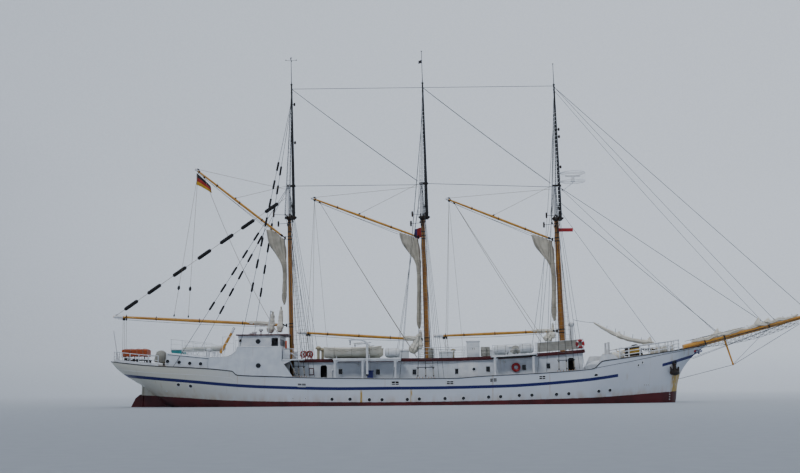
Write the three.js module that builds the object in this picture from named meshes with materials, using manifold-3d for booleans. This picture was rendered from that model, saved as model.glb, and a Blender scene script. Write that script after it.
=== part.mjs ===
// Three-masted gaff schooner at half of full size, afloat at her waterline.
// Millimetres, +X to the bow, +Y to port, +Z up. The origin is amidships on the centreline at the waterline.
// Sizes are written in metres of the full-size ship, and M turns them into model millimetres.

import * as THREE from "three";
import { mergeVertices } from "three/addons/utils/BufferGeometryUtils.js";
import Module from "manifold-3d";

const wasm = await Module();
wasm.setup();

// Driving dimensions, in metres of the full-size ship
const M = 500;
const GAP = 0.3 / M;
const PIN_GAP = 0.6 / M;
const BULWARK_HEIGHT = 0.95;
const PLATE = 0.09;
const WALL = 0.1;
const RAIL_CAP = { up: 0.03, down: 0.05, out: 0.05, inward: 0.18 };
const PIPE = 0.028;
const WELL = { aft: -11.3, front: 16.6 };
const BRIDGE = { aft: -17.75, front: -11.3, deck: 4.2, top: 5.22, sweep: [-16.7, -15.2] };
const TRUNK = { aft: -21.7, front: -17.75, inset: 0.35, topAft: 4.85, topFront: 4.42 };
const WHEELHOUSE = { aft: -15.4, front: -11.65, half: 2.4, top: 6.3, roof: 0.16, eaves: 0.2, peak: -10.9 };
const DECKHOUSE = { aft: -10.3, front: 15.4, half: 2.75 };
const BOAT_DECK = { aft: -9.9, front: 15.6, half: 2.95, thick: 0.25, level: 4.17, rise: 0.64, riseFrom: 3 };
const SIDE_PLATFORM = { outer: 3.9, thick: 0.14 };
const RUDDER = { x: -24.47, heel: -3.45, head: 2.6, stock: 0.11 };
const PROPELLER = { x: -23.3, z: -1.78, radius: 0.95, hub: 0.17, blades: 4 };
const RAKE = 0.022;
const MAST_STEP = 5;
const CROSSTREE = 1.5;
const TOPMAST_AHEAD = 0.42;
const PIN_BEHIND = 0.44;

// Hull sections: station, bottom on the centreline, half breadth at the sheer, two exponents of the curve
// y = half (1 - (1 - s)^bilge)^(1 / flare), where s runs from 0 at the bottom to 1 at the sheer
const SECTIONS = [
  // x, bottom, half, bilge, flare
  [-27.1, 3.9, 1.25, 2.6, 1.6],
  [-26.6, 3.35, 2.05, 2.6, 1.65],
  [-26.1, 2.92, 2.5, 2.5, 1.7],
  [-25.2, 2.35, 3.05, 2.4, 1.7],
  [-24.3, 1.83, 3.35, 2.3, 1.7],
  [-23.0, 0.85, 3.6, 2.2, 1.6],
  [-21.5, -0.3, 3.78, 2.1, 1.5],
  [-19.0, -1.5, 3.93, 2.2, 1.5],
  [-16.0, -2.45, 4.05, 2.6, 1.65],
  [-12.0, -3.1, 4.12, 3.4, 1.9],
  [-6.0, -3.42, 4.15, 4.4, 2.0],
  [0.0, -3.5, 4.15, 4.6, 2.0],
  [6.0, -3.5, 4.12, 4.0, 2.0],
  [11.0, -3.5, 4.0, 3.0, 1.8],
  [15.0, -3.48, 3.75, 2.2, 1.5],
  [18.0, -3.42, 3.35, 1.7, 1.25],
  [20.5, -3.3, 2.8, 1.4, 1.05],
  [22.5, -2.85, 2.2, 1.25, 0.95],
  [23.6, -1.6, 1.8, 1.2, 0.9],
  [24.1, 0.0, 1.55, 1.15, 0.87],
  [24.35, 1.75, 1.42, 1.1, 0.87],
  [24.7, 2.7, 1.25, 1.1, 0.88],
  [25.2, 3.45, 0.98, 1.1, 0.9],
  [25.9, 4.2, 0.62, 1.1, 0.95],
  [26.6, 4.75, 0.32, 1.1, 1.0],
  [27.1, 5.05, 0.14, 1.1, 1.0],
];

// Height of the sheer that the sections are drawn to
const SHEER = [
  // x, height
  [-27.1, 4.13], [-20, 3.45], [-15, 2.9], [-6, 2.44], [0.9, 2.34],
  [6.15, 2.5], [11, 2.75], [15, 3.15], [18, 3.8], [25.3, 4.87], [27.1, 5.2],
];

// Height of the rail line, with its steps at the poop and the forecastle
const RAIL = [
  // x, height
  [-27.1, 4.13], [-23.66, 3.75], [-15.7, 3.15], [-15.2, 2.79], [-13.2, 2.68], [-6.15, 2.44], [0.9, 2.34],
  [4.1, 2.36], [6.15, 2.5], [10.9, 2.7], [14.9, 2.94], [16.2, 3.09], [17, 3.72], [18.5, 3.93],
  [25.3, 4.87], [27.1, 5.2],
];

// Masts, with the spars and shrouds that each carries
const MASTS = [
  {
    name: "mizzen", x: -10.85, radius: 0.21, hounds: 17.25, cap: 20.35, head: 30.2, pole: 32.8,
    shroudFeet: [0.65, 1.1, 1.6],
    boom: { z: 7.33, length: 16.0, rise: 0.95, radius: 0.13 },
    gaff: { z: 15.45, length: 8.48, rise: 6.63, radius: 0.1 },
    sail: { luff: 1.55, behind: 0.5, foot: 9.4 },
    foot: { from: 1.0, to: 3.1, radius: 0.2 },
  },
  {
    name: "main", x: 1.58, radius: 0.22, hounds: 17.15, cap: 20.45, head: 30.2, pole: 33.3,
    shroudFeet: [-0.9, -0.2, 0.5],
    boom: { z: 5.91, length: 11.5, rise: 0.76, radius: 0.11 },
    gaff: { z: 15.4, length: 10.0, rise: 3.8, radius: 0.1 },
    sail: { luff: 1.6, behind: 0.2, foot: 6.7 },
    foot: { from: 0.3, to: 1.6, radius: 0.34 },
  },
  {
    name: "fore", x: 14.0, radius: 0.26, hounds: 16.9, cap: 20.1, head: 29.9, pole: 31.9,
    shroudFeet: [-0.9, -0.2, 0.5],
    boom: { z: 6.58, length: 11.35, rise: -0.38, radius: 0.11 },
    gaff: { z: 15.05, length: 9.85, rise: 3.96, radius: 0.1 },
    sail: { luff: 1.75, behind: 0.1, foot: 7.4 },
    foot: { from: 0.3, to: 1.5, radius: 0.26 },
  },
];

const BOWSPRIT = { heel: [25.0, 4.92], tip: [37.3, 7.95], heelRadius: 0.29, tipRadius: 0.16 };
const STRIKER = { x: 28.8, foot: [29.5, 3.3], radius: 0.06 };

// Finishes
const FINISHES = {
  white: { color: 0xe8eaec, roughness: 0.5, metalness: 0 },
  hull: { color: 0xdfe3e8, roughness: 0.45, metalness: 0 },
  maroon: { color: 0x5a1a20, roughness: 0.5, metalness: 0 },
  varnish: { color: 0xb07a2a, roughness: 0.4, metalness: 0 },
  spar: { color: 0xd9a441, roughness: 0.4, metalness: 0 },
  black: { color: 0x16171a, roughness: 0.55, metalness: 0 },
  wire: { color: 0x55585c, roughness: 0.5, metalness: 0.8 },
  cream: { color: 0xcfc8b0, roughness: 0.6, metalness: 0 },
  canvas: { color: 0xe6e2d6, roughness: 0.9, metalness: 0 },
  orange: { color: 0xb5562a, roughness: 0.8, metalness: 0 },
  red: { color: 0x6b1f24, roughness: 0.6, metalness: 0 },
  bronze: { color: 0xa8843c, roughness: 0.35, metalness: 1 },
};

const ship = new THREE.Group();

// Placing and joining

function at(x, y, z) {
  return new THREE.Vector3(x * M, y * M, z * M);
}

function solid(geometry) {
  const bare = geometry.index ? geometry.toNonIndexed() : geometry.clone();
  bare.deleteAttribute("normal");
  bare.deleteAttribute("uv");
  const welded = mergeVertices(bare, 1e-3);
  return new wasm.Manifold(new wasm.Mesh({
    numProp: 3,
    vertProperties: Float32Array.from(welded.attributes.position.array),
    triVerts: Uint32Array.from(welded.index.array),
  }));
}

function join(...shapes) {
  return shapes.flat().reduce((whole, shape) => whole.add(shape));
}

function piece(name, shape, finish) {
  const { vertProperties, triVerts } = shape.getMesh();
  const geometry = new THREE.BufferGeometry();
  geometry.setAttribute("position", new THREE.BufferAttribute(Float32Array.from(vertProperties), 3));
  geometry.setIndex(new THREE.BufferAttribute(Uint32Array.from(triVerts), 1));
  geometry.computeVertexNormals();
  const mesh = new THREE.Mesh(geometry, new THREE.MeshStandardMaterial(FINISHES[finish]));
  mesh.name = name;
  ship.add(mesh);
}

function block([x0, x1], [y0, y1], [z0, z1]) {
  const geometry = new THREE.BoxGeometry((x1 - x0) * M, (y1 - y0) * M, (z1 - z0) * M);
  const middle = at((x0 + x1) / 2, (y0 + y1) / 2, (z0 + z1) / 2);
  geometry.translate(middle.x, middle.y, middle.z);
  return solid(geometry);
}

function rod(from, to, fromRadius, toRadius = fromRadius, sides = 8) {
  const start = at(...from);
  const end = at(...to);
  const run = end.clone().sub(start);
  const geometry = new THREE.CylinderGeometry(toRadius * M, fromRadius * M, run.length(), sides);
  const turn = new THREE.Quaternion().setFromUnitVectors(new THREE.Vector3(0, 1, 0), run.normalize());
  geometry.applyQuaternion(turn);
  const middle = start.add(end).multiplyScalar(0.5);
  geometry.translate(middle.x, middle.y, middle.z);
  return solid(geometry);
}

// A pipe with mitred bends along a list of places
function pipe(points, radius, sides = 6) {
  const places = points.map((point) => at(...point));
  const runs = places.slice(1).map((place, i) => place.clone().sub(places[i]).normalize());
  let across = new THREE.Vector3(0.31, 0.55, 0.77);
  return skin(places.map((place, i) => {
    const tangent = (runs[i - 1] || runs[i]).clone().add(runs[i] || runs[i - 1]).normalize();
    across = across.clone().addScaledVector(tangent, -across.dot(tangent)).normalize();
    const other = tangent.clone().cross(across);
    return Array.from({ length: sides }, (_, k) => {
      const turn = (k / sides) * 2 * Math.PI;
      return place.clone().addScaledVector(across, radius * M * Math.cos(turn))
        .addScaledVector(other, radius * M * Math.sin(turn));
    });
  }));
}

// A side profile of [x, z] points carried across the ship
function acrossShip(profile, y0, y1) {
  const shape = new THREE.Shape(profile.map(([x, z]) => new THREE.Vector2(x * M, z * M)));
  const geometry = new THREE.ExtrudeGeometry(shape, { depth: (y1 - y0) * M, bevelEnabled: false });
  const turn = new THREE.Matrix4().makeBasis(
    new THREE.Vector3(1, 0, 0), new THREE.Vector3(0, 0, 1), new THREE.Vector3(0, -1, 0));
  geometry.applyMatrix4(turn);
  geometry.translate(0, y1 * M, 0);
  return solid(geometry);
}

// A plan of [x, y] points carried upwards
function upwards(plan, z0, z1) {
  const shape = new THREE.Shape(plan.map(([x, y]) => new THREE.Vector2(x * M, y * M)));
  const geometry = new THREE.ExtrudeGeometry(shape, { depth: (z1 - z0) * M, bevelEnabled: false });
  geometry.translate(0, 0, z0 * M);
  return solid(geometry);
}

// A closed skin through rings of points, with a fan on each end
function skin(rings) {
  const count = rings[0].length;
  const places = rings.flat();
  const faces = [];
  for (let i = 0; i < rings.length - 1; i++) {
    for (let j = 0; j < count; j++) {
      const a = i * count + j;
      const b = i * count + (j + 1) % count;
      faces.push(a, b, b + count, a, b + count, a + count);
    }
  }
  [0, rings.length - 1].forEach((i) => {
    const centre = new THREE.Vector3();
    rings[i].forEach((point) => centre.addScaledVector(point, 1 / count));
    places.push(centre);
    const hub = places.length - 1;
    for (let j = 0; j < count; j++) {
      const a = i * count + j;
      const b = i * count + (j + 1) % count;
      faces.push(...(i === 0 ? [b, a, hub] : [a, b, hub]));
    }
  });
  return closed(places, faces);
}

// A solid from places and triangles, turned so that its faces point out
function closed(places, faces) {
  let volume = 0;
  for (let k = 0; k < faces.length; k += 3) {
    const [p, q, r] = [places[faces[k]], places[faces[k + 1]], places[faces[k + 2]]];
    volume += p.dot(q.clone().cross(r));
  }
  if (volume < 0) faces.reverse();
  const geometry = new THREE.BufferGeometry();
  const numbers = places.flatMap((place) => place.toArray());
  geometry.setAttribute("position", new THREE.Float32BufferAttribute(numbers, 3));
  geometry.setIndex(faces);
  return solid(geometry);
}

// A grille of bars on a grid: place(i, j, layer) gives a corner, and bar(i, j) says which cells are solid
function grille(columns, rows, place, bar) {
  const places = [-1, 1].flatMap((layer) => Array.from(
    { length: columns * rows }, (_, k) => place(Math.floor(k / rows), k % rows, layer)));
  const corner = (layer, i, j) => (layer * columns + i) * rows + j;
  const has = (i, j) => i >= 0 && j >= 0 && i < columns - 1 && j < rows - 1 && bar(i, j);
  const faces = [];
  const quad = (a, b, c, d) => faces.push(a, b, c, a, c, d);
  const edge = ([i0, j0], [i1, j1]) => quad(
    corner(0, i0, j0), corner(0, i1, j1), corner(1, i1, j1), corner(1, i0, j0));
  for (let i = 0; i < columns - 1; i++) {
    for (let j = 0; j < rows - 1; j++) {
      if (!has(i, j)) continue;
      const loop = [[i, j], [i + 1, j], [i + 1, j + 1], [i, j + 1]];
      quad(...loop.map(([a, b]) => corner(1, a, b)));
      quad(...loop.map(([a, b]) => corner(0, a, b)).reverse());
      if (!has(i, j - 1)) edge(loop[0], loop[1]);
      if (!has(i + 1, j)) edge(loop[1], loop[2]);
      if (!has(i, j + 1)) edge(loop[2], loop[3]);
      if (!has(i - 1, j)) edge(loop[3], loop[0]);
    }
  }
  return closed(places, faces);
}

// The lines of the hull

function along(table, x, column = 1) {
  const next = Math.min(Math.max(table.findIndex((row) => row[0] >= x), 1), table.length - 1);
  const [low, high] = [table[next - 1], table[next]];
  const part = THREE.MathUtils.clamp((x - low[0]) / (high[0] - low[0]), 0, 1);
  return low[column] + (high[column] - low[column]) * part;
}

const bottomAt = (x) => along(SECTIONS, x, 1);
const halfAt = (x) => along(SECTIONS, x, 2);
const railAt = (x) => along(RAIL, x);
const deckAt = (x) => railAt(x) - BULWARK_HEIGHT;

function breadthAt(x, z) {
  const up = (z - bottomAt(x)) / (along(SHEER, x) - bottomAt(x));
  const s = THREE.MathUtils.clamp(up, 0, 1);
  return halfAt(x) * (1 - (1 - s) ** along(SECTIONS, x, 3)) ** (1 / along(SECTIONS, x, 4));
}

// The boat deck is level aft and rises forward with the sheer
const BOAT_DECK_LINE = [BOAT_DECK.aft, BOAT_DECK.riseFrom, 5, 7, 9, 11, 13, BOAT_DECK.front].map((x) => {
  const part = Math.max(0, x - BOAT_DECK.riseFrom) / (BOAT_DECK.front - BOAT_DECK.riseFrom);
  return [x, BOAT_DECK.level + BOAT_DECK.rise * part ** 1.6];
});
const boatDeckAt = (x) => along(BOAT_DECK_LINE, x);

const STATIONS = [...new Set([...SECTIONS, ...RAIL].map((row) => row[0]))].sort((a, b) => a - b);
const DECK_BREAKS = BOAT_DECK_LINE.map((row) => row[0]);

function stationsIn(from, to, breaks = STATIONS) {
  return [from, ...breaks.filter((x) => x > from + 0.01 && x < to - 0.01), to];
}

// What lies over a line of the ship, between two stations
function above(line, from, to, top = 9, breaks = STATIONS) {
  const floor = stationsIn(from, to, breaks).map((x) => [x, line(x) + GAP]);
  return acrossShip([...floor, [to, top], [from, top]], -5, 5);
}

const capAt = (x) => railAt(x) + RAIL_CAP.up;

function planBetween(from, to, inset) {
  const stations = stationsIn(from, to);
  const starboard = stations.map((x) => [x, -(halfAt(x) - inset)]);
  const port = stations.map((x) => [x, halfAt(x) - inset]).reverse();
  return [...starboard, ...port];
}

// Hull

const SIDE_POINTS = 8;

function hullRing(x, grow = 0) {
  const levels = Array.from({ length: SIDE_POINTS + 1 }, (_, i) => (i / SIDE_POINTS) ** 1.35);
  const heights = levels.map((part) => bottomAt(x) + (railAt(x) - bottomAt(x)) * part);
  const starboard = heights.map((z) => at(x, -breadthAt(x, z) - grow, z));
  const port = heights.slice(1).map((z) => at(x, breadthAt(x, z) + grow, z)).reverse();
  return [...starboard, ...port];
}

function deadwood() {
  const keel = [
    [-24.34, 1.72], [-24.34, RUDDER.heel], [-24.65, RUDDER.heel], [-24.65, -3.62], [19.5, -3.62],
    [21.0, -3.25], [19, -2.9],
    [-8, -2.9], [-16, -1.6], [-20.5, -0.3], [-22.6, 1.0],
  ];
  const plate = acrossShip(keel, -0.14, 0.14);
  const aperture = acrossShip([[-23.85, -2.95], [-22.75, -2.95], [-22.75, -0.6], [-23.85, -0.6]], -1, 1);
  const boss = rod([PROPELLER.x + 0.3, 0, PROPELLER.z], [-19.5, 0, PROPELLER.z], 0.2, 0.24, 16);
  return join(plate.subtract(aperture), boss);
}

function rudderStock(grow = 0) {
  const { x, heel, head, stock } = RUDDER;
  return rod([x, 0, heel + PIN_GAP - grow], [x, 0, head + grow], stock + grow, stock + grow, 24);
}

function bowspritShape(grow = 0) {
  const { heel, tip, heelRadius, tipRadius } = BOWSPRIT;
  const start = [heel[0] - 2 * grow, 0, heel[1] - 0.52 * grow];
  return rod(start, [tip[0], 0, tip[1]], heelRadius + grow, tipRadius + grow, 12);
}

function buildHull() {
  const lines = join(skin(STATIONS.map((x) => hullRing(x))), deadwood());
  const well = above((x) => deckAt(x) - GAP, WELL.aft, WELL.front);
  const bed = bowspritShape(GAP).add(block([24.6, 25.01], [-0.25, 0.25], [4.7, 5.4]));
  const rudderTrunk = rudderStock(PIN_GAP);
  piece("hull", lines.subtract(join(well, bed, rudderTrunk)), "hull");
}

// Davits turn in sockets on the rail
const DAVIT = { x: -3.75, inset: 0.06, radius: 0.06, foot: 2.62, top: 5.78, reach: 1.6 };
const davitY = () => halfAt(DAVIT.x) - DAVIT.inset;

// Bulwarks, with freeing ports and mooring ports
const PORTS = [
  // middle x, width, height of the middle over the deck, height
  [-9.5, 0.75, 0.27, 0.3],
  [-1.3, 0.66, 0.5, 0.46],
  [3.5, 0.62, 0.52, 0.3],
  [7.3, 0.62, 0.55, 0.3],
  [11.6, 0.58, 0.55, 0.32],
];

function buildBulwark(name, side) {
  const stations = stationsIn(WELL.aft + GAP, WELL.front - GAP);
  const wall = skin(stations.map((x) => {
    const foot = deckAt(x) + GAP;
    const low = breadthAt(x, foot);
    return [
      at(x, side * low, foot), at(x, side * halfAt(x), railAt(x)),
      at(x, side * (halfAt(x) - PLATE), railAt(x)), at(x, side * (low - PLATE), foot),
    ];
  }));
  const cap = skin(stations.map((x) => [
    at(x, side * (halfAt(x) + RAIL_CAP.out), railAt(x) - RAIL_CAP.down),
    at(x, side * (halfAt(x) + RAIL_CAP.out), railAt(x) + RAIL_CAP.up),
    at(x, side * (halfAt(x) - RAIL_CAP.inward), railAt(x) + RAIL_CAP.up),
    at(x, side * (halfAt(x) - RAIL_CAP.inward), railAt(x) - RAIL_CAP.down),
  ]));
  const holes = PORTS.map(([x, wide, up, high]) => block(
    [x - wide / 2, x + wide / 2], side > 0 ? [3, 5] : [-5, -3],
    [deckAt(x) + up - high / 2, deckAt(x) + up + high / 2]));
  const socket = rod([DAVIT.x, side * davitY(), capAt(DAVIT.x) - 0.06],
    [DAVIT.x, side * davitY(), DAVIT.foot], 0.13, 0.13, 12);
  piece(name, join(wall, cap, socket).subtract(join(holes)), "white");
}

// A rail of stanchions and lengthwise bars over a line of deck points; a bar is [low edge, high edge]
function railing(feet, bars) {
  const spots = feet.map((foot) => at(...foot));
  const step = (from, to) => to.clone().sub(from).normalize();
  const columns = spots.flatMap((spot, i) => {
    const before = i ? step(spots[i - 1], spot) : step(spot, spots[1]);
    const after = i < spots.length - 1 ? step(spot, spots[i + 1]) : before;
    return [[before, -1], [after, 1]].map(([run, sign]) => ({
      middle: spot.clone().addScaledVector(run, sign * PIPE * M),
      normal: new THREE.Vector3(-run.y, run.x, 0).normalize(),
    }));
  });
  const levels = [...new Set([GAP, ...bars.flat()])];
  const place = (i, j, layer) => columns[i].middle.clone()
    .addScaledVector(columns[i].normal, layer * PIPE * M).add(new THREE.Vector3(0, 0, levels[j] * M));
  const inBar = (j) => bars.some(([low, high]) => low <= levels[j] && levels[j] < high);
  return grille(columns.length, levels.length, place, (i, j) => i % 2 === 0 || inBar(j));
}

const HAND_RAIL = [0.86, 0.92];
const MIDDLE_RAIL = [0.46, 0.51];

function edgeFeet(places, side, inset) {
  return places.map((x) => [x, side * (halfAt(x) - inset), railAt(x)]);
}

function buildPoopRail(name, side) {
  const feet = [
    [-26.98, side * 0.1, railAt(-27)], [-26.95, side * 0.9, railAt(-26.95)],
    ...edgeFeet([-26.45, -25.75, -24.95, -24.1, -23.2, -22.3], side, 0.12),
  ];
  const rails = railing(feet, [[GAP, 0.22], MIDDLE_RAIL, HAND_RAIL]);
  piece(name, rails.intersect(above(railAt, -28, -20)), "white");
}

function buildForecastleRail(name, side) {
  const feet = edgeFeet([18.35, 19.3, 20.25, 21.1, 21.95, 22.75, 23.5, 24.25], side, 0.1);
  const plating = skin(stationsIn(WELL.front + 0.55, 18.35).map((x) => {
    const top = railAt(x) + Math.min(0.55, (x - WELL.front - 0.5) * 1.4);
    const y = side * (halfAt(x) - 0.1);
    return [at(x, y - 0.04, railAt(x) + GAP), at(x, y + 0.04, railAt(x) + GAP), at(x, y + 0.04, top),
      at(x, y - 0.04, top)];
  }));
  const rails = railing(feet, [[0.28, 0.33], [0.57, 0.62], HAND_RAIL]).intersect(above(railAt, 17, 25));
  piece(name, join(rails, plating), "white");
}

// Poop trunk, bridge house and wheelhouse

function buildTrunk() {
  const { aft, front, inset, topAft, topFront } = TRUNK;
  const body = upwards(planBetween(aft, front - GAP, inset), 3, 5.5);
  const roofLine = acrossShip([[aft, 2.9], [front, 2.9], [front, topFront], [aft, topAft]], -5, 5);
  const chest = block([-21.65, -20.55], [-1.6, 0.2], [4.6, 5.25]);
  piece("poop_trunk", join(body.intersect(roofLine), chest).intersect(above(railAt, -23, -17)), "white");
}

function bridgeSweep() {
  const [from, to] = BRIDGE.sweep;
  return Array.from({ length: 7 }, (_, i) => {
    const turn = (i / 6) * Math.PI / 2;
    return [from + (to - from) * Math.sin(turn), BRIDGE.top - (BRIDGE.top - 4.3) * Math.cos(turn)];
  });
}

function buildBridgeHouse() {
  const { aft, front, deck, top } = BRIDGE;
  const profile = [[aft, 2], [front, 2], [front, top], ...bridgeSweep().reverse(), [aft, 4.33]];
  const body = acrossShip(profile, -4.5, 4.5).intersect(upwards(planBetween(aft, front, 0), 2, 6));
  const inside = upwards(planBetween(-16.6, front - PLATE, PLATE), deck, 6);
  const wings = [-1, 1].map((side) => {
    const y = [side * (halfAt(front) - PLATE), side * halfAt(front)].sort((a, b) => a - b);
    const wing = acrossShip([
      [front - 0.05, 2.4], [front + 0.95, 2.4], [front + 0.95, 2.65], [front - 0.05, 4.05]], ...y);
    return wing.intersect(above(capAt, front - 0.1, front + 1.1));
  });
  const shell = body.intersect(above(railAt, aft - 0.1, front + 0.1)).subtract(inside);
  piece("bridge_house", join(shell, wings), "white");
}

const DOOR = { thick: 0.05, off: 0.02, knuckle: 0.032 };

// Doors hang outside their wall on the aft or forward edge of the doorway, and stand folded back against it
const DOORS = [
  // name, wall half breadth, doorway from x, to x, sill, lintel, hinge edge (-1 aft, 1 forward)
  ["wheelhouse_door", WHEELHOUSE.half, -12.42, -11.8, 4.45, 6.1, -1],
  ["aft_door", DECKHOUSE.half, -7.98, -7.38, deckAt(-7.7) + 0.2, 3.6, 1],
  ["front_door", DECKHOUSE.half, 14.05, 14.63, deckAt(14.4) + 0.2, 4.06, 1],
];

function doorPivot([, half, from, to, , , edge], side) {
  return [edge > 0 ? to + 0.05 : from - 0.05, side * (half + DOOR.off + DOOR.thick / 2)];
}

function buildDoor(row, side) {
  const [name, , from, to, sill, lintel, edge] = row;
  const [x, y] = doorPivot(row, side);
  const wide = to - from + 0.08;
  const leafX = edge > 0 ? [x, x + wide] : [x - wide, x];
  const leaf = block(leafX, [y - DOOR.thick / 2, y + DOOR.thick / 2], [sill, lintel]);
  const notches = [[sill - 0.1, sill + 0.1], [lintel - 0.1, lintel + 0.1]].map(
    (z) => block([x - 0.048, x + 0.048], [y - 0.1, y + 0.1], z));
  const knuckle = rod([x, y, sill + 0.1], [x, y, lintel - 0.1], DOOR.knuckle, DOOR.knuckle, 12);
  piece(`${name}_${side > 0 ? "port" : "starboard"}`, join(leaf.subtract(join(notches)), knuckle), "white");
}

function doorways(half, side) {
  return DOORS.filter((row) => row[1] === half).map(([, , from, to, sill, lintel]) => block(
    [from, to], side > 0 ? [half - 0.3, half + 0.3] : [-half - 0.3, -half + 0.3], [sill, lintel]));
}

// A hinge bracket on the wall, just over and just under each door's knuckle
function hingeLugs(half, side) {
  return DOORS.filter((row) => row[1] === half).flatMap((row) => {
    const [x, y] = doorPivot(row, side);
    const [, , , , sill, lintel] = row;
    const reach = [side * (half - 0.02), y + side * 0.03].sort((a, b) => a - b);
    return [[sill + 0.04, sill + 0.1 - GAP], [lintel - 0.1 + GAP, lintel - 0.04]].map(
      (z) => block([x - 0.03, x + 0.03], reach, z));
  });
}

function buildWheelhouse() {
  const { aft, front, half, top, roof, eaves, peak } = WHEELHOUSE;
  const outer = block([aft, front], [-half, half], [BRIDGE.deck + GAP, top]);
  const inner = block([aft + WALL, front - WALL], [-half + WALL, half - WALL], [4, top + 1]);
  const panes = [-1.8, -0.9, 0, 0.9, 1.8].map(
    (y) => block([front - 0.3, front + 0.3], [y - 0.34, y + 0.34], [5.35, 5.98]));
  const doors = [-1, 1].flatMap((side) => doorways(half, side));
  const lugs = [-1, 1].flatMap((side) => hingeLugs(half, side));
  piece("wheelhouse_walls", join(outer.subtract(inner).subtract(join(panes, doors)), lugs), "white");
  const slab = block([aft - eaves, peak], [-half - eaves, half + eaves], [top + GAP, top + roof]);
  const posts = [-0.95, 0.95].map((y) => rod([-12.9, y, top], [-12.7, y * 0.95, top + 2.3], 0.05));
  const beam = rod([-12.7, -1.0, top + 2.3], [-12.7, 1.0, top + 2.3], 0.06);
  const gallows = join(posts, beam).intersect(block([-14, -12], [-2, 2], [top + roof - 0.05, 9]));
  piece("wheelhouse_roof", join(slab, gallows).subtract(mastShape(MASTS[0], GAP)), "maroon");
}

// Deckhouse under the boat deck

const WINDOWS = [-6.19, -2.86, 0.39, 4.18, 6.94, 10.14, 12.3];
const WINDOW = { wide: 0.36, high: 0.5, up: 1.52 };

function buildDeckhouse() {
  const { aft, front, half } = DECKHOUSE;
  const heads = stationsIn(aft, front, DECK_BREAKS).map(
    (x) => [x, boatDeckAt(x) - BOAT_DECK.thick - GAP]).reverse();
  const floor = stationsIn(aft, front).map((x) => [x, deckAt(x) + GAP]);
  const outer = acrossShip([...floor, ...heads], -half, half);
  const inner = block([aft + WALL, front - WALL], [-half + WALL, half - WALL], [0, 6]);
  const cuts = [-1, 1].flatMap((side) => [
    ...doorways(half, side),
    ...WINDOWS.map((x) => block(
      [x - WINDOW.wide / 2, x + WINDOW.wide / 2], side > 0 ? [2.5, 3] : [-3, -2.5],
      [deckAt(x) + WINDOW.up - WINDOW.high / 2, deckAt(x) + WINDOW.up + WINDOW.high / 2])),
  ]);
  const lugs = [-1, 1].flatMap((side) => hingeLugs(half, side));
  piece("deckhouse_walls", join(outer.subtract(inner).subtract(join(cuts)), lugs), "white");
}

// Side platforms that stand out from the boat deck over the side decks, on posts
const PLATFORMS = [
  // from x, to x, posts at
  [-6.8, -0.75, [-6.6, -4.15, -1.0]],
  [7.2, 11.2, [7.5, 10.9]],
];

// Raft canisters on their cradles
const CANISTERS = [-1.55, 8.1, 10.3];
const CANISTER = { long: 1.25, radius: 0.33, up: 0.42, y: 3.4 };

function deckSlab(from, to, half, thick) {
  const tops = stationsIn(from, to, DECK_BREAKS);
  const upper = tops.map((x) => [x, boatDeckAt(x)]);
  const lower = tops.map((x) => [x, boatDeckAt(x) - thick]).reverse();
  return acrossShip([...upper, ...lower].reverse(), -half, half);
}

function canister(x, side) {
  const z = boatDeckAt(x) + CANISTER.up;
  const y = side * CANISTER.y;
  const { long, radius } = CANISTER;
  const ends = [[-0.5, 0.8], [-0.44, 1], [0.44, 1], [0.5, 0.8]];
  const can = skin(ends.map(([part, size]) => Array.from({ length: 8 }, (_, k) => {
    const turn = ((k + 0.5) / 8) * 2 * Math.PI;
    return at(x + part * long, y + radius * size * Math.cos(turn), z + radius * size * Math.sin(turn));
  })));
  const cradle = block([x - 0.4, x + 0.4], [y - 0.2, y + 0.2], [boatDeckAt(x) - 0.08, z - 0.2]);
  return can.add(cradle);
}

function buildBoatDeck() {
  const { aft, front, half, thick, level } = BOAT_DECK;
  const wings = PLATFORMS.map(([from, to]) => deckSlab(from, to, SIDE_PLATFORM.outer, SIDE_PLATFORM.thick));
  const posts = PLATFORMS.flatMap(([, , places]) => places.flatMap((x) => [-1, 1].map((side) => {
    const y = side * Math.min(3.8, halfAt(x) - 0.32);
    return rod([x, y, deckAt(x) - 0.1], [x, y, boatDeckAt(x) - 0.05], 0.07, 0.07);
  }))).map((post) => post.intersect(above(deckAt, WELL.aft, WELL.front)));
  const bridgeWay = block([BRIDGE.front + 0.02, aft + 0.1], [-2.6, 2.6], [level - 0.13, level]);
  const foot = (x, y) => [x, y, boatDeckAt(x) - GAP - 0.02];
  const bars = [MIDDLE_RAIL, HAND_RAIL];
  const sideRails = [-1, 1].flatMap((side) => [
    railing([0.9, 2.2, 3.5, 4.9, 6.2].map((x) => foot(x, side * 2.88)), bars),
    railing([11.3, 12.3, 13.3, 14.4, 15.4].map((x) => foot(x, side * 2.88)), bars),
  ]);
  const frontRail = railing([-2.86, -1.4, 0, 1.4, 2.86].map((y) => foot(15.44, y)), bars);
  const cans = [-1, 1].flatMap((side) => CANISTERS.map((x) => canister(x, side)));
  const slab = deckSlab(aft, front, half, thick);
  const whole = join(slab, wings, posts, bridgeWay, sideRails, frontRail, cans);
  piece("boat_deck", MASTS.reduce((rest, mast) => rest.subtract(mastShape(mast, GAP)), whole), "white");
}

// Deck gear

function boatRing(x, length, beam, depth, keel, y0) {
  const t = Math.abs(x) / (length / 2);
  const wide = beam / 2 * Math.sqrt(Math.max(0.004, 1 - t ** 2.6));
  const foot = keel + depth * 0.35 * t ** 4;
  const gunwale = keel + depth + 0.22 * t ** 2;
  const turn = [
    [0.1, 0], [0.55, 0.12], [0.9, 0.5], [1, 1], [0.5, 1.12], [0, 1.17], [-0.5, 1.12], [-1, 1],
    [-0.9, 0.5], [-0.55, 0.12], [-0.1, 0],
  ];
  return turn.map(([across, up]) => [y0 + across * wide, foot + (gunwale - foot) * up]);
}

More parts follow.
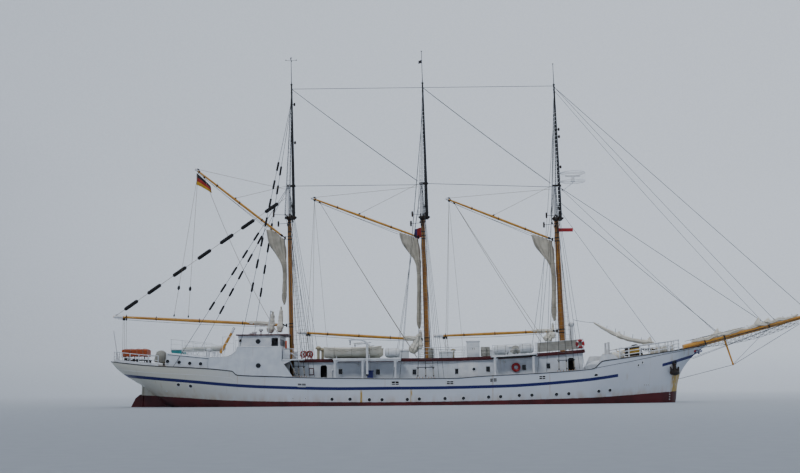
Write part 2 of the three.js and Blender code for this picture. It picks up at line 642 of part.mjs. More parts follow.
function buildLifeboat(name, side) {
  const [centre, length] = [-5.06, 5.1];
  const places = [-0.5, -0.47, -0.4, -0.28, -0.1, 0.1, 0.28, 0.4, 0.47, 0.5].map((part) => part * length);
  const keel = BOAT_DECK.level + GAP;
  piece(name, skin(places.map((x) => boatRing(x, length, 1.6, 0.82, keel, side * 2.95).map(
    ([y, z]) => at(centre + x, y, z)))), "cream");
}

function buildDavit(name, side) {
  const { x, radius, top, reach } = DAVIT;
  const y = side * davitY();
  const foot = DAVIT.foot + GAP;
  const crook = [1, 2, 3, 4].map((i) => {
    const turn = (i / 4) * Math.PI / 2;
    return [x - 0.55 * (1 - Math.cos(turn)), y, top - 0.55 + 0.55 * Math.sin(turn)];
  });
  const route = [[x, y, foot + 0.2], [x, y, top - 0.55], ...crook, [x - reach, y, top]];
  const heel = rod([x, y, foot], [x, y, foot + 0.3], radius * 1.6, radius * 1.1, 12);
  const eye = rod([x - reach + 0.08, y, top - 0.16], [x - reach + 0.08, y, top], 0.03, 0.03, 6);
  piece(name, join(pipe(route, radius, 8), heel, eye), "white");
}

function buildDeckGear() {
  const locker = join(
    block([5.1, 6.3], [-2.3, -1.1], [4, 5.62]),
    block([5.0, 6.4], [-2.4, -1.0], [5.6, 5.68]));
  piece("deck_locker", locker.intersect(above(boatDeckAt, 4.5, 7, 9, DECK_BREAKS)), "white");
  const tarpaulin = acrossShip([[-26.35, 3.5], [-23.95, 3.5], [-23.95, 5.2], [-24.1, 5.3], [-26.2, 5.35],
    [-26.35, 5.25]], -0.9, 0.9);
  piece("stern_box", tarpaulin.intersect(above(railAt, -26.5, -23.5)), "orange");
  const roof = TRUNK.topFront + 0.15;
  const inflatable = skin([-0.5, -0.46, -0.3, 0, 0.3, 0.44, 0.5].map((part) => {
    const size = Math.sqrt(Math.max(0.05, 1 - (2 * part) ** 4));
    return Array.from({ length: 10 }, (_, i) => {
      const turn = (i / 10) * 2 * Math.PI;
      return at(-18.6 + part * 3.7, -1.9 + 0.75 * size * Math.cos(turn),
        roof + 0.55 + 0.24 * size * Math.sin(turn));
    });
  }));
  const chocks = [-19.8, -18.2].map((x) => block([x - 0.05, x + 0.05], [-2.3, -1.5], [4.2, roof + 0.4]));
  const trunkTop = (x) => TRUNK.topAft + (TRUNK.topFront - TRUNK.topAft) * (x - TRUNK.aft) / 3.95;
  piece("inflatable_boat", join(inflatable, chocks).intersect(above(trunkTop, -21, -17.8)), "canvas");
  const barrel = railAt(20.6) + 0.62;
  piece("windlass", join(
    block([19.9, 21.3], [-0.9, 0.9], [3.5, railAt(20.6) + 0.2]),
    [-0.7, 0.5].map((y) => block([20.3, 20.9], [y, y + 0.2], [railAt(20.6), barrel + 0.15])),
    rod([20.6, -1.25, barrel], [20.6, 1.25, barrel], 0.16, 0.16, 10),
    [-1.2, -0.14, 0.92].map((y) => rod([20.6, y, barrel], [20.6, y + 0.28, barrel], 0.3, 0.3, 10)),
  ).intersect(above(railAt, 19.5, 21.7)), "black");
}

function buildAnchor(name, side) {
  const y = (x, z) => side * (breadthAt(x, z) + 0.09);
  const spot = (x, z) => [x, y(x, z), z];
  const shank = rod(spot(23.95, 3.75), spot(23.72, 2.75), 0.09, 0.09);
  const crown = rod(spot(23.15, 2.62), spot(24.25, 2.68), 0.17, 0.17);
  const flukes = [[23.25, 22.98], [24.1, 24.42]].map(
    ([root, tip]) => rod(spot(root, 2.64), spot(tip, 3.45), 0.17, 0.04));
  const plating = skin(stationsIn(22.5, 25.2).map((x) => hullRing(x, 2 * GAP)));
  piece(name, join(shank, crown, flukes).subtract(plating), "black");
}

// Masts and rigging

const mastX = (mast, z) => mast.x - RAKE * (z - MAST_STEP);

function mastShape(mast, grow = 0) {
  const foot = deckAt(mast.x) - 0.1;
  const place = (z) => [mastX(mast, z), 0, z];
  const trunk = rod(place(foot), place(mast.hounds), mast.radius + grow, mast.radius * 0.8 + grow, 12);
  const headRadius = mast.radius * 0.68 + grow;
  return trunk.add(rod(place(mast.hounds - 0.1), place(mast.cap + 0.12), headRadius, headRadius, 12));
}

function topmastShape(mast, grow = 0) {
  const place = (z) => [mastX(mast, z) + TOPMAST_AHEAD, 0, z];
  return join(
    rod(place(mast.hounds - 0.2), place(mast.cap + 0.4), 0.14 + grow, 0.13 + grow, 12),
    rod(place(mast.cap + 0.3), place(mast.head), 0.12 + grow, 0.075 + grow, 12),
    rod(place(mast.head - 0.1), place(mast.pole), 0.035 + grow, 0.025 + grow, 8));
}

// Bands with a vertical pin, on which a spar's eye turns
const NECK = { pin: 0.045, eye: 0.09, lug: 0.03, high: 0.2, sides: 16 };

function pinPlace(mast, z) {
  return mastX(mast, z) - PIN_BEHIND;
}

function neckPin(x, z, half, grow = 0) {
  return rod([x, 0, z - half], [x, 0, z + half], NECK.pin + grow, NECK.pin + grow, NECK.sides);
}

function mastBracket(mast, z) {
  const x = pinPlace(mast, z);
  const levels = [z + NECK.high / 2, z - NECK.high / 2 - NECK.lug];
  const lugs = levels.map((low) => join(
    block([x, mastX(mast, z)], [-0.06, 0.06], [low, low + NECK.lug]),
    rod([x, 0, low], [x, 0, low + NECK.lug], 0.075, 0.075, 8)));
  return join(lugs, neckPin(x, z, NECK.high / 2 + 0.01));
}

function sparEye(mast, z, run, radius) {
  const x = pinPlace(mast, z);
  const half = NECK.high / 2 - PIN_GAP;
  const eye = rod([x, 0, z - half], [x, 0, z + half], NECK.eye, NECK.eye, 12);
  const neck = block([x - 0.26, x - 0.04], [-0.05, 0.05], [z - half, z + half]);
  const start = [x - 0.22, 0, z];
  const end = [x - run.length, 0, z + run.rise];
  const middle = [x - run.length * 0.5, 0, z + run.rise * 0.5];
  const halves = [rod(start, middle, radius * 0.85, radius, 10), rod(middle, end, radius, radius * 0.8, 10)];
  return join(eye, neck, halves).subtract(neckPin(x, z, 1, 2 * PIN_GAP));
}

function buildMast(mast) {
  const { hounds, cap } = mast;
  const x = mastX(mast, hounds);
  const arms = [-0.22, 0.22].map((dx) => rod(
    [x + dx, -CROSSTREE, hounds + 0.2], [x + dx, CROSSTREE, hounds + 0.2], 0.045, 0.045, 4));
  const trestle = block([x - 0.3, x + TOPMAST_AHEAD + 0.25], [-0.22, 0.22], [hounds + 0.02, hounds + 0.22]);
  const capX = mastX(mast, cap);
  const band = block([capX - 0.22, capX + TOPMAST_AHEAD + 0.22], [-0.2, 0.2], [cap - 0.1, cap + 0.12]);
  const brackets = [mastBracket(mast, mast.boom.z), mastBracket(mast, mast.gaff.z)];
  const whole = join(mastShape(mast), arms, trestle, band, brackets);
  const onDeck = whole.intersect(above(deckAt, WELL.aft - 2, WELL.front, 40));
  piece(`${mast.name}_mast`, onDeck.subtract(topmastShape(mast, GAP)), "varnish");
  piece(`${mast.name}_topmast`, topmastShape(mast), "black");
}

function buildSpars(mast) {
  const { boom, gaff, foot, sail } = mast;
  const x = pinPlace(mast, boom.z);
  const cloth = skin([0, 0.15, 0.5, 0.85, 1].map((part) => {
    const out = foot.from + (foot.to - foot.from) * part;
    const size = foot.radius * (0.35 + 0.65 * Math.sin(Math.PI * Math.min(0.9, part + 0.08)));
    const z = boom.z + boom.rise * out / boom.length;
    return Array.from({ length: 10 }, (_, i) => {
      const turn = (i / 10) * 2 * Math.PI;
      return at(x - out, size * Math.cos(turn), z - foot.radius * 0.4 + size * 1.3 * Math.sin(turn));
    });
  }));
  piece(`${mast.name}_boom`, join(sparEye(mast, boom.z, boom, boom.radius), cloth), "spar");
  piece(`${mast.name}_gaff`, sparEye(mast, gaff.z, gaff, gaff.radius), "spar");
  const slope = gaff.rise / gaff.length;
  const pin = pinPlace(mast, gaff.z);
  const reach = sail.luff + 0.3;
  const throatZ = gaff.z - gaff.radius * 1.35;
  const low = gaff.z - 3.1;
  const rows = [
    // height, fore edge, after edge, half thickness
    [low, -sail.behind, -sail.behind - 0.38, 0.17],
    [gaff.z - 1.4, -0.26 - sail.behind * 0.4, -1.0, 0.17],
    [gaff.z - 0.35, -0.28, -reach + 0.25, 0.15],
  ];
  const bundleRows = [[sail.foot, -sail.behind + 0.02, -sail.behind - 0.28, 0.13], ...rows];
  const body = skin(bundleRows.map(([z, front, back, half]) => [
    at(pin + front, half, z), at(pin + front, -half, z), at(pin + back, -half, z), at(pin + back, half, z),
  ]));
  const head = acrossShip([
    [pin - 0.28, gaff.z - 0.5], [pin - 0.28, throatZ + slope * 0.28],
    [pin - reach, throatZ + slope * reach], [pin - reach, gaff.z - 0.5 + slope * reach * 0.6],
    [pin - reach + 0.3, gaff.z - 0.5]], -0.12, 0.12);
  const spar = sparEye(mast, gaff.z, gaff, gaff.radius + GAP);
  piece(`${mast.name}_sail`, join(body, head).subtract(spar), "canvas");
}

const RATLINES = { first: 0.09, step: 0.11, count: 7, thick: 0.0025 };

function buildShrouds(mast, side) {
  const top = [mastX(mast, mast.hounds), side * (mast.radius * 0.8 + 0.05), mast.hounds - 0.25];
  const lines = mast.shroudFeet.map((dx, k) => {
    const x = mast.x + dx;
    const foot = at(x, side * (halfAt(x) - 0.06), railAt(x) + RAIL_CAP.up + GAP);
    return [foot, at(top[0] + (k - 1) * 0.07, top[1], top[2])];
  });
  const levels = [0, ...Array.from({ length: RATLINES.count }, (_, k) => {
    const up = RATLINES.first + k * RATLINES.step;
    return [up, up + RATLINES.thick];
  }).flat(), 1];
  const place = (i, j, layer) => lines[Math.floor(i / 2)][0].clone()
    .lerp(lines[Math.floor(i / 2)][1], levels[j])
    .add(new THREE.Vector3((i % 2 ? 1 : -1) * 0.024 * M, layer * 0.02 * M, 0));
  const fan = grille(lines.length * 2, levels.length, place, (i, j) => i % 2 === 0 || j % 2 === 1);
  const band = block([top[0] - 0.11, top[0] + 0.11], [top[1] - 0.04, top[1] + 0.04],
    [top[2] - 0.16, top[2] + 0.04]);
  const floor = above(capAt, WELL.aft, WELL.front, 19);
  const name = `${mast.name}_shrouds_${side > 0 ? "port" : "starboard"}`;
  piece(name, join(fan, band).intersect(floor).subtract(mastShape(mast, GAP)), "wire");
}

const bowspritAt = (x) => {
  const { heel, tip } = BOWSPRIT;
  return heel[1] + (tip[1] - heel[1]) * (x - heel[0]) / (tip[0] - heel[0]);
};

function buildBowsprit() {
  const striker = rod([STRIKER.x, 0, bowspritAt(STRIKER.x)], [STRIKER.foot[0], 0, STRIKER.foot[1]],
    STRIKER.radius, STRIKER.radius * 0.7);
  piece("bowsprit", join(bowspritShape(), striker), "spar");
  const furled = skin([0, 0.03, 0.2, 0.4, 0.6, 0.85, 0.97, 1].map((part, i) => {
    const x = 25.75 + 9.9 * part;
    const size = [0.05, 0.15, 0.2, 0.19, 0.17, 0.15, 0.1, 0.04][i];
    return Array.from({ length: 8 }, (_, k) => {
      const turn = (k / 8) * 2 * Math.PI;
      return at(x, size * 1.3 * Math.cos(turn), bowspritAt(x) + 0.3 - 0.07 * part + size * Math.sin(turn));
    });
  }));
  const wires = HEAD_STAYS.map((row) => headStay(row, STAY + GAP));
  piece("furled_headsails", furled.subtract(join(bowspritShape(GAP), wires)), "canvas");
  const drape = skin([0, 0.1, 0.3, 0.5, 0.7, 0.9, 1].map((part) => {
    const x = 16.9 + 5.45 * part;
    const z = 7.3 - 1.9 * part - 0.45 * Math.sin(Math.PI * part);
    const size = 0.05 + 0.12 * Math.sin(Math.PI * part);
    return Array.from({ length: 8 }, (_, k) => {
      const turn = (k / 8) * 2 * Math.PI;
      return at(x, 0.9 * size * Math.cos(turn), z + size * Math.sin(turn));
    });
  }));
  const stay = rod([14.12, 0, 17.75], [23.1, 0, 4.3], STAY, STAY, 6);
  const clear = above(railAt, 12, 25, 19).subtract(topmastShape(MASTS[2], GAP));
  piece("furled_staysail", join(drape, stay).intersect(clear), "canvas");
}

// Main stays, from a height on the fore topmast to a place on the bowsprit
const HEAD_STAYS = [
  // name, height, place on the bowsprit
  ["outer_stay", 29.6, 36.9],
  ["jib_stay", 20.0, 32.9],
  ["fore_stay", 18.55, 28.75],
];
const STAY = 0.022;
const topmastX = (mast, z) => mastX(mast, z) + TOPMAST_AHEAD;

function headStay([, z, x], radius) {
  return rod([topmastX(MASTS[2], z), 0, z], [x, 0, bowspritAt(x)], radius, radius, 6);
}

function buildStays() {
  const masts = MASTS.flatMap((mast) => [mastShape(mast, GAP), topmastShape(mast, GAP)]);
  const ends = join(bowspritShape(GAP), masts);
  HEAD_STAYS.forEach((row) => piece(row[0], headStay(row, STAY).subtract(ends), "wire"));
  [[0, 1, "aft_triatic_stay"], [1, 2, "fore_triatic_stay"]].forEach(([a, b, name]) => {
    const z = 29.7;
    const stay = rod([topmastX(MASTS[a], z), 0, z], [topmastX(MASTS[b], z), 0, z], STAY, STAY, 6);
    piece(name, stay.subtract(ends), "wire");
  });
}

// Rudder and propeller

function buildRudder() {
  const { x, heel } = RUDDER;
  const blade = acrossShip([
    [x, heel + 0.05], [x - 0.95, heel + 0.15], [x - 1.25, heel + 0.9], [x - 1.3, -1.4], [x - 1.05, 0.0],
    [x - 0.65, 0.8], [x - 0.3, 1.1], [x, 1.25]], -0.06, 0.06);
  piece("rudder", join(rudderStock(), blade), "red");
}

function buildPropeller() {
  const { x, z, radius, hub, blades } = PROPELLER;
  const boss = join(
    rod([x - 0.22, 0, z], [x + 0.3 - GAP, 0, z], hub, hub, 16),
    rod([x - 0.38, 0, z], [x - 0.22, 0, z], 0.05, hub, 16));
  const arms = Array.from({ length: blades }, (_, i) => {
    const turn = (i / blades) * 2 * Math.PI + Math.PI / 4;
    const out = new THREE.Vector3(0, Math.cos(turn), Math.sin(turn));
    const swing = new THREE.Vector3(0, -Math.sin(turn), Math.cos(turn));
    const rows = [
      // part of the radius, half chord, pitch angle
      [0.1, 0.13, 1.0], [0.4, 0.27, 0.75], [0.7, 0.32, 0.55], [0.92, 0.2, 0.45], [1, 0.06, 0.42],
    ];
    return skin(rows.map(([part, chord, pitch]) => {
      const side = new THREE.Vector3(Math.sin(pitch), 0, 0).addScaledVector(swing, Math.cos(pitch));
      const face = new THREE.Vector3(Math.cos(pitch), 0, 0).addScaledVector(swing, -Math.sin(pitch));
      return [[-1, 0], [0, 0.04], [1, 0], [0, -0.04]].map(([c, f]) => at(x, 0, z)
        .addScaledVector(out, part * radius * M)
        .addScaledVector(side, c * chord * M)
        .addScaledVector(face, f * M));
    }));
  });
  piece("propeller", join(boss, arms), "bronze");
}

// The ship

const SIDES = [["starboard", -1], ["port", 1]];

buildHull();
buildTrunk();
buildBridgeHouse();
buildWheelhouse();
buildDeckhouse();
buildBoatDeck();
buildDeckGear();
SIDES.forEach(([word, side]) => {
  buildBulwark(`bulwark_${word}`, side);
  buildPoopRail(`poop_rail_${word}`, side);
  buildForecastleRail(`forecastle_rail_${word}`, side);
  buildLifeboat(`lifeboat_${word}`, side);
  buildDavit(`davit_${word}`, side);
  buildAnchor(`anchor_${word}`, side);
  DOORS.forEach((row) => buildDoor(row, side));
});
MASTS.forEach((mast) => {
  buildMast(mast);
  buildSpars(mast);
  SIDES.forEach(([, side]) => buildShrouds(mast, side));
});
buildBowsprit();
buildStays();
buildRudder();
buildPropeller();

export default ship;
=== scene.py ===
"""Looks of a half-size three-masted gaff schooner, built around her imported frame.

Sizes are metres of the full-size ship, and K turns them into metres of the model. +X is the bow,
+Y is port, +Z is up, and z = 0 is the waterline.
"""

import logging
import math
from dataclasses import dataclass
from enum import Enum
from typing import ClassVar, Optional, Sequence, Union

import bpy
import numpy as np
from mathutils import Matrix


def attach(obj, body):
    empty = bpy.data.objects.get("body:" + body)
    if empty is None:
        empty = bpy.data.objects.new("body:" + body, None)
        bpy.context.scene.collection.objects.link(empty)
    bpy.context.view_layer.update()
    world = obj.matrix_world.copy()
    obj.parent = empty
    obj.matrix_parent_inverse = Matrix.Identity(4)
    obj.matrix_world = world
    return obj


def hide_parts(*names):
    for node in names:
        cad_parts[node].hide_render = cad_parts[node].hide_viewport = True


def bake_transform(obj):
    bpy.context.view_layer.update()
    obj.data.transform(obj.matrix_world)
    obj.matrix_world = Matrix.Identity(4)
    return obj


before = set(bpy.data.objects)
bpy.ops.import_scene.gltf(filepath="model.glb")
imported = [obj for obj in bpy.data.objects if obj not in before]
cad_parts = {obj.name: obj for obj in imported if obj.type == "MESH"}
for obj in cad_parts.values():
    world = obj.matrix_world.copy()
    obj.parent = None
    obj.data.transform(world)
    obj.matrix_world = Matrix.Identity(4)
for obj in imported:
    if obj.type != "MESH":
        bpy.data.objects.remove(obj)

K = 0.5
LOG = logging.getLogger("ship")
Place = Sequence[float]
Field = Union[float, np.ndarray]


class Side(Enum):
    """A side of the ship; the value is the sign of y."""

    STARBOARD = -1
    PORT = 1

    @property
    def word(self) -> str:
        """The side's name as the frame's nodes write it."""
        return self.name.lower()


# Shader nodes


def linear(code: str) -> tuple[float, float, float, float]:
    """Turns an sRGB hex colour into linear red, green, blue and alpha.

    Args:
        code: The colour as # and six hex digits.

    Returns:
        Red, green, blue and alpha.
    """
    parts = [int(code[i:i + 2], 16) / 255 for i in (1, 3, 5)]
    bright = [p / 12.92 if p <= 0.04045 else ((p + 0.055) / 1.055) ** 2.4 for p in parts]
    return (bright[0], bright[1], bright[2], 1.0)


def add(tree: bpy.types.NodeTree, kind: str, inputs: Optional[dict] = None) -> bpy.types.Node:
    """Adds a node to a tree.

    Args:
        tree: The node tree.
        kind: The node's type name after "ShaderNode".
        inputs: By attribute name, or by input name or number: a value, an sRGB hex colour, a socket to link,
            or a node, which stands for its first output in use.

    Returns:
        The new node.
    """
    made = tree.nodes.new("ShaderNode" + kind)
    for key, value in (inputs or {}).items():
        if isinstance(value, bpy.types.Node):
            value = next(output for output in value.outputs if output.enabled)
        if isinstance(value, str) and value.startswith("#"):
            value = linear(value)
        if isinstance(value, bpy.types.NodeSocket):
            tree.links.new(value, made.inputs[key])
        elif isinstance(key, str) and hasattr(made, key):
            setattr(made, key, value)
        else:
            made.inputs[key].default_value = value
    return made


@dataclass(frozen=True)
class Finish:
    """A surface finish: two close colours that drift into each other, with streaks that run down it."""

    name: str
    colour: str
    drift: str
    roughness: float
    metallic: float = 0.0
    scale: float = 3.0
    bump: float = 0.08
    # The colour of the streaks that run down a surface; woven cloth lays it in runs along its folds as
    # painted shade
    streak_or_fold_shade: str = ""
    streaks: float = 0.35
    fine: float = 60.0
    coat: float = 0.0

    def material(self) -> bpy.types.Material:
        """Gives the finish's material, made once.

        Returns:
            The material.
        """
        found = bpy.data.materials.get(self.name)
        if found:
            return found
        made = bpy.data.materials.new(self.name)
        made.use_nodes = True
        tree = made.node_tree
        tree.nodes.clear()
        shader = add(tree, "BsdfPrincipled", {"Metallic": self.metallic, "Coat Weight": self.coat,
                                              "Base Color": self.colour_of(tree), **self.relief(tree)})
        add(tree, "OutputMaterial", {"Surface": shader, "is_active_output": True})
        return made

    def place(self, tree: bpy.types.NodeTree, stretch: Place = (1, 1, 1), key: str = "Object"
              ) -> bpy.types.Node:
        """Gives the pattern's coordinates, stretched along each axis."""
        return add(tree, "Mapping", {"Scale": stretch, 0: add(tree, "TexCoord").outputs[key]})

    def noise(self, tree: bpy.types.NodeTree, scale: float, low: float, high: float,
              stretch: Place = (1, 1, 1), key: str = "Object", detail: float = 5.0) -> bpy.types.Node:
        """Gives noise that runs from 0 at low to 1 at high.

        Args:
            tree: The node tree.
            scale: How many cells the noise has in a unit.
            low: The noise's value that becomes 0.
            high: The value that becomes 1.
            stretch: How much denser it is along each axis.
            key: The coordinates that it follows.
            detail: Octaves of finer noise in it.

        Returns:
            The last node.
        """
        cloud = add(tree, "TexNoise",
                    {"Scale": scale, "Detail": detail, "Vector": self.place(tree, stretch, key)})
        return add(tree, "MapRange", {"From Min": low, "From Max": high, "Value": cloud})

    def coats(self, tree: bpy.types.NodeTree, layers: Sequence[tuple]) -> bpy.types.Node:
        """Lays colours over the finish's own, each as thick as the product of its factors.

        Args:
            tree: The node tree.
            layers: The colour of each layer and then its factors, which are nodes, sockets or numbers.

        Returns:
            The last layer's node.
        """
        mixed = self.colour
        for colour, amount, *factors in layers:
            for factor in factors:
                amount = add(tree, "Math", {"operation": "MULTIPLY", 0: amount, 1: factor})
            mixed = add(tree, "Mix", {"data_type": "RGBA", 0: amount, 6: mixed, 7: colour})
        return mixed

    def colour_of(self, tree: bpy.types.NodeTree) -> bpy.types.Node:
        """Mixes the two colours by slow noise, then lays the streaks over them.

        Args:
            tree: The node tree.

        Returns:
            The colour's node.
        """
        layers = [(self.drift, self.noise(tree, self.scale, 0.35, 0.65))]
        if self.streak_or_fold_shade:
            layers.append((self.streak_or_fold_shade, self.noise(tree, 2.2, 0.56, 0.74, (5.0, 5.0, 0.35)),
                           self.noise(tree, 0.9, 0.45, 0.65), self.streaks))
        return self.coats(tree, layers)

    def relief(self, tree: bpy.types.NodeTree) -> dict:
        """Varies the roughness and raises a fine bump.

        Args:
            tree: The node tree.

        Returns:
            The shader's inputs that it gives.
        """
        fine = self.noise(tree, self.fine, 0.2, 0.8)
        rough = add(tree, "MapRange", {"To Min": max(0.02, self.roughness - 0.08),
                                       "To Max": min(1.0, self.roughness + 0.1), "Value": fine})
        return {"Roughness": rough,
                "Normal": add(tree, "Bump", {"Strength": self.bump, "Distance": 0.01, "Height": fine})}


@dataclass(frozen=True)
class Grained(Finish):
    """Varnished softwood: long dark fibres along the piece's own length, which its UV map carries."""

    fibre: str = "#6E4515"

    def colour_of(self, tree: bpy.types.NodeTree) -> bpy.types.Node:
        """Lays fibres 8 mm wide and a metre long over two close browns."""
        return self.coats(tree, [(self.drift, self.noise(tree, 1.3, 0.35, 0.65, (1, 1, 1), "UV")),
                                 (self.fibre, self.noise(tree, 9.0, 0.5, 0.72, (0.5, 7.0, 1), "UV"), 0.55)])


@dataclass(frozen=True)
class Woven(Finish):
    """Sailcloth or tarpaulin: a crossed weave drawn 6 mm wide so that it shows, soft stains, and painted
    shade in darker runs along its folds.
    """

    def colour_of(self, tree: bpy.types.NodeTree) -> bpy.types.Node:
        """Stains the cloth in broad patches, and paints shade as darker runs along its folds."""
        # The darker runs along the folds are painted shade
        folds = self.noise(tree, 1.6, 0.5, 0.75, (1, 5.0, 1), "UV")
        return self.coats(tree, [(self.drift, self.noise(tree, self.scale, 0.35, 0.7)),
                                 (self.streak_or_fold_shade or self.drift, folds, 0.4)])

    def relief(self, tree: bpy.types.NodeTree) -> dict:
        """Crosses two sets of threads for the bump.

        Args:
            tree: The node tree.

        Returns:
            The shader's inputs that it gives.
        """
        axes = add(tree, "SeparateXYZ", {0: self.place(tree, (160, 160, 1), "UV")})
        waves = [add(tree, "Math", {"operation": "SINE", 0: axes.outputs[i]}) for i in (0, 1)]
        weave = add(tree, "Math", {"operation": "MULTIPLY", 0: waves[0], 1: waves[1]})
        bump = add(tree, "Bump", {"Strength": self.bump, "Distance": 0.003, "Height": weave})
        return {"Normal": bump, "Roughness": self.roughness, "Sheen Weight": 0.15}


@dataclass(frozen=True)
class Laid(Finish):
    """Laid rope or wire: strands that wind round it, drawn by a slanting wave on its UV map."""

    lay: float = 40.0

    def relief(self, tree: bpy.types.NodeTree) -> dict:
        """Raises a bump along slanting strands.

        Args:
            tree: The node tree.

        Returns:
            The shader's inputs that it gives.
        """
        axes = add(tree, "SeparateXYZ", {0: self.place(tree, (self.lay, self.lay * 3, 1), "UV")})
        slant = add(tree, "Math", {"operation": "ADD", 0: axes.outputs[0], 1: axes.outputs[1]})
        wave = add(tree, "Math", {"operation": "SINE", 0: slant})
        bump = add(tree, "Bump", {"Strength": self.bump, "Distance": 0.004, "Height": wave})
        return {"Normal": bump, "Roughness": self.roughness}


@dataclass(frozen=True)
class Planked(Finish):
    """Scrubbed deck planks 130 mm wide, caulked with dark seams that run fore and aft."""

    seam: str = "#3B3631"
    width: float = 0.13

    def colour_of(self, tree: bpy.types.NodeTree) -> bpy.types.Node:
        """Splits y into planks, tints each plank and darkens the seams between them.

        Args:
            tree: The node tree.

        Returns:
            The colour's node.
        """
        y = add(tree, "SeparateXYZ", {0: self.place(tree)}).outputs[1]
        across = add(tree, "Math", {"operation": "DIVIDE", 0: y, 1: self.width * K})
        number = add(tree, "Math", {"operation": "FLOOR", 0: across})
        tone = add(tree, "TexWhiteNoise", {"noise_dimensions": "1D", "W": number})
        part = add(tree, "Math", {"operation": "FRACT", 0: across})
        gap = add(tree, "Math", {"operation": "LESS_THAN", 0: part, 1: 0.09})
        return self.coats(tree, [(self.drift, tone), (self.seam, gap)])


@dataclass(frozen=True)
class HullPaint(Finish):
    """Gloss paint on welded plates: white topsides, a navy stripe and a matt red bottom.

    The UV map carries the height over the bottom paint and over the middle of the stripe.
    """

    bottom: str = "#5E1B20"
    bottom_stain: str = "#3A1013"
    stripe: str = "#14195F"
    warm: str = "#CFCBB8"
    rust: str = "#A9854A"
    stain: str = "#B9994A"
    stripe_half: float = 0.132
    # Where the stripe leaves off, in metres of the ship
    bare: tuple = (18.4, 22.6)
    # Yellow stains that run down to the bottom paint: x, half width, height of the top, strength
    stains: tuple = ((-4.29, 0.12, 1.25, 1.4), (0.09, 0.12, 1.25, 1.3), (24.1, 0.7, 2.1, 1.6),
                     (-9.4, 0.05, 0.9, 0.4), (12.4, 0.12, 0.7, 0.35))

    def colour_of(self, tree: bpy.types.NodeTree) -> bpy.types.Node:
        """Lays stains, rust runs, the stripe and the bottom paint over the topsides.

        Args:
            tree: The node tree.

        Returns:
            The colour's node.
        """
        axes = add(tree, "SeparateXYZ", {0: self.place(tree, (1 / K, 1 / K, 1), "UV")})
        over_bottom, over_stripe = axes.outputs[0], axes.outputs[1]
        x = add(tree, "SeparateXYZ", {0: self.place(tree)}).outputs[0]
        aft = add(tree, "MapRange", {"From Min": -11 * K, "From Max": -21 * K, "To Max": 0.75, "Value": x})
        low = add(tree, "MapRange", {"From Min": 0.75, "From Max": 0.0, "Value": over_bottom})
        layers = [(self.drift, self.noise(tree, 0.5, 0.3, 0.7)), (self.warm, aft),
                  (self.rust, low, self.noise(tree, 1.4, 0.35, 0.7, (2.5, 2.5, 0.6)), 0.5),
                  (self.rust, self.noise(tree, 1.5, 0.6, 0.7, (3.2, 1, 0.12)),
                   self.noise(tree, 0.8, 0.45, 0.6), 0.55)]
        for middle, wide, top, strength in self.stains:
            off = add(tree, "Math", {"operation": "SUBTRACT", 0: x, 1: middle * K})
            far = add(tree, "Math", {"operation": "ABSOLUTE", 0: off})
            near = add(tree, "MapRange", {"From Min": wide * K, "From Max": wide * K * 0.4, "Value": far})
            under = add(tree, "MapRange", {"From Min": top, "From Max": top * 0.6, "Value": over_bottom})
            layers.append((self.stain, near, under, self.noise(tree, 3.0, 0.3, 0.55, (4, 4, 0.5)),
                           strength))
        away = add(tree, "Math", {"operation": "ABSOLUTE", 0: over_stripe})
        band = add(tree, "Math", {"operation": "LESS_THAN", 0: away, 1: self.stripe_half})
        first, last = (K * end for end in self.bare)
        gap = add(tree, "Math", {"operation": "COMPARE", 0: x, 1: (first + last) / 2,
                                 2: (last - first) / 2})
        shown = add(tree, "Math", {"operation": "SUBTRACT", "use_clamp": True, 0: band, 1: gap})
        edge = self.noise(tree, 6.0, 0.0, 1.0)
        worn = add(tree, "Math", {"operation": "MULTIPLY_ADD", 0: edge, 1: 0.05, 2: over_bottom})
        sunk = add(tree, "Math", {"operation": "LESS_THAN", 0: worn, 1: 0.025})
        patches = self.noise(tree, 1.1, 0.4, 0.7, (1, 1, 0.5))
        bottom = add(tree, "Mix", {"data_type": "RGBA", 0: patches, 6: self.bottom, 7: self.bottom_stain})
        return self.coats(tree, layers + [(self.stripe, shown), (bottom, sunk)])

    def relief(self, tree: bpy.types.NodeTree) -> dict:
        """Hollows the plates a little between their frames, 0.6 m apart, and dulls the paint."""
        wave = self.noise(tree, 1.0, 0.3, 0.7, (1.8, 1, 1.1), detail=2.0)
        return {"Normal": add(tree, "Bump", {"Strength": self.bump, "Distance": 0.03, "Height": wave}),
                "Roughness": self.roughness}


# Finishes, each named for the real material
TOPSIDES = HullPaint("enamel_on_hull_plates", "#D9DEE7", "#CCD3DE", 0.38, bump=0.25)
WHITE = Finish("white_enamel_on_steel", "#E9EBEE", "#D5D9E0", 0.42, streak_or_fold_shade="#A98A5A", streaks=0.4)
# The house sides are a darker, bluer white than the rails: painted shade of the shaded sides, with darker
# grime streaks
HOUSE_WHITE_IN_SHADE = Finish("white_house_enamel", "#E1E6ED", "#D3D9E2", 0.45, streak_or_fold_shade="#A08A66", streaks=0.4, bump=0.1)
MAROON = Finish("maroon_enamel", "#571A20", "#471318", 0.42, streak_or_fold_shade="#7A4A38")
BLACK = Finish("black_bitumen_paint", "#15161A", "#24262B", 0.55)
IRON = Finish("black_galvanised_iron", "#1E1F22", "#3A2A20", 0.6, metallic=0.3)
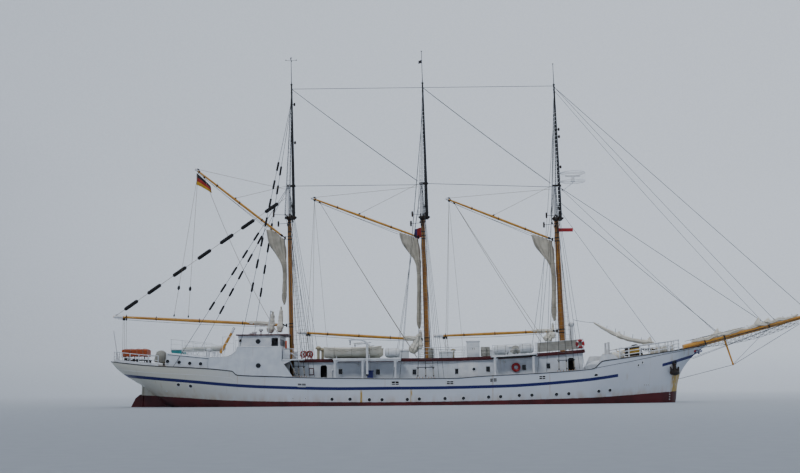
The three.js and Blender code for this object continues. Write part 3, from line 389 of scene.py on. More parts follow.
# Lower masts are a darker, redder varnish than the booms and gaffs
MAST = Grained("varnished_pitch_pine", "#B77F2E", "#9A6220", 0.32, scale=1.5, coat=0.4)
SPAR = Grained("varnished_spruce", "#D39A3C", "#BD832B", 0.3, scale=1.5, coat=0.4)
WIRE = Laid("tarred_galvanised_wire", "#3E4145", "#2A2C30", 0.6, metallic=0.35, scale=8.0)
HEMP = Laid("weathered_rope", "#9C9281", "#7C7263", 0.85, scale=8.0, bump=0.3)
# The brailed sails are the same cloth as the bleached sailcloth, painted a darker grey as painted shade
SAILCLOTH_IN_SHADE = Woven("sailcloth_painted_shade", "#C4BEB0", "#A39D90", 0.88, streak_or_fold_shade="#77705F", scale=2.5, bump=0.25)
COVER = Woven("grey_sail_cover", "#A9A79F", "#8B8982", 0.88, streak_or_fold_shade="#66645E", scale=2.5, bump=0.2)
BLEACHED = Woven("bleached_sailcloth", "#E4E1D8", "#CDC8BB", 0.88, streak_or_fold_shade="#A39C8B", scale=2.5, bump=0.25)
TARPAULIN = Woven("orange_tarpaulin", "#B5562A", "#94401F", 0.8, streak_or_fold_shade="#7A3218", scale=2.0, bump=0.2)
RUBBERISED = Woven("rubberised_boat_fabric", "#D2D3CE", "#B4B7B2", 0.6, scale=3.0, bump=0.1)
GLASS_FIBRE = Finish("weathered_gel_coat", "#E0DCCF", "#CFC9B8", 0.4, streak_or_fold_shade="#8E8369", streaks=0.5,
                     coat=0.2)
CANISTER = Finish("white_gel_coat", "#E6E8EA", "#D2D5D9", 0.35, streak_or_fold_shade="#A79A80", coat=0.3)
DECK = Planked("scrubbed_deck_planks", "#A89C86", "#8B7F6B", 0.8)
PAINTED_DECK = Finish("grey_deck_paint", "#8F9694", "#7B8280", 0.75, streak_or_fold_shade="#6A5A48")
PANE = Finish("dark_window_glass", "#0B0E12", "#141A22", 0.08, coat=0.5, bump=0.0)
# Near-black for the shade inside openings: painted shade
PAINTED_SHADE = Finish("painted_shade_in_openings", "#0A0A0C", "#121215", 0.9, bump=0.0)
BRASS = Finish("tarnished_brass", "#8C7238", "#6A5528", 0.4, metallic=1.0)
BLUE = Finish("blue_enamel", "#252B78", "#1D2260", 0.45)
ORANGE = Finish("orange_enamel", "#C9562A", "#B04A24", 0.5)
BLUE_BUNTING = Woven("blue_bunting", "#4A3E7C", "#3B3168", 0.85, bump=0.1)
NET = Laid("tarred_net_cord", "#4A4A48", "#34352F", 0.85, scale=8.0, bump=0.2)
TEAL = Finish("teal_enamel", "#2E8F93", "#22757A", 0.5)
RED = Finish("red_enamel", "#B3242B", "#951B22", 0.45)
YELLOW = Finish("yellow_enamel", "#D0A83A", "#B98F2B", 0.5)
BEIGE = Finish("beige_enamel", "#B9AE94", "#A0957C", 0.55, streak_or_fold_shade="#7F6F52")
# Rope yarn beaten into a rough dark sleeve
CHAFE = Finish("tarred_rope_yarn", "#1B1B1E", "#2B2A2B", 0.95, scale=30.0, bump=0.9, fine=90.0)
FLAG_RED = Woven("red_bunting", "#A32A28", "#8A2220", 0.85, bump=0.1)
FLAG_GOLD = Woven("gold_bunting", "#C79A2C", "#AF8524", 0.85, bump=0.1)
FLAG_DARK = Woven("black_bunting", "#1B1A22", "#2A2833", 0.85, bump=0.1)
BRONZE = Finish("cast_bronze", "#8A6C32", "#6E5526", 0.35, metallic=1.0)


# Surfaces


@dataclass
class Surface:
    """Points, the corners of each face in turn, the face sizes and a UV pair for every corner."""

    points: np.ndarray
    corners: np.ndarray
    sizes: np.ndarray
    uv: np.ndarray
    slots: np.ndarray

    def mirrored(self, side: Side = Side.PORT) -> "Surface":
        """Gives the surface for a side: itself to starboard, or its mirror image to port.

        Args:
            side: The side.

        Returns:
            The surface.
        """
        if side is Side.STARBOARD:
            return self
        starts = np.cumsum(self.sizes) - self.sizes
        offset = np.arange(len(self.corners)) - np.repeat(starts, self.sizes)
        turned = np.repeat(starts + self.sizes - 1, self.sizes) - offset
        return Surface(self.points * (1, -1, 1), self.corners[turned], self.sizes, self.uv[turned],
                       self.slots)

    def flipped(self) -> "Surface":
        """Gives the surface with its faces turned over."""
        turned = self.mirrored(Side.PORT)
        return Surface(self.points, turned.corners, self.sizes, turned.uv, self.slots)

    def kept(self, keep: np.ndarray) -> "Surface":
        """Gives the surface with only the marked faces and the points that they use.

        Args:
            keep: True for each face that stays.

        Returns:
            The surface.
        """
        loops = np.repeat(keep, self.sizes)
        used, corners = np.unique(self.corners[loops], return_inverse=True)
        return Surface(self.points[used], corners, self.sizes[keep], self.uv[loops], self.slots[keep])

    def outward(self) -> "Surface":
        """Turns the faces over where the surface's signed volume is negative.

        Returns:
            The surface.
        """
        starts = np.cumsum(self.sizes) - self.sizes
        first = np.repeat(self.corners[starts], self.sizes)
        after = np.roll(self.corners, -1)
        ends = np.cumsum(self.sizes) - 1
        after[ends] = self.corners[starts]
        centre = self.points.mean(axis=0)
        a, b, c = (self.points[i] - centre for i in (first, self.corners, after))
        if np.einsum("ij,ij->i", a, np.cross(b, c)).sum() >= 0:
            return self
        return self.flipped()

    def slotted(self, slot: int) -> "Surface":
        """Gives the surface with every face in one material slot."""
        return Surface(self.points, self.corners, self.sizes, self.uv, np.full(len(self.sizes), slot))

    def moved(self, offset: Place) -> "Surface":
        """Gives the surface moved by an offset."""
        return Surface(self.points + np.array(offset), self.corners, self.sizes, self.uv, self.slots)


def both(pieces: Sequence[Surface]) -> list[Surface]:
    """Gives every piece on both sides of the ship."""
    return [piece.mirrored(side) for piece in pieces for side in Side]


def joined(surfaces: Sequence[Surface]) -> Surface:
    """Joins surfaces into one."""
    counts = np.cumsum([0] + [len(s.points) for s in surfaces])
    return Surface(np.concatenate([s.points for s in surfaces]),
                   np.concatenate([s.corners + c for s, c in zip(surfaces, counts)]),
                   np.concatenate([s.sizes for s in surfaces]), np.concatenate([s.uv for s in surfaces]),
                   np.concatenate([s.slots for s in surfaces]))


def grid(points: np.ndarray, uv: Optional[np.ndarray] = None, wrap: bool = False,
         capped: bool = False) -> Surface:
    """Joins rows of points by four-cornered faces.

    Args:
        points: An array of rows, columns and x, y, z.
        uv: The UV of each point, measured along the rows and columns where it isn't given.
        wrap: Whether the last column meets the first.
        capped: Whether the first and last rows are closed by a face each.

    Returns:
        The surface, its faces outward if it is closed.
    """
    rows, columns = points.shape[:2]
    if wrap:
        points = np.concatenate([points, points[:, :1]], axis=1)
    if uv is None:
        along = np.linalg.norm(np.diff(points, axis=0), axis=2).mean(axis=1)
        around = np.linalg.norm(np.diff(points, axis=1), axis=2).mean(axis=0)
        uv = np.stack(np.meshgrid(np.concatenate([[0], np.cumsum(along)]),
                                  np.concatenate([[0], np.cumsum(around)]), indexing="ij"), axis=2)
    elif wrap and uv.shape[1] == columns:
        uv = np.concatenate([uv, uv[:, :1]], axis=1)
    step = np.arange(rows - 1)[:, None], np.arange(points.shape[1] - 1)[None, :]

    def corner(down: int, right: int) -> tuple[np.ndarray, np.ndarray]:
        """Numbers one corner of every face among the points and among the UVs."""
        row, column = np.broadcast_arrays(step[0] + down, step[1] + right)
        seam = column % columns if wrap else column
        return (row * columns + seam).ravel(), (row * points.shape[1] + column).ravel()

    found = [corner(0, 0), corner(1, 0), corner(1, 1), corner(0, 1)]
    corners = np.stack([f[0] for f in found], axis=1).ravel()
    pairs = uv.reshape(-1, 2)[np.stack([f[1] for f in found], axis=1).ravel()]
    sizes = np.full(len(corners) // 4, 4)
    if capped:
        ends = [np.arange(columns), (rows - 1) * columns + np.arange(columns)[::-1]]
        corners = np.concatenate([corners] + ends)
        sizes = np.concatenate([sizes, [columns, columns]])
        pairs = np.concatenate([pairs, uv[0, :columns], uv[-1, :columns][::-1]])
    made = Surface(points[:, :columns].reshape(-1, 3), corners, sizes, pairs, np.zeros(len(sizes), int))
    return made.outward() if wrap else made


def sealed(points: np.ndarray, uv: Optional[np.ndarray] = None) -> Surface:
    """Joins rows of points round themselves and closes both ends."""
    return grid(points, uv, wrap=True, capped=True)


def sheeted(x: np.ndarray, y: np.ndarray, z: np.ndarray) -> np.ndarray:
    """Stacks x, y and z into one grid of points, each spread over the others' shape."""
    return np.stack(np.broadcast_arrays(x, y, z), axis=2)


def around(count: int) -> np.ndarray:
    """Gives angles spread evenly round a circle."""
    return np.arange(count) * (2 * np.pi / count)


def solid(lower: np.ndarray, upper: np.ndarray) -> Surface:
    """Closes the space between two loops of points in the same order by a wall and two flat ends."""
    return sealed(np.stack([lower, upper]))


def prism(outline: Sequence[Place], low: float, high: float, axis: int = 1) -> Surface:
    """Carries a flat outline from low to high along an axis.

    Args:
        outline: The outline's points, in the order of the other two axes.
        low: Where it starts on the axis.
        high: Where it ends.
        axis: 0, 1 or 2 for x, y or z.

    Returns:
        The closed surface.
    """
    flat = np.array(outline, float)
    return solid(*(np.insert(flat, axis, value, axis=1) for value in (low, high)))


def block(low: Place, high: Place) -> Surface:
    """Gives a box between two corners; put() rounds its edges."""
    (x0, y0, z0), (x1, y1, z1) = low, high
    return prism([(x0, y0), (x1, y0), (x1, y1), (x0, y1)], z0, z1, 2)


def framed(path: np.ndarray) -> tuple[np.ndarray, np.ndarray]:
    """Gives two directions square to a path at each of its points, turned as little as it allows.

    Args:
        path: The points of the path.

    Returns:
        The two directions at each point.
    """
    ahead = np.gradient(path, axis=0)
    ahead /= np.linalg.norm(ahead, axis=1, keepdims=True)
    spread = np.abs(ahead).mean(axis=0)
    fixed = np.eye(3)[int(np.argmin(spread))]
    side = np.cross(ahead, fixed)
    side /= np.linalg.norm(side, axis=1, keepdims=True)
    return side, np.cross(side, ahead)


def tube(path: Sequence[Place], radius: Field, turns: int = 8, flat: Field = 1.0,
         closed: bool = False) -> Surface:
    """Carries a circle along a path.

    Args:
        path: The points of the path.
        radius: The radius, or one for each point.
        turns: Points round the circle.
        flat: How tall the section is for its width, along the path's second direction.
        closed: Whether the path meets its own start.

    Returns:
        The closed surface.
    """
    line = np.array(path, float)
    side, up = framed(np.concatenate([line[-1:], line, line[:1]]) if closed else line)
    if closed:
        side, up = side[1:-1], up[1:-1]
    wide = np.broadcast_to(np.asarray(radius, float), len(line))[:, None, None]
    tall = wide * np.broadcast_to(np.asarray(flat, float), len(line))[:, None, None]
    angle = around(turns)
    ring = (line[:, None] + wide * np.cos(angle)[None, :, None] * side[:, None]
            + tall * np.sin(angle)[None, :, None] * up[:, None])
    if closed:
        ring = np.concatenate([ring, ring[:1]])
        doubled = grid(ring, wrap=True)
        count = len(line) * turns
        return Surface(doubled.points[:count], doubled.corners % count, doubled.sizes, doubled.uv,
                       doubled.slots).outward()
    return sealed(ring)


def lathe(start: Place, end: Place, profile: Sequence[Place], turns: int = 20) -> Surface:
    """Turns a profile about the line from start to end.

    Args:
        start: The axis's first point.
        end: Its last point.
        profile: Pairs of a distance along the axis, as a part of its length, and a radius.
        turns: Points round the axis.

    Returns:
        The closed surface.
    """
    first, last = np.array(start, float), np.array(end, float)
    side, up = framed(np.array([first, last]))
    angle = around(turns)
    round_ = np.cos(angle)[:, None] * side[0] + np.sin(angle)[:, None] * up[0]
    table = np.array(profile, float)
    ring = first + table[:, 0, None, None] * (last - first) + table[:, 1, None, None] * round_[None]
    return sealed(ring)


def upright(place: Place, high: float, profile: Sequence[Place], turns: int = 20) -> Surface:
    """Turns a profile about an upright axis that starts at a place."""
    return lathe(place, np.array(place, float) + (0, 0, high), profile, turns)


def rod(start: Place, end: Place, radius: float, thin: Optional[float] = None, turns: int = 8) -> Surface:
    """Gives a straight round bar, tapered where a second radius is given."""
    return lathe(start, end, [(0, radius), (1, radius if thin is None else thin)], turns)


def hoop(centre: Place, normal: Place, radius: float, thick: float, turns: int = 24, flat: float = 1.0,
         section: int = 8) -> Surface:
    """Gives a ring about a centre, square to a normal.

    Args:
        centre: The ring's middle.
        normal: The ring's axis.
        radius: Its radius.
        thick: Radius of its section.
        turns: Points round it.
        flat: How tall the section is for its width.
        section: Points round the section.

    Returns:
        The ring.
    """
    angle = around(turns)
    side, up = framed(np.array([(0, 0, 0), normal], float))
    path = np.array(centre, float) + radius * (np.cos(angle)[:, None] * side[0]
                                               + np.sin(angle)[:, None] * up[0])
    return tube(path, thick, section, flat, closed=True)


def bent(corners: Sequence[Place], round_: float = 0.04) -> np.ndarray:
    """Gives a closed line through corners, each cut by a short chord so that a tube turns it cleanly.

    Args:
        corners: The corners in order.
        round_: How far from a corner it is cut.

    Returns:
        The line's points.
    """
    spots = np.array(corners, float)
    made = []
    for before, spot, after in zip(np.roll(spots, 1, axis=0), spots, np.roll(spots, -1, axis=0)):
        for end in (before, after):
            made.append(spot + (end - spot) * (round_ / np.linalg.norm(end - spot)))
    return np.array(made)


def curve(points: Sequence[Place], steps: int = 24) -> np.ndarray:
    """Draws a smooth line through points, even along their chords.

    Args:
        points: The points.
        steps: How many points the line has.

    Returns:
        The line's points.
    """
    table = np.array(points, float)
    knots = np.concatenate([[0], np.cumsum(np.linalg.norm(np.diff(table, axis=0), axis=1))])
    at = np.linspace(0, knots[-1], steps)
    return np.stack([smooth(knots, table[:, i], at) for i in range(table.shape[1])], axis=1)


def smooth(knots: np.ndarray, values: np.ndarray, at: Field) -> np.ndarray:
    """Interpolates by a monotone cubic, which doesn't overshoot its knots.

    Args:
        knots: Rising places.
        values: The value at each.
        at: Where the values are wanted.

    Returns:
        The value at each place wanted.
    """
    gaps = np.diff(knots)
    slopes = np.diff(values) / gaps
    inner = np.where(slopes[:-1] * slopes[1:] > 0,
                     2 * slopes[:-1] * slopes[1:] / (slopes[:-1] + slopes[1:] + 1e-12), 0.0)
    tangents = np.concatenate([slopes[:1], inner, slopes[-1:]])
    x = np.asarray(at, float)
    i = np.clip(np.searchsorted(knots, x, side="right") - 1, 0, len(gaps) - 1)
    t = np.clip((x - knots[i]) / gaps[i], 0, 1)
    return ((1 + 2 * t) * (1 - t) ** 2 * values[i] + t * (1 - t) ** 2 * gaps[i] * tangents[i]
            + t * t * (3 - 2 * t) * values[i + 1] + t * t * (t - 1) * gaps[i] * tangents[i + 1])


def sag(start: Place, end: Place, drop: float = 0.0, steps: int = 2) -> np.ndarray:
    """Hangs a line from start to end that falls by drop at its middle, as a parabola.

    Args:
        start: Its first point.
        end: Its last point.
        drop: How far its middle falls.
        steps: How many points the line has.

    Returns:
        The line's points.
    """
    part = np.linspace(0, 1, max(steps, 9) if drop else steps)[:, None]
    line = (1 - part) * np.array(start, float) + part * np.array(end, float)
    line[:, 2] -= 4 * drop * (part * (1 - part))[:, 0]
    return line


@dataclass(frozen=True)
class Bend:
    """Where a piece crosses from the ship to a moving body, as the two bodies and two places."""

    first: str
    second: str
    start: Place
    end: Place


def put(name: str, surfaces: Union[Surface, Sequence[Surface]], finishes: Union[Finish, Sequence[Finish]],
        body: str = "ship", bevel: float = 0.0, replaces: Sequence[str] = (),
        bend: Optional[Bend] = None, sharp: float = 40.0) -> bpy.types.Object:
    """Builds one piece from surfaces and gives it its finish and its place in the frame.

    Args:
        name: The piece's name.
        surfaces: Its surfaces, in metres of the real ship.
        finishes: Its finish, or one for each material slot.
        body: The body that it moves with.
        bevel: Width of its rounded edges, in the same metres.
        replaces: Frame nodes that it stands for.
        bend: The joint that it crosses, if any.
        sharp: Edges over this angle, in degrees, stay sharp.

    Returns:
        The new object.
    """
    whole = surfaces if isinstance(surfaces, Surface) else joined(surfaces)
    mesh = bpy.data.meshes.new(name)
    mesh.vertices.add(len(whole.points))
    mesh.vertices.foreach_set("co", (whole.points * K).astype(np.float32).ravel())
    mesh.loops.add(len(whole.corners))
    mesh.loops.foreach_set("vertex_index", whole.corners.astype(np.int32))
    mesh.polygons.add(len(whole.sizes))
    mesh.polygons.foreach_set("loop_start", (np.cumsum(whole.sizes) - whole.sizes).astype(np.int32))
    mesh.update(calc_edges=True)
    mesh.uv_layers.new(name="UVMap").data.foreach_set("uv", (whole.uv * K).astype(np.float32).ravel())
    mesh.polygons.foreach_set("material_index", whole.slots.astype(np.int32))
    for finish in [finishes] if isinstance(finishes, Finish) else finishes:
        mesh.materials.append(finish.material())
    mesh.polygons.foreach_set("use_smooth", np.ones(len(whole.sizes), bool))
    mesh.set_sharp_from_angle(angle=math.radians(sharp))
    mesh.validate()
    made = bpy.data.objects.new(name, mesh)
    bpy.context.scene.collection.objects.link(made)
    if bevel:
        rounding = made.modifiers.new("edges", "BEVEL")
        rounding.width, rounding.segments, rounding.limit_method = bevel * K, 2, "ANGLE"
        rounding.harden_normals = False
    if bend:
        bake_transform(made)
    else:
        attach(made, body)
    if replaces:
        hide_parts(*replaces)
    LOG.info("%s: %d faces", name, len(whole.sizes))
    return made


# The hull


@dataclass(frozen=True)
class HullForm:
    """The hull's shape: sections y = half (1 - (1 - s)^bilge)^(1 / flare), and the lines along it.

    A section's s runs from 0 at its bottom to 1 at the sheer.
    """

    # Station, bottom, half breadth at the sheer, bilge, flare
    sections: tuple = (
        (-27.1, 3.9, 1.25, 2.6, 1.6), (-26.6, 3.35, 2.05, 2.6, 1.65), (-26.1, 2.92, 2.5, 2.5, 1.7),
        (-25.2, 2.35, 3.05, 2.4, 1.7), (-24.3, 1.83, 3.35, 2.3, 1.7), (-23.0, 0.85, 3.6, 2.2, 1.6),
        (-21.5, -0.3, 3.78, 2.1, 1.5), (-19.0, -1.5, 3.93, 2.2, 1.5), (-16.0, -2.45, 4.05, 2.6, 1.65),
        (-12.0, -3.1, 4.12, 3.4, 1.9), (-6.0, -3.42, 4.15, 4.4, 2.0), (0.0, -3.5, 4.15, 4.6, 2.0),
        (6.0, -3.5, 4.12, 4.0, 2.0), (11.0, -3.5, 4.0, 3.0, 1.8), (15.0, -3.48, 3.75, 2.2, 1.5),
        (18.0, -3.42, 3.35, 1.7, 1.25), (20.5, -3.3, 2.8, 1.4, 1.05), (22.5, -2.85, 2.2, 1.25, 0.95),
        (23.6, -1.6, 1.8, 1.2, 0.9), (24.1, 0.0, 1.55, 1.15, 0.87), (24.35, 1.75, 1.42, 1.1, 0.87),
        (24.7, 2.7, 1.25, 1.1, 0.88), (25.2, 3.45, 0.98, 1.1, 0.9), (25.9, 4.2, 0.62, 1.1, 0.95),
        (26.6, 4.75, 0.32, 1.1, 1.0), (27.1, 5.05, 0.14, 1.1, 1.0))
    sheer_line: tuple = ((-27.1, 4.13), (-20, 3.45), (-15, 2.9), (-6, 2.44), (0.9, 2.34), (6.15, 2.5),
                         (11, 2.75), (15, 3.15), (18, 3.8), (25.3, 4.87), (27.1, 5.2))
    rail_line: tuple = ((-27.1, 4.13), (-23.66, 3.75), (-15.7, 3.15), (-15.2, 2.79), (-13.2, 2.68),
                        (-6.15, 2.44), (0.9, 2.34), (4.1, 2.36), (6.15, 2.5), (10.9, 2.7),
                        (14.9, 2.94), (16.2, 3.09), (17, 3.72), (18.5, 3.93), (25.3, 4.87), (27.1, 5.2))
    bottom_paint: tuple = ((-27.1, 1.3), (-24.36, 1.06), (-21.31, 0.91), (-16.57, 0.61), (-13.18, 0.48),
                           (-0.9, 0.31), (14.92, 0.51), (24.08, 1.02), (27.1, 1.2))
    stripe_line: tuple = ((-27.1, 2.96), (-26.15, 2.87), (-20.34, 2.34), (-13.17, 1.74), (-5.27, 1.51),
                          (0.86, 1.51), (7.87, 1.6), (14.93, 2.03), (18.39, 2.46), (22.64, 3.35),
                          (25.92, 4.2), (27.1, 4.5))
    well: tuple = (-11.3, 16.6)
    bulwark: float = 0.95
    plate: float = 0.09

    def line(self, table: tuple, x: Field) -> np.ndarray:
        """Reads a line of (x, value) points at x."""
        knots = np.array(table, float)
        return smooth(knots[:, 0], knots[:, 1], x)

    def rail(self, x: Field) -> np.ndarray:
        """Gives the height of the rail line."""
        return self.line(self.rail_line, x)

    def deck(self, x: Field) -> np.ndarray:
        """Gives the height of the weather deck: sunk in the well, and level with the rail elsewhere."""
        sunk = (np.asarray(x) > self.well[0]) & (np.asarray(x) < self.well[1])
        return self.rail(x) - np.where(sunk, self.bulwark, 0.02)

    def beam(self, x: Field) -> np.ndarray:
        """Gives the half breadth at the rail line."""
        return self.half(x, self.rail(x))

    def shape(self, x: Field, column: int) -> np.ndarray:
        """Reads one column of the sections at x."""
        knots = np.array(self.sections, float)
        return smooth(knots[:, 0], knots[:, column], x)

    def half(self, x: Field, z: Field) -> np.ndarray:
        """Gives the half breadth at a height.

        Args:
            x: Where along the ship.
            z: The height.

        Returns:
            The half breadth.
        """
        bottom, sheer = self.shape(x, 1), self.line(self.sheer_line, x)
        s = np.clip((z - bottom) / (sheer - bottom), 0, 1)
        return self.shape(x, 2) * (1 - (1 - s) ** self.shape(x, 3)) ** (1 / self.shape(x, 4))

    def side(self, x: float, z: float, out: float = 0.0, side: Side = Side.STARBOARD) -> np.ndarray:
        """Gives a point on the plating, or a little outside it."""
        return np.array([x, side.value * (self.half(x, z) + out), z])

    def ribbon(self, xs: np.ndarray, heights: np.ndarray, deep: float, proud: float) -> Surface:
        """Gives a flat strip on the starboard plating, as deep as given and standing proud of it.

        Args:
            xs: The stations.
            heights: The strip's middle height at each.
            deep: How deep it is.
            proud: How far it stands out.

        Returns:
            The strip.
        """
        y = -self.half(xs, heights)
        rows = [np.stack([xs, y - out, heights + up], axis=1)
                for out, up in ((-0.03, -deep / 2), (proud, -deep / 2), (proud, deep / 2),
                                (-0.03, deep / 2))]
        return sealed(np.stack(rows, axis=1))


FORM = HullForm()


@dataclass
class Hull:
    """The shell plating, decks and bulwarks as one skin, with what is fixed on its sides."""

    form: HullForm = FORM
    levels: int = 20
    # Middle x, width, low and high edge over the deck of each opening through the bulwark
    ports: tuple = ((-9.5, 0.75, 0.12, 0.42), (-1.3, 0.66, 0.27, 0.73), (3.5, 0.62, 0.38, 0.7),
                    (7.3, 0.62, 0.38, 0.7), (11.6, 0.58, 0.38, 0.7))
    # Side lights: x and z
    lights: tuple = ((-6.85, 0.6), (-5.27, 0.59), (-3.57, 0.53), (-2.47, 0.53), (-0.26, 0.53), (0.8, 0.56),
                     (3.04, 0.58), (4.65, 0.59), (6.85, 0.67), (7.9, 0.7), (9.54, 0.79), (10.65, 0.8),
                     (12.82, 0.85), (13.91, 0.9), (16.62, 1.08), (17.65, 1.16), (-20.46, 1.99),
                     (-19.35, 1.85))

    def offsets(self) -> np.ndarray:
        """Lists the bulwark's levels over the deck, which include every edge of an opening."""
        edges = [edge for port in self.ports for edge in port[2:]]
        return np.unique(edges + [0.0, 0.55, 0.84, self.form.bulwark])

    def stations(self) -> np.ndarray:
        """Lists the stations: close at the ends, with one on each edge of an opening.

        Returns:
            The stations in order.
        """
        form = self.form
        ends = [e for p in self.ports for e in (p[0] - p[1] / 2, p[0] + p[1] / 2)]
        first, last = form.sections[0][0], form.sections[-1][0]
        xs = np.concatenate([np.linspace(first, -24.3, 13), np.linspace(-24, -16, 17),
                             np.linspace(-15.8, -15.1, 8), np.linspace(-14.6, 16, 60),
                             np.linspace(16.2, 17.1, 8), np.linspace(17.4, 23.4, 15),
                             np.linspace(23.6, last, 26)])
        inside = np.zeros(len(xs), bool)
        for x, wide, _low, _high in self.ports:
            inside |= np.abs(xs - x) <= wide / 2 + 0.02
        steps = [w + e for w in form.well for e in (-0.0005, 0.0005)]
        return np.unique(np.concatenate([xs[~inside], ends, steps]))

    def loop(self, xs: np.ndarray) -> tuple[np.ndarray, np.ndarray]:
        """Lays out the starboard half of every section.

        Args:
            xs: The stations.

        Returns:
            Points by station and column, from the keel up the side, over the rail and in to the middle
            of the deck, and the material slot of each column.
        """
        form = self.form
        bottom, rail, deck = form.shape(xs, 1), form.rail(xs), form.deck(xs)
        upper = np.minimum(form.bulwark, 0.4 * (rail - bottom))
        rising = (np.arange(self.levels) / self.levels) ** 1.35
        share = self.offsets() / form.bulwark
        z = np.concatenate([bottom[:, None] + (rail - upper - bottom)[:, None] * rising,
                            (rail - upper)[:, None] + upper[:, None] * share], axis=1)
        outer = sheeted(xs[:, None], form.half(xs[:, None], z), z)
        inner_z = rail[:, None] - (rail - deck)[:, None] * share
        thick = np.minimum(form.plate, 0.4 * form.half(xs, rail))
        inner = sheeted(xs[:, None], form.half(xs[:, None], inner_z) - thick[:, None], inner_z)
        part = np.array([0.8, 0.55, 0.3, 0.0])
        edge = inner[:, -1, 1]
        across = edge[:, None] * part
        camber = 0.12 * (edge / 4)[:, None] * (1 - part ** 2)
        floor = sheeted(xs[:, None], across, deck[:, None] + camber)
        points = np.concatenate([outer, inner, floor], axis=1) * (1, -1, 1)
        slots = np.zeros(points.shape[1], int)
        slots[outer.shape[1] - 1:] = 1
        slots[outer.shape[1] + inner.shape[1] - 1:] = 2
        return points, slots

    def openings(self, xs: np.ndarray, columns: int) -> np.ndarray:
        """Marks the faces of the starboard half that an opening takes away.

        Args:
            xs: The stations.
            columns: How many columns the starboard half has.

        Returns:
            True or false by station and column.
        """
        share = self.offsets()
        gone = np.zeros((len(xs) - 1, columns), bool)
        middle = (xs[1:] + xs[:-1]) / 2
        count = len(share)
        for x, wide, low, high in self.ports:
            here = np.abs(middle - x) < wide / 2
            level = (share[:-1] > low - 0.001) & (share[1:] < high + 0.001)
            gone[np.ix_(here, self.levels + np.flatnonzero(level))] = True
            # The inner face runs down from the rail
            gone[np.ix_(here, self.levels + count + np.flatnonzero(self.inner_level(low, high)))] = True
        return gone

    def corners(self, port: tuple) -> list[tuple[float, float]]:
        """Lists an opening's four corners as x and z."""
        x, wide, low, high = port
        return [(px, self.form.deck(px) + up) for px, up in (
            (x - wide / 2, low), (x + wide / 2, low), (x + wide / 2, high), (x - wide / 2, high))]

    def inner_level(self, low: float, high: float) -> np.ndarray:
        """Marks the inner face's levels between two heights over the deck."""
        over = self.form.bulwark - self.offsets()
        return (over[:-1] < high + 0.001) & (over[1:] > low - 0.001)

    def build(self) -> None:
        """Builds everything of the hull."""
        self.plating()
        self.edges()
        self.fittings()
        self.marks()
        self.anchors()

    def plating(self) -> None:
        """Builds the skin of both sides in one closed loop per station, and lines its openings."""
        form = self.form
        xs = self.stations()
        half, slots = self.loop(xs)
        other = half[:, -2:0:-1] * (1, -1, 1)
        whole = np.concatenate([half, other], axis=1)
        uv = np.stack([whole[:, :, 2] - form.line(form.bottom_paint, xs)[:, None],
                       whole[:, :, 2] - form.line(form.stripe_line, xs)[:, None]], axis=2)
        skin = sealed(whole, uv)
        columns = half.shape[1]
        gone = self.openings(xs, columns)
        faces = np.concatenate([gone[:, :-1], gone[:, :-1][:, ::-1]], axis=1)
        kinds = np.concatenate([slots[:-1], slots[:-1][::-1]])
        skin.slots[:faces.size] = np.tile(kinds, len(xs) - 1)
        # The slope up to the forecastle is painted plate
        middle = np.repeat((xs[1:] + xs[:-1]) / 2, faces.shape[1])
        slope = (skin.slots[:faces.size] == 2) & (np.abs(middle - 16.75) < 0.6)
        skin.slots[:faces.size][slope] = 1
        keep = np.concatenate([~faces.ravel(), [True, True]])
        put("hull_plating", [skin.kept(keep)] + self.linings(),
            [TOPSIDES, WHITE, DECK], replaces=["hull", "bulwark_starboard", "bulwark_port"])

    def linings(self) -> list[Surface]:
        """Lines each opening through the bulwark, on both sides.

        Returns:
            The linings.
        """
        form = self.form
        made = []
        for port in self.ports:
            loops = []
            for thick in (0.0, form.plate):
                loops.append([(px, thick - form.half(px, z), z) for px, z in self.corners(port)])
            wall = grid(np.array(loops), wrap=True).outward().flipped().slotted(1)
            made += both([wall])
        return made

    def edges(self) -> None:
        """Builds the black moulding along the rail line, the white cap of the bulwark and the lap lines, the
        bow's drawn dark as a painted shadow line.
        """
        form = self.form
        xs = np.unique(np.concatenate([np.linspace(-27.1, 26.9, 120), np.linspace(-15.8, -15.1, 8),
                                       np.linspace(16.2, 17.1, 8)]))
        rail = form.rail(xs)
        outer = form.half(xs, rail)
        line = np.stack([xs, -outer - 0.011, rail - 0.02], axis=1)
        ring = np.concatenate([line, (line * (1, -1, 1))[::-1]])
        put("rail_moulding", tube(ring, 0.04, 8, closed=True), BLACK)
        inside = (xs > form.well[0]) & (xs < 16.2)
        spots = [(out, up) for out, up in ((0.034, -0.04), (0.034, 0.03), (-0.18, 0.03), (-0.18, -0.04))]
        cap = np.stack([np.stack([xs, -outer - out, rail + up], axis=1)[inside] for out, up in spots],
                       axis=1)
        cap = sealed(cap)
        put("rail_caps", both([cap]), WHITE, bevel=0.012)
        fore = np.linspace(16.3, 25.8, 40)
        # A plate lap carries the well's rail line on to the stem; its dark strip is the painted shadow line
        # under the lap
        lap = form.ribbon(fore, np.interp(fore, (16.3, 19.55, 22.6, 26.2), (3.1, 3.67, 4.27, 4.9)), 0.035,
                          0.012)
        aft = np.linspace(-26.9, -15.4, 40)
        lower = form.ribbon(aft, form.rail(aft) - 0.62, 0.03, 0.012)
        put("plate_laps", both([lower]), WHITE)
        put("bow_lap_painted_shadow", both([lap]), IRON)

    def fittings(self) -> None:
        """Builds the side lights, the mooring openings and the overboard pipes, with black plugs in them as
        painted shade.
        """
        frames, panes, lips, dark = [], [], [], []
        for x, z in self.lights:
            at, away = self.form.side(x, z), self.facing(x, z)
            frames.append(hoop(at + away * 0.01, away, 0.17, 0.022, 24))
            panes.append(lathe(at - away * 0.05, at + away * 0.014, [(0, 0.165), (1, 0.165)], 24))
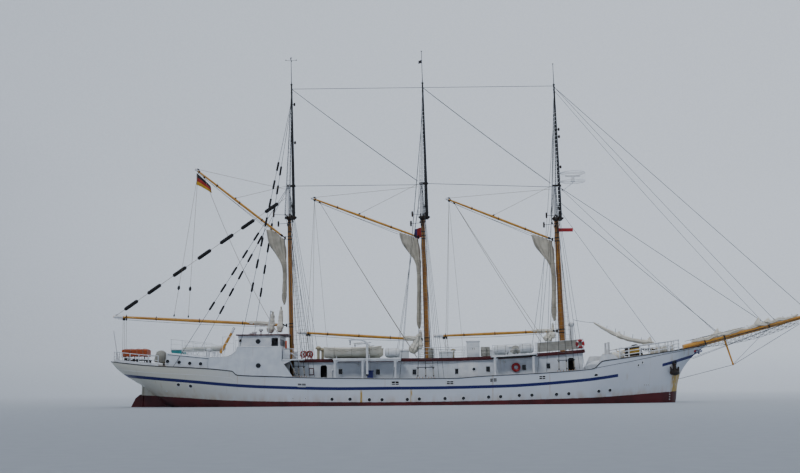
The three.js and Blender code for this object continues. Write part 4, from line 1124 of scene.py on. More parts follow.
        # Oval fairleads in the bow and the forecastle break: x, z, half width, half height
        for x, z, wide, tall in ((16.31, 2.51, 0.26, 0.14), (20.67, 3.59, 0.1, 0.14),
                                 (20.28, 3.36, 0.1, 0.14)):
            at, away = self.form.side(x, z), self.facing(x, z)
            angle = around(24)
            path = at + away * 0.015 + np.stack([wide * np.cos(angle), 0 * angle, tall * np.sin(angle)],
                                                axis=1)
            lips.append(tube(path, 0.03, 8, closed=True))
            inner = at + (path - at - away * 0.015) * 0.97
            # A black plug just inside the fairlead is painted shade
            dark.append(solid(inner - away * 0.06, inner + away * 0.008))
        for x, z in ((-10.27, 0.7), (-9.15, 0.69), (-21.64, 1.43), (20.9, 1.6), (21.1, 1.6), (21.3, 1.6)):
            at, away = self.form.side(x, z), self.facing(x, z)
            lips.append(hoop(at + away * 0.01, away, 0.055, 0.022, 16))
            # A black disc in the pipe's mouth is painted shade
            dark.append(lathe(at - away * 0.04, at + away * 0.006, [(0, 0.05), (1, 0.05)], 16))
        put("side_light_frames", both(frames), WHITE)
        put("side_light_panes", both(panes), PANE)
        put("fairleads_and_pipes", both(lips), WHITE)
        put("fairlead_painted_shade", both(dark), PAINTED_SHADE)

    def facing(self, x: float, z: float) -> np.ndarray:
        """Gives the starboard plating's outward direction at a place.

        Args:
            x: Where along the ship.
            z: The height.

        Returns:
            The direction, of length 1.
        """
        form = self.form
        along = form.side(x + 0.05, z) - form.side(x - 0.05, z)
        up = form.side(x, z + 0.05) - form.side(x, z - 0.05)
        away = np.cross(along, up)
        return away / np.linalg.norm(away)

    def marks(self) -> None:
        """Builds the raised draught ticks, the bow's scroll, the port frames and the dark plates behind the
        ports, which are painted shade.
        """
        form = self.form
        ticks = []
        for x, low, count in ((-23.99, 0.45, 6), (23.4, 0.3, 7)):
            for i in range(count):
                z = low + 0.22 * i
                ticks.append(form.ribbon(np.array([x - 0.05, x + 0.05]), np.array([z, z]), 0.07, 0.012))
        put("draught_ticks", both(ticks), CANISTER)
        scroll = []
        turn = np.linspace(0, 2.2 * np.pi, 30)
        for x, z, size, way, slot in ((26.2, 4.53, 0.2, 1, 0), (26.55, 4.68, 0.15, -1, 0),
                                      (26.05, 4.45, 0.1, -1, 0), (25.98, 4.6, 0.1, 1, 1),
                                      (26.4, 4.42, 0.08, 1, 0)):
            reach = size * (1 - turn / 9)
            sx, sz = x + reach * np.cos(turn), z + way * reach * np.sin(turn)
            path = np.stack([sx, -form.half(sx, sz) - 0.008, sz], axis=1)
            scroll.append(tube(path, 0.045, 6).slotted(slot))
        put("bow_scroll", both(scroll), [BLUE, RED])
        frames, shade_plates = [], []
        for port in self.ports:
            x, wide, low, high = port
            path = [form.side(px, pz, 0.012) for px, pz in self.corners(port)]
            frames.append(tube(bent(path), 0.025, 6, closed=True))
            # A dark plate just inside each port is painted shade seen through the opening
            shade_plates.append(solid(*(np.array([form.side(px, pz, out) for px, pz in self.corners(port)])
                                 for out in (-0.12, -0.09))))
            middle = (low + high) / 2
            frames.append(rod(*[form.side(x + way * wide / 2, form.deck(x) + middle, -0.04)
                                for way in (-1, 1)], 0.025))
            frames.append(rod(*[form.side(x, form.deck(x) + up, -0.04) for up in (low, high)], 0.025))
        put("port_frames", both(frames), WHITE)
        put("port_painted_shade_plates", both(shade_plates), IRON)

    def anchors(self) -> None:
        """Builds the stockless anchor housed on each bow, crown down, with the lips of its pipe."""
        form, away = self.form, self.facing(23.8, 2.9)
        crown, ring = form.side(23.8, 2.66, 0.2), form.side(23.8, 3.5, 0.1)
        along = form.side(24.3, 2.85) - form.side(23.4, 2.85)
        along /= np.linalg.norm(along)
        shank = solid(*(np.array([crown - along * 0.3, crown + along * 0.3, ring + along * 0.09,
                                  ring - along * 0.09]) + away * out for out in (-0.09, 0.09)))
        head = lathe(crown - along * 0.66, crown + along * 0.66,
                     [(0, 0.06), (0.08, 0.17), (0.3, 0.22), (0.5, 0.26), (0.7, 0.22), (0.92, 0.17),
                      (1, 0.06)], 16)
        made = [shank, head]
        for way in (-1, 1):
            root, tip = crown + along * 0.42 * way, crown + along * 0.6 * way + np.array([0, 0, 0.56])
            wing = np.array([root - along * 0.22, root + along * 0.22, tip + along * 0.06 * way])
            made.append(solid(wing - away * 0.06, wing + away * 0.1))
        pipe = hoop(form.side(23.8, 3.5, 0.03), away, 0.22, 0.06)
        put("housed_anchors", both(made), IRON, bevel=0.015,
            replaces=["anchor_starboard", "anchor_port"])
        put("hawse_lips", both([pipe]), BLACK)


# The rig


@dataclass(frozen=True)
class Run:
    """A boom or gaff: the height of its pin, its length aft and its rise, and its radius."""

    z: float
    length: float
    rise: float
    radius: float


@dataclass(frozen=True)
class Mast:
    """A lower mast with its topmast, spars and shroud feet, raked aft."""

    name: str
    x: float
    radius: float
    hounds: float
    cap: float
    head: float
    pole: float
    feet: tuple
    boom: Run
    gaff: Run
    luff: float
    foot: float
    bundle: tuple
    rake: float = 0.022
    step: float = 5.0
    ahead: float = 0.42
    pin_behind: float = 0.44

    def at(self, z: float, out: float = 0.0, y: float = 0.0) -> np.ndarray:
        """Gives a point on the mast's centreline, or a distance ahead of it."""
        return np.array([self.x - self.rake * (z - self.step) + out, y, z])

    def top(self, z: float, y: float = 0.0) -> np.ndarray:
        """Gives a point on the topmast's centreline."""
        return self.at(z, self.ahead, y)

    def on(self, run: Run, out: float, up: float = 0.0, y: float = 0.0) -> np.ndarray:
        """Gives a point on a spar, a distance aft of its pin."""
        pin = self.at(run.z, -self.pin_behind)
        return pin + np.array([-out, y, run.rise * out / run.length + up])

    def end(self, run: Run) -> np.ndarray:
        """Gives a spar's outer end."""
        return self.on(run, run.length)


MASTS = (
    Mast("mizzen", -10.85, 0.21, 17.25, 20.35, 30.2, 32.8, (0.65, 1.1, 1.6), Run(7.33, 16.0, 0.95, 0.155),
         Run(15.45, 8.48, 6.63, 0.12), 1.55, 9.75, (0.9, 3.75, 0.3)),
    Mast("main", 1.58, 0.22, 17.15, 20.45, 30.2, 33.3, (-0.9, -0.2, 0.5), Run(5.91, 11.5, 0.76, 0.14),
         Run(15.4, 10.0, 3.8, 0.12), 1.6, 7.4, (0.3, 1.75, 0.34)),
    Mast("fore", 14.0, 0.26, 16.9, 20.1, 29.9, 31.9, (-0.9, -0.2, 0.5), Run(6.58, 11.35, -0.38, 0.14),
         Run(15.05, 9.85, 3.96, 0.12), 1.75, 8.0, (0.3, 2.5, 0.26)),
)


def ladder(lines: Sequence[tuple], low: float, high: float, step: float, radius: float = 0.012
           ) -> list[Surface]:
    """Ties level rungs across lines that run upward.

    Args:
        lines: Each line's low and high end.
        low: Height of the first rung.
        high: Height that no rung passes.
        step: Space between the rungs.
        radius: The rungs' radius.

    Returns:
        The rungs.
    """
    made = []
    for z in np.arange(low, high, step):
        spots = [np.array(a) + (np.array(b) - a) * ((z - a[2]) / (b[2] - a[2])) for a, b in lines]
        path = np.concatenate([sag(p, q, 0.015, 3)[:-1] for p, q in zip(spots, spots[1:])] + [spots[-1:]])
        made.append(tube(path, radius, 5))
    return made


def pulley(place: Place, toward: Place, size: float = 0.16) -> list[Surface]:
    """Gives a wooden block with its strop, pulled toward a point.

    Args:
        place: Where it is.
        toward: The point that it is pulled toward.
        size: Half its length.

    Returns:
        The shell and the strop.
    """
    at, way = np.array(place, float), np.array(toward, float) - place
    way /= np.linalg.norm(way)
    cheek = [(0, 0.25), (0.12, 0.7), (0.4, 1.0), (0.7, 0.85), (0.92, 0.5), (1, 0.2)]
    shell = lathe(at - way * size, at + way * size, [(t, r * size * 0.62) for t, r in cheek], 10)
    strop = hoop(at, np.cross(way, (0, 1, 0.01)), size * 0.95, size * 0.09, 16)
    return [shell, strop]


def chafe(start: Place, end: Place, part: float, length: float, radius: float) -> Surface:
    """Wraps a sleeve of frayed rope yarn round a line at a part of its length.

    Args:
        start: The line's first point.
        end: The line's last point.
        part: The sleeve's middle, as a part of the line.
        length: Its length.
        radius: Its radius.

    Returns:
        The sleeve.
    """
    first, last = np.array(start, float), np.array(end, float)
    along = (last - first) / np.linalg.norm(last - first)
    centre = first + (last - first) * part
    t = np.linspace(0, 1, 15)
    swell = (1 - np.abs(2 * t - 1) ** 14) ** 0.5 * (1 + 0.09 * np.sin(t * 47 + part * 31)) + 0.12
    return lathe(centre - along * length / 2, centre + along * length / 2,
                 list(zip(t, swell * radius * 0.9)), 10)


@dataclass
class Rig:
    """The three masts, from deck to truck."""

    masts: tuple = MASTS
    crosstree: float = 1.5
    shroud: float = 0.022
    # Bags of each sail's foot: aft and up of the boom's pin where one starts and ends, half width, flatness
    bags: ClassVar[dict] = {"mizzen": ((1.25, 1.3, 1.5, -0.7, 0.36, 1.0),
                                       (0.5, 1.75, 0.6, -0.65, 0.3, 1.0)),
                            "main": ((0.1, 0.75, 0.95, -1.25, 0.42, 1.0),
                                     (0.1, 0.85, 0.2, -0.9, 0.26, 1.0)),
                            "fore": ((0.45, 0.1, 1.0, -0.95, 0.42, 1.0), (0.36, 0.75, 0.4, -0.7, 0.2, 1.0))}

    def build(self) -> None:
        """Builds each mast with its spars, sail and shrouds."""
        for mast in self.masts:
            self.lower(mast)
            self.topmast(mast)
            for kind in ("boom", "gaff"):
                self.spar(mast, kind)
            self.sail(mast)
            self.bundle(mast)
            for side in Side:
                self.shrouds(mast, side)
            self.upper_shrouds(mast)

    def lower(self, mast: Mast) -> None:
        """Builds a lower mast: varnished to the hounds and white above, with its ironwork.

        Args:
            mast: The mast.
        """
        r, foot = mast.radius, 1.45
        stick = lathe(mast.at(foot), mast.at(mast.hounds),
                      [(0, r), (0.35, r), (0.7, 0.93 * r), (1, 0.8 * r)], 28)
        doubling = lathe(mast.at(mast.hounds - 0.05), mast.at(mast.cap + 0.02),
                         [(0, 0.8 * r), (0.1, 0.74 * r), (1, 0.66 * r)], 24).slotted(1)
        x = mast.at(mast.hounds)[0]
        half = self.crosstree
        iron = []
        for run in (mast.boom, mast.gaff):
            for up in (-0.13, 0.115):
                pin = mast.at(run.z, -mast.pin_behind)
                lug = block((pin[0] - 0.07, -0.06, run.z + up - 0.012),
                            (mast.at(run.z)[0], 0.06, run.z + up + 0.012))
                iron.append(lug)
            iron.append(rod(pin - (0, 0, 0.17), pin + (0, 0, 0.17), 0.042, None, 12))
            iron += self.bands(mast, (run.z - 0.16, run.z + 0.14))
        iron += self.bands(mast, (mast.hounds - 0.35, mast.hounds - 1.25))
        low, high = mast.hounds + 0.02, mast.hounds + 0.2
        cheeks = [prism([(x - 0.3, high), (x + 0.67, high), (x + 0.62, low), (x - 0.12, low - 0.25),
                         (x - 0.3, low)], y - 0.05, y + 0.05) for y in (-0.19, 0.19)]
        arms = [tube(curve([(x + dx, -half, high + 0.02), (x + dx, 0, high + 0.06),
                            (x + dx, half, high + 0.02)], 9), 0.045, 8, 1.2) for dx in (-0.22, 0.22)]
        for out, up, y in ((1.4 if mast.name == "mizzen" else 0.95, 0.35, -0.5), (1.1, -0.4, 0.5)):
            lamp = mast.at(mast.hounds + up, -out, y)
            iron += [lathe(lamp - (0, 0, 0.27), lamp + (0, 0, 0.27),
                           [(0, 0.05), (0.15, 0.09), (0.85, 0.09), (1, 0.05)], 12),
                     rod(mast.at(mast.hounds + up), lamp, 0.022)]
        iron.append(hoop(mast.at(mast.hounds + 0.12, 0.15), (0, 0, 1), 0.5, 0.06, 28))
        cap_x = mast.at(mast.cap)[0]
        cap = solid(*(np.array([(cap_x + a, b, z) for a, b in self.oval(0.64, 0.19)])
                      for z in (mast.cap - 0.08, mast.cap + 0.1)))
        put(f"{mast.name}_lower_mast",
            [stick, doubling] + [s.slotted(3) for s in iron + cheeks + arms + [cap]],
            [MAST, WHITE, WHITE, IRON], replaces=[f"{mast.name}_mast"], bevel=0.008)

    def oval(self, length: float, half: float) -> list[tuple[float, float]]:
        """Lists a flat round-ended outline, from a little behind the mast to ahead of the topmast.

        Args:
            length: Its length.
            half: Half breadth.

        Returns:
            The outline's points.
        """
        turn = np.linspace(np.pi / 2, 3 * np.pi / 2, 9)
        aft = [(half * math.cos(a) - 0.02, half * math.sin(a)) for a in turn]
        fore = [(length - 0.2 + half * math.cos(a), half * math.sin(a)) for a in turn + np.pi]
        return aft + fore

    def bands(self, mast: Mast, heights: Sequence[float]) -> list[Surface]:
        """Gives iron bands round a lower mast at some heights.

        Args:
            mast: The mast.
            heights: Height of each band.

        Returns:
            The bands.
        """
        made = []
        for z in heights:
            wide = mast.radius * (1 - 0.2 * max(0.0, (z - 6) / (mast.hounds - 6))) + 0.018
            made.append(lathe(mast.at(z - 0.045), mast.at(z + 0.045), [(0, wide), (1, wide)], 24))
        return made

    def topmast(self, mast: Mast) -> None:
        """Builds a black topmast and its light pole.

        Args:
            mast: The mast.
        """
        low = mast.hounds - 0.1
        stick = lathe(mast.top(low), mast.top(mast.head),
                      [(0, 0.125), (0.05, 0.14), (0.3, 0.135), (1, 0.075)], 20)
        pole = lathe(mast.top(mast.head - 0.3), mast.top(mast.pole), [(0, 0.05), (0.2, 0.035), (1, 0.024)],
                     10)
        bits = [stick, pole]
        for z, wide in ((mast.head - 0.12, 0.11), (mast.head - 0.9, 0.1), (mast.hounds + 0.5, 0.16)):
            bits.append(lathe(mast.top(z), mast.top(z + 0.1), [(0, wide), (1, wide)], 18))
        fid = mast.top(mast.hounds + 0.3)
        bits.append(rod(fid - (0, 0.24, 0), fid + (0, 0.24, 0), 0.035))
        put(f"{mast.name}_upper_mast", bits, BLACK, replaces=[f"{mast.name}_topmast"], bevel=0.006)

    def spar(self, mast: Mast, kind: str) -> None:
        """Builds a boom or a gaff with its end ironwork, and the light paint of its outer end.

        Args:
            mast: The mast.
            kind: "boom" or "gaff".
        """
        run = getattr(mast, kind)
        tip = 1 - (0.9 if kind == "boom" else 0.25) / run.length
        r = run.radius
        stick = lathe(mast.on(run, 0.3), mast.end(run),
                      [(0, 0.62 * r), (0.04, 0.85 * r), (0.5, r), (1, 0.7 * r)], 20)
        end = lathe(mast.on(run, run.length * tip), mast.end(run),
                    [(0, 1.05 * r), (0.3, 0.92 * r), (0.85, 0.98 * r), (1, 0.6 * r)], 18).slotted(1)
        iron = [lathe(mast.at(run.z - 0.095, -mast.pin_behind), mast.at(run.z + 0.085, -mast.pin_behind),
                      [(0, 0.085), (1, 0.085)], 16),
                lathe(mast.on(run, 0.06), mast.on(run, 0.42),
                      [(0, 0.05), (0.4, 0.06), (0.5, 0.72 * r + 0.02), (1, 0.78 * r + 0.012)], 16)]
        for part in (0.25, 0.5, 0.75, tip - 0.02):
            away = run.length * part
            iron.append(lathe(mast.on(run, away), mast.on(run, away + 0.07),
                              [(0, 1.02 * r + 0.012), (1, 1.02 * r + 0.012)], 16))
            iron.append(hoop(mast.on(run, away + 0.035, r + 0.05), (1, 0, 0), 0.05, 0.014, 12))
        put(f"{mast.name}_{kind}_spar", [stick, end] + [s.slotted(2) for s in iron], [SPAR, WHITE, IRON],
            body=f"{mast.name}_{kind}", replaces=[f"{mast.name}_{kind}"], bevel=0.006)

    def sail(self, mast: Mast) -> None:
        """Builds the brailed-up sail: deep folds that fall from the gaff and gather against the mast.

        Args:
            mast: The mast.
        """
        gaff = mast.gaff
        pin = mast.at(gaff.z, -mast.pin_behind)[0]
        reach = mast.luff + 0.3
        slope = gaff.rise / gaff.length
        # Height, fore edge, after edge and half thickness of the gathered cloth
        rows = np.array([(mast.foot - 0.5, 0.05, -0.12, 0.05), (mast.foot + 0.1, 0.2, -0.28, 0.13),
                         (mast.foot + 0.25 * (gaff.z - 2.8 - mast.foot), 0.22, -0.26, 0.16),
                         (mast.foot + 0.7 * (gaff.z - 2.8 - mast.foot), 0.22, -0.22, 0.16),
                         (gaff.z - 2.8, 0.2, -0.26, 0.17),
                         (gaff.z - 1.3, 0.18, -0.3 - 0.5 * (reach - 0.3), 0.16),
                         (gaff.z - 0.5, 0.1, -0.3 - 0.8 * (reach - 0.3), 0.14),
                         (gaff.z + slope * reach * 0.55, -0.02, -reach + 0.02, 0.11)])
        part = np.linspace(0, 1, 46)
        knots = np.linspace(0, 1, len(rows))
        z, fore, aft, half = (smooth(knots, rows[:, i], part) for i in range(4))
        turn = around(44)[None, :]
        fold = np.cos(9 * turn + 2.2 * np.sin(5 * part[:, None]))
        small = np.cos(17 * turn + 7 * part[:, None])
        deep = 1 - 0.34 * (1 - fold) / 2 - 0.1 * (1 - small) / 2
        # Brails pinch the cloth every metre or so
        tie = 1 - 0.16 * np.exp(-((part[:, None] * 8 + 0.4) % 1 - 0.5) ** 2
                                / 0.012) * (part[:, None] < 0.75)
        x = (fore + aft)[:, None] / 2 + (fore - aft)[:, None] / 2 * np.cos(turn) * deep * tie
        y = half[:, None] * np.sin(turn) * (1 - 0.6 * (1 - fold) / 2 - 0.14 * (1 - small) / 2) * tie
        up = z[:, None] + 0 * turn
        # The head follows the underside of the gaff
        under = gaff.z - gaff.radius * 1.3 - slope * x
        up = np.minimum(up, under - 0.01 - 0.03 * (1 - fold))
        cloth = sealed(np.stack([pin + x, y, up], axis=2))
        name = mast.name
        made = put(f"{name}_brailed_sail", cloth, SAILCLOTH_IN_SHADE, body=f"{name}_gaff", replaces=[f"{name}_sail"],
                   sharp=180)
        ties = []
        for i in np.flatnonzero(np.diff(((part * 8 + 0.4) % 1 > 0.5).astype(int)) == 1):
            if part[i] < 0.75:
                centre = (pin + (fore[i] + aft[i]) / 2, 0, z[i])
                ring = hoop(centre, (0, 0, 1), 1.0, 0.012, 20)
                scale = np.array([(fore[i] - aft[i]) / 2 * 0.87 + 0.01, half[i] * 0.87 + 0.01, 1])
                ring.points = np.array(centre) + (ring.points - centre) * scale
                ties.append(ring)
        hanks = []
        for out in np.arange(0.55, reach, 0.35):
            hanks.append(hoop(mast.on(gaff, out, -0.03), (1, 0, 0), gaff.radius + 0.03, 0.012, 16))
        put(f"{name}_brails", ties + hanks, HEMP, body=f"{name}_gaff")

    def bundle(self, mast: Mast) -> None:
        """Builds the lashed foot of the sail: a roll along the boom and the bag that hangs by the mast.

        Args:
            mast: The mast.
        """
        boom = mast.boom
        first, last, radius = mast.bundle
        pin = mast.at(boom.z, -mast.pin_behind)
        out = np.linspace(first, last, 40)
        lines = [(np.stack([out, boom.rise * out / boom.length + 0.05], axis=1), 0.75 * radius, 1)]
        # How far aft and above the boom each bag starts and ends, and its two half widths
        lines += [(np.stack([np.linspace(a, c, 40), np.linspace(b, d, 40)], axis=1), e, f)
                  for a, b, c, d, e, f in self.bags[mast.name]]
        made = []
        for k, (line, size, flat) in enumerate(lines):
            part = np.linspace(0, 1, len(line))
            swell = np.interp(part, (0, 0.04, 0.15, 0.5, 0.8, 0.95, 1),
                              (0.2, 0.3, 0.5, 0.8, 1.08, 0.95, 0.4) if k
                              else (0.3, 0.7, 0.9, 1, 0.9, 0.6, 0.25))
            swell = swell * (1 + 0.08 * np.sin(part * 31 + k))
            swell = swell * (1 - 0.25 * np.exp(-((part * (7, 2)[k > 0] + 0.3) % 1 - 0.5) ** 2 / 0.006))
            path = pin + np.stack([-line[:, 0], 0.07 * k * np.sin(part * 5), line[:, 1]], axis=1)
            cloth = tube(path, size * swell, 36, flat)
            shift = cloth.points - np.repeat(path, 36, axis=0)
            turn = np.tile(np.arange(36) * 2 * np.pi / 36, len(path))
            crease = 0.13 * (1 + np.cos(8 * turn + 6 * np.repeat(part, 36)))
            cloth.points = cloth.points - shift * crease[:, None]
            made.append(cloth)
        piece = put(f"{mast.name}_sail_foot", made, BLEACHED, body=f"{mast.name}_boom", sharp=180)

    def shrouds(self, mast: Mast, side: Side) -> None:
        """Builds one side's lower shrouds, with deadeyes, lanyards and ratlines.

        Args:
            mast: The mast.
            side: The side.
        """
        lines, dead, lanyards = [], [], []
        for k, dx in enumerate(mast.feet):
            x = mast.x + dx
            rail = FORM.rail(x)
            foot = np.array([x, -(FORM.half(x, rail) - 0.06), rail + 0.05])
            head = mast.at(mast.hounds - 0.25, (k - 1) * 0.07, -(0.8 * mast.radius + 0.05))
            way = (head - foot) / np.linalg.norm(head - foot)
            lines.append((foot + way * 0.95, head))
            for up in (0.18, 0.86):
                at = foot + way * up
                dead.append(lathe(at - (0, 0.035, 0), at + (0, 0.035, 0),
                                  [(0, 0.045), (0.3, 0.065), (0.7, 0.065), (1, 0.045)], 14))
            lanyards += [rod(foot + way * 0.2 + (w, 0, 0), foot + way * 0.84 + (w, 0, 0), 0.013, None, 5)
                         for w in (-0.045, 0, 0.045)]
            lanyards.append(rod(foot - way * 0.06, foot + way * 0.12, 0.022, None, 6))
        wires = [tube(sag(*line), self.shroud, 7) for line in lines]
        # A wooden batten spreads the shrouds over the deadeyes
        batten = rod(lines[0][0] - (0.14, 0, 0), lines[-1][0] + (0.14, 0, 0), 0.03)
        rungs = ladder(lines, lines[0][0][2] + 0.35, mast.hounds - 1.6, 0.4)
        made = wires + [s.slotted(1) for s in rungs + lanyards] + [s.slotted(2) for s in dead + [batten]]
        # A second gang of stays stands abaft the shrouds
        for dx in (0.45, 0.9):
            x = mast.x + mast.feet[-1] + dx
            rail = FORM.rail(x)
            made.append(tube(sag((x, -(FORM.half(x, rail) - 0.06), rail + 0.04),
                                 mast.at(mast.cap - 0.1, 0, -0.16)), 0.016, 6))
        put(f"{mast.name}_lower_shrouds_{side.word}", [s.mirrored(side) for s in made], [WIRE, HEMP, BLACK],
            replaces=[f"{mast.name}_shrouds_{side.word}"])

    def upper_shrouds(self, mast: Mast) -> None:
        """Builds the topmast shrouds from the crosstrees, with ratlines, and the futtocks under them.

        Args:
            mast: The mast.
        """
        made, rungs, blocks = [], [], []
        x, z = mast.at(mast.hounds)[0], mast.hounds + 0.24
        half = self.crosstree - 0.05
        lines = [((x + dx, -half * wide, z), tuple(mast.top(mast.head - 1.1, -0.08) + (dx * 0.1, 0, 0)))
                 for dx, wide in ((-0.22, 1.0), (0.22, 1.0))]
        inner = [((x - 0.42, -0.3, z), tuple(mast.top(mast.head - 1.4, -0.05) - (0.08, 0, 0))),
                 ((x + 0.02, -0.34, z), tuple(mast.top(mast.head - 1.4, -0.06)))]
        for pair in (lines, inner):
            made += [tube(sag(*line), 0.017, 6) for line in pair]
            rungs += ladder(pair, z + 0.4, mast.head - 2.6, 0.38, 0.02)
        for dx in (-0.22, 0.22):
            made.append(rod((x + dx, -half, z - 0.04), mast.at(mast.hounds - 1.2, dx * 0.4, -0.17), 0.017,
                            None, 6))
        for dx, y in ((-0.22, 1.35), (0.22, 0.8)):
            blocks += pulley((x + dx, -y, z - 0.36), (x + dx, -y, z + 1), 0.13)
            made.append(rod((x + dx, -y, z - 0.24), (x + dx, -y, z), 0.012, None, 5))
        put(f"{mast.name}_upper_shrouds", both(made), WIRE)
        put(f"{mast.name}_upper_ratlines", both(rungs), WHITE)
        put(f"{mast.name}_hounds_blocks", both(blocks), BLACK)


@dataclass(frozen=True)
class Line:
    """A rope: its ends, its fall at the middle, its radius and the bodies that hold its two ends."""

    start: Place
    end: Place
    fall: float = 0.0
    radius: float = 0.018
    first: str = "ship"
    second: str = "ship"
    sleeves: tuple = ()
    sleeve: tuple = (0.95, 0.1)
    pulleys: bool = True


@dataclass
class Rigging:
    """The standing and running lines between the masts, the spars and the deck."""

    masts: tuple = MASTS

    def build(self) -> None:
        """Builds the lines that stay with the ship in one piece, and each of the others alone."""
        fixed = [line for line in self.lines() if line.first == line.second == "ship"]
        ropes = [tube(sag(rope.start, rope.end, rope.fall), rope.radius, 6) for rope in fixed]
        put("standing_lines", ropes, WIRE)
        ends = [piece for rope in fixed if rope.pulleys for piece in pulley(rope.end, rope.start, 0.12)]
        put("standing_line_blocks", ends, BLACK)
        sleeves = [chafe(rope.start, rope.end, part, *rope.sleeve) for rope in fixed
                   for part in rope.sleeves]
        put("backstay_chafe_gear", sleeves, CHAFE)
        self.pendants(self.masts[0])
        moving = [line for line in self.lines() if line.first != line.second]
        for i, line in enumerate(moving):
            self.moving(f"{line.second}_line_{i}", line)
        for mast in self.masts:
            for kind in ("boom", "gaff"):
                body = f"{mast.name}_{kind}"
                ends = [piece for rope in moving if rope.second == body
                        for piece in pulley(rope.end, rope.start, 0.13)]
                ends += [tube(sag(*rope), 0.016, 6) for rope in self.carried(mast, kind)]
                put(f"{body}_blocks", ends, BLACK, body=body)

    def carried(self, mast: Mast, kind: str) -> list[tuple]:
        """Lists the lines that lie along a spar and go with it.

        Args:
            mast: The mast.
            kind: "boom" or "gaff".

        Returns:
            The start, end and fall of each.
        """
        run = getattr(mast, kind)
        r = run.radius + 0.05
        if kind == "gaff":
            return [(mast.on(run, 0.6, -r), mast.on(run, run.length - 0.2, -r), 0.12),
                    (mast.on(run, 1.9, -r - 0.25), mast.on(run, run.length - 0.5, -r), 0.02)]
        return [(mast.on(run, 1.2, -r), mast.on(run, run.length - 0.4, -r), 0.1)]

    def moving(self, name: str, line: Line) -> None:
        """Builds a line from the ship to a spar, which crosses the spar's joint.

        Args:
            name: The piece's name.
            line: The line.
        """
        path = sag(line.start, line.end, line.fall, 17)
        parts = [tube(path, line.radius, 6)]
        parts += [chafe(line.start, line.end, p, *line.sleeve).slotted(1) for p in line.sleeves]
        put(name, parts, [HEMP, CHAFE], bend=Bend(line.first, line.second, line.start, line.end))

    def pendants(self, mast: Mast) -> None:
        """Builds the vang pendants that hang from the mizzen gaff's peak, with their blocks over the boom.

        Args:
            mast: The mast.
        """
        peak = mast.on(mast.gaff, mast.gaff.length * 0.97, -0.14)
        made = []
        for x, y in ((-1.95, -0.3), (-0.75, 0.3)):
            low = mast.on(mast.boom, mast.at(mast.boom.z, -mast.pin_behind)[0] - peak[0] - x)
            foot = np.array([peak[0] + x, y, low[2] + mast.boom.radius + 0.06])
            path = sag(foot, peak, 0.1, 17)
            made.append(tube(path, 0.016, 6))
            block_at, above = (foot + (peak - foot) * part for part in (0.2, 0.26))
            made += [s.slotted(1) for s in pulley(block_at, above, 0.22)]
            made += [s.slotted(1) for s in pulley(foot + (peak - foot) * 0.012, above, 0.12)]
        put("mizzen_vang_pendants", made, [HEMP, BLACK], body=f"{mast.name}_gaff")

    def lines(self) -> list[Line]:
        """Lists every line.

        Returns:
            The lines.
        """
        mizzen, main, fore = self.masts
        made = []
        for side in Side:
            y = side.value
            a_foot = (-20.93, 3.72 * y, 3.55)
            c_foot = (-15.4, 3.9 * y, 3.3)
            made.append(Line(a_foot, mizzen.at(20.2, -0.1, 0.15 * y), 0, 0.02,
                             sleeves=(0.327, 0.425, 0.52, 0.615, 0.715)))
            made.append(Line(c_foot, mizzen.top(28.6, 0.08 * y), 0, 0.02,
                             sleeves=(0.29, 0.375, 0.455, 0.53, 0.6, 0.67, 0.74)))
            # Backstays and halyards at every mast's rail
            for mast, spots in ((main, (-1.5, -0.9)), (fore, (11.2, 12.0))):
                for k, x in enumerate(spots):
                    rail = FORM.rail(x)
                    foot = (x, (FORM.half(x, rail) - 0.05) * y, rail + 0.05)
                    top = mast.top(mast.head - 1.0 - k, 0.1 * y) if k else mast.at(mast.cap, 0, 0.16 * y)
                    made.append(Line(foot, top, 0, 0.018))
            for mast in self.masts:
                for k in range(3):
                    foot = mast.at(2.9 if mast.name != "mizzen" else 5.3, -0.25 + 0.25 * k,
                                   (0.5 + 0.14 * k) * y)
                    top = mast.at(mast.hounds - 0.6 + 0.9 * k, -0.15 + 0.2 * k, 0.2 * y)
                    made.append(Line(foot, top, 0, 0.014))
        made += self.stays(mizzen, main, fore)
        made += self.spar_lines()
        return made

    def stays(self, mizzen: Mast, main: Mast, fore: Mast) -> list[Line]:
        """Lists the stays between the masts.

        Args:
            mizzen: The mizzen mast.
            main: The main mast.
            fore: The fore mast.

        Returns:
            The stays.
        """
        made = []
        for aft, ahead in ((mizzen, main), (main, fore)):
            made.append(Line(aft.at(aft.cap, 0.6), ahead.at(ahead.cap - 0.1, -0.25), 0, 0.022,
                             pulleys=False))
            for y in (-0.12, 0.12):
                made.append(Line(ahead.at(ahead.cap + 0.25, -0.35, y), aft.top(aft.head - 0.5, y / 2),
                                 0.1, 0.016, pulleys=False))
        made.append(Line((33.54, -0.12, 7.25), fore.top(fore.head - 0.3, -0.06), 0.12, 0.018))
        made.append(Line((32.6, 0.12, 7.0), fore.top(fore.head - 0.6, 0.06), 0.3, 0.016))
        made.append(Line((28.3, 0.1, 6.1), fore.at(fore.cap - 0.4, 0.75, 0.1), 0.12, 0.016))
        return made

    def spar_lines(self) -> list[Line]:
        """Lists the lifts, sheets, peak halyards and vangs, which end on moving spars.

        Returns:
            The lines.
        """
        made = []
        for mast in self.masts:
            name, boom, gaff = mast.name, mast.boom, mast.gaff
            long = name == "mizzen"
            if long:
                made.append(Line(mast.at(mast.hounds + 1.95, -0.35),
                                 mast.on(boom, boom.length - 0.25, 0.12), 0, 0.02, "ship", f"{name}_boom",
                                 (0.082, 0.224, 0.35, 0.482, 0.628, 0.778, 0.913), (1.55, 0.175)))
            for part, up in ((0.97, -0.3), (0.55, 0.0)):
                peak = mast.on(gaff, gaff.length * part, 0.16)
                made.append(Line(mast.at(mast.cap + up, -0.3), peak, 0.0, 0.016, "ship",
                                 f"{name}_gaff"))
            if long:
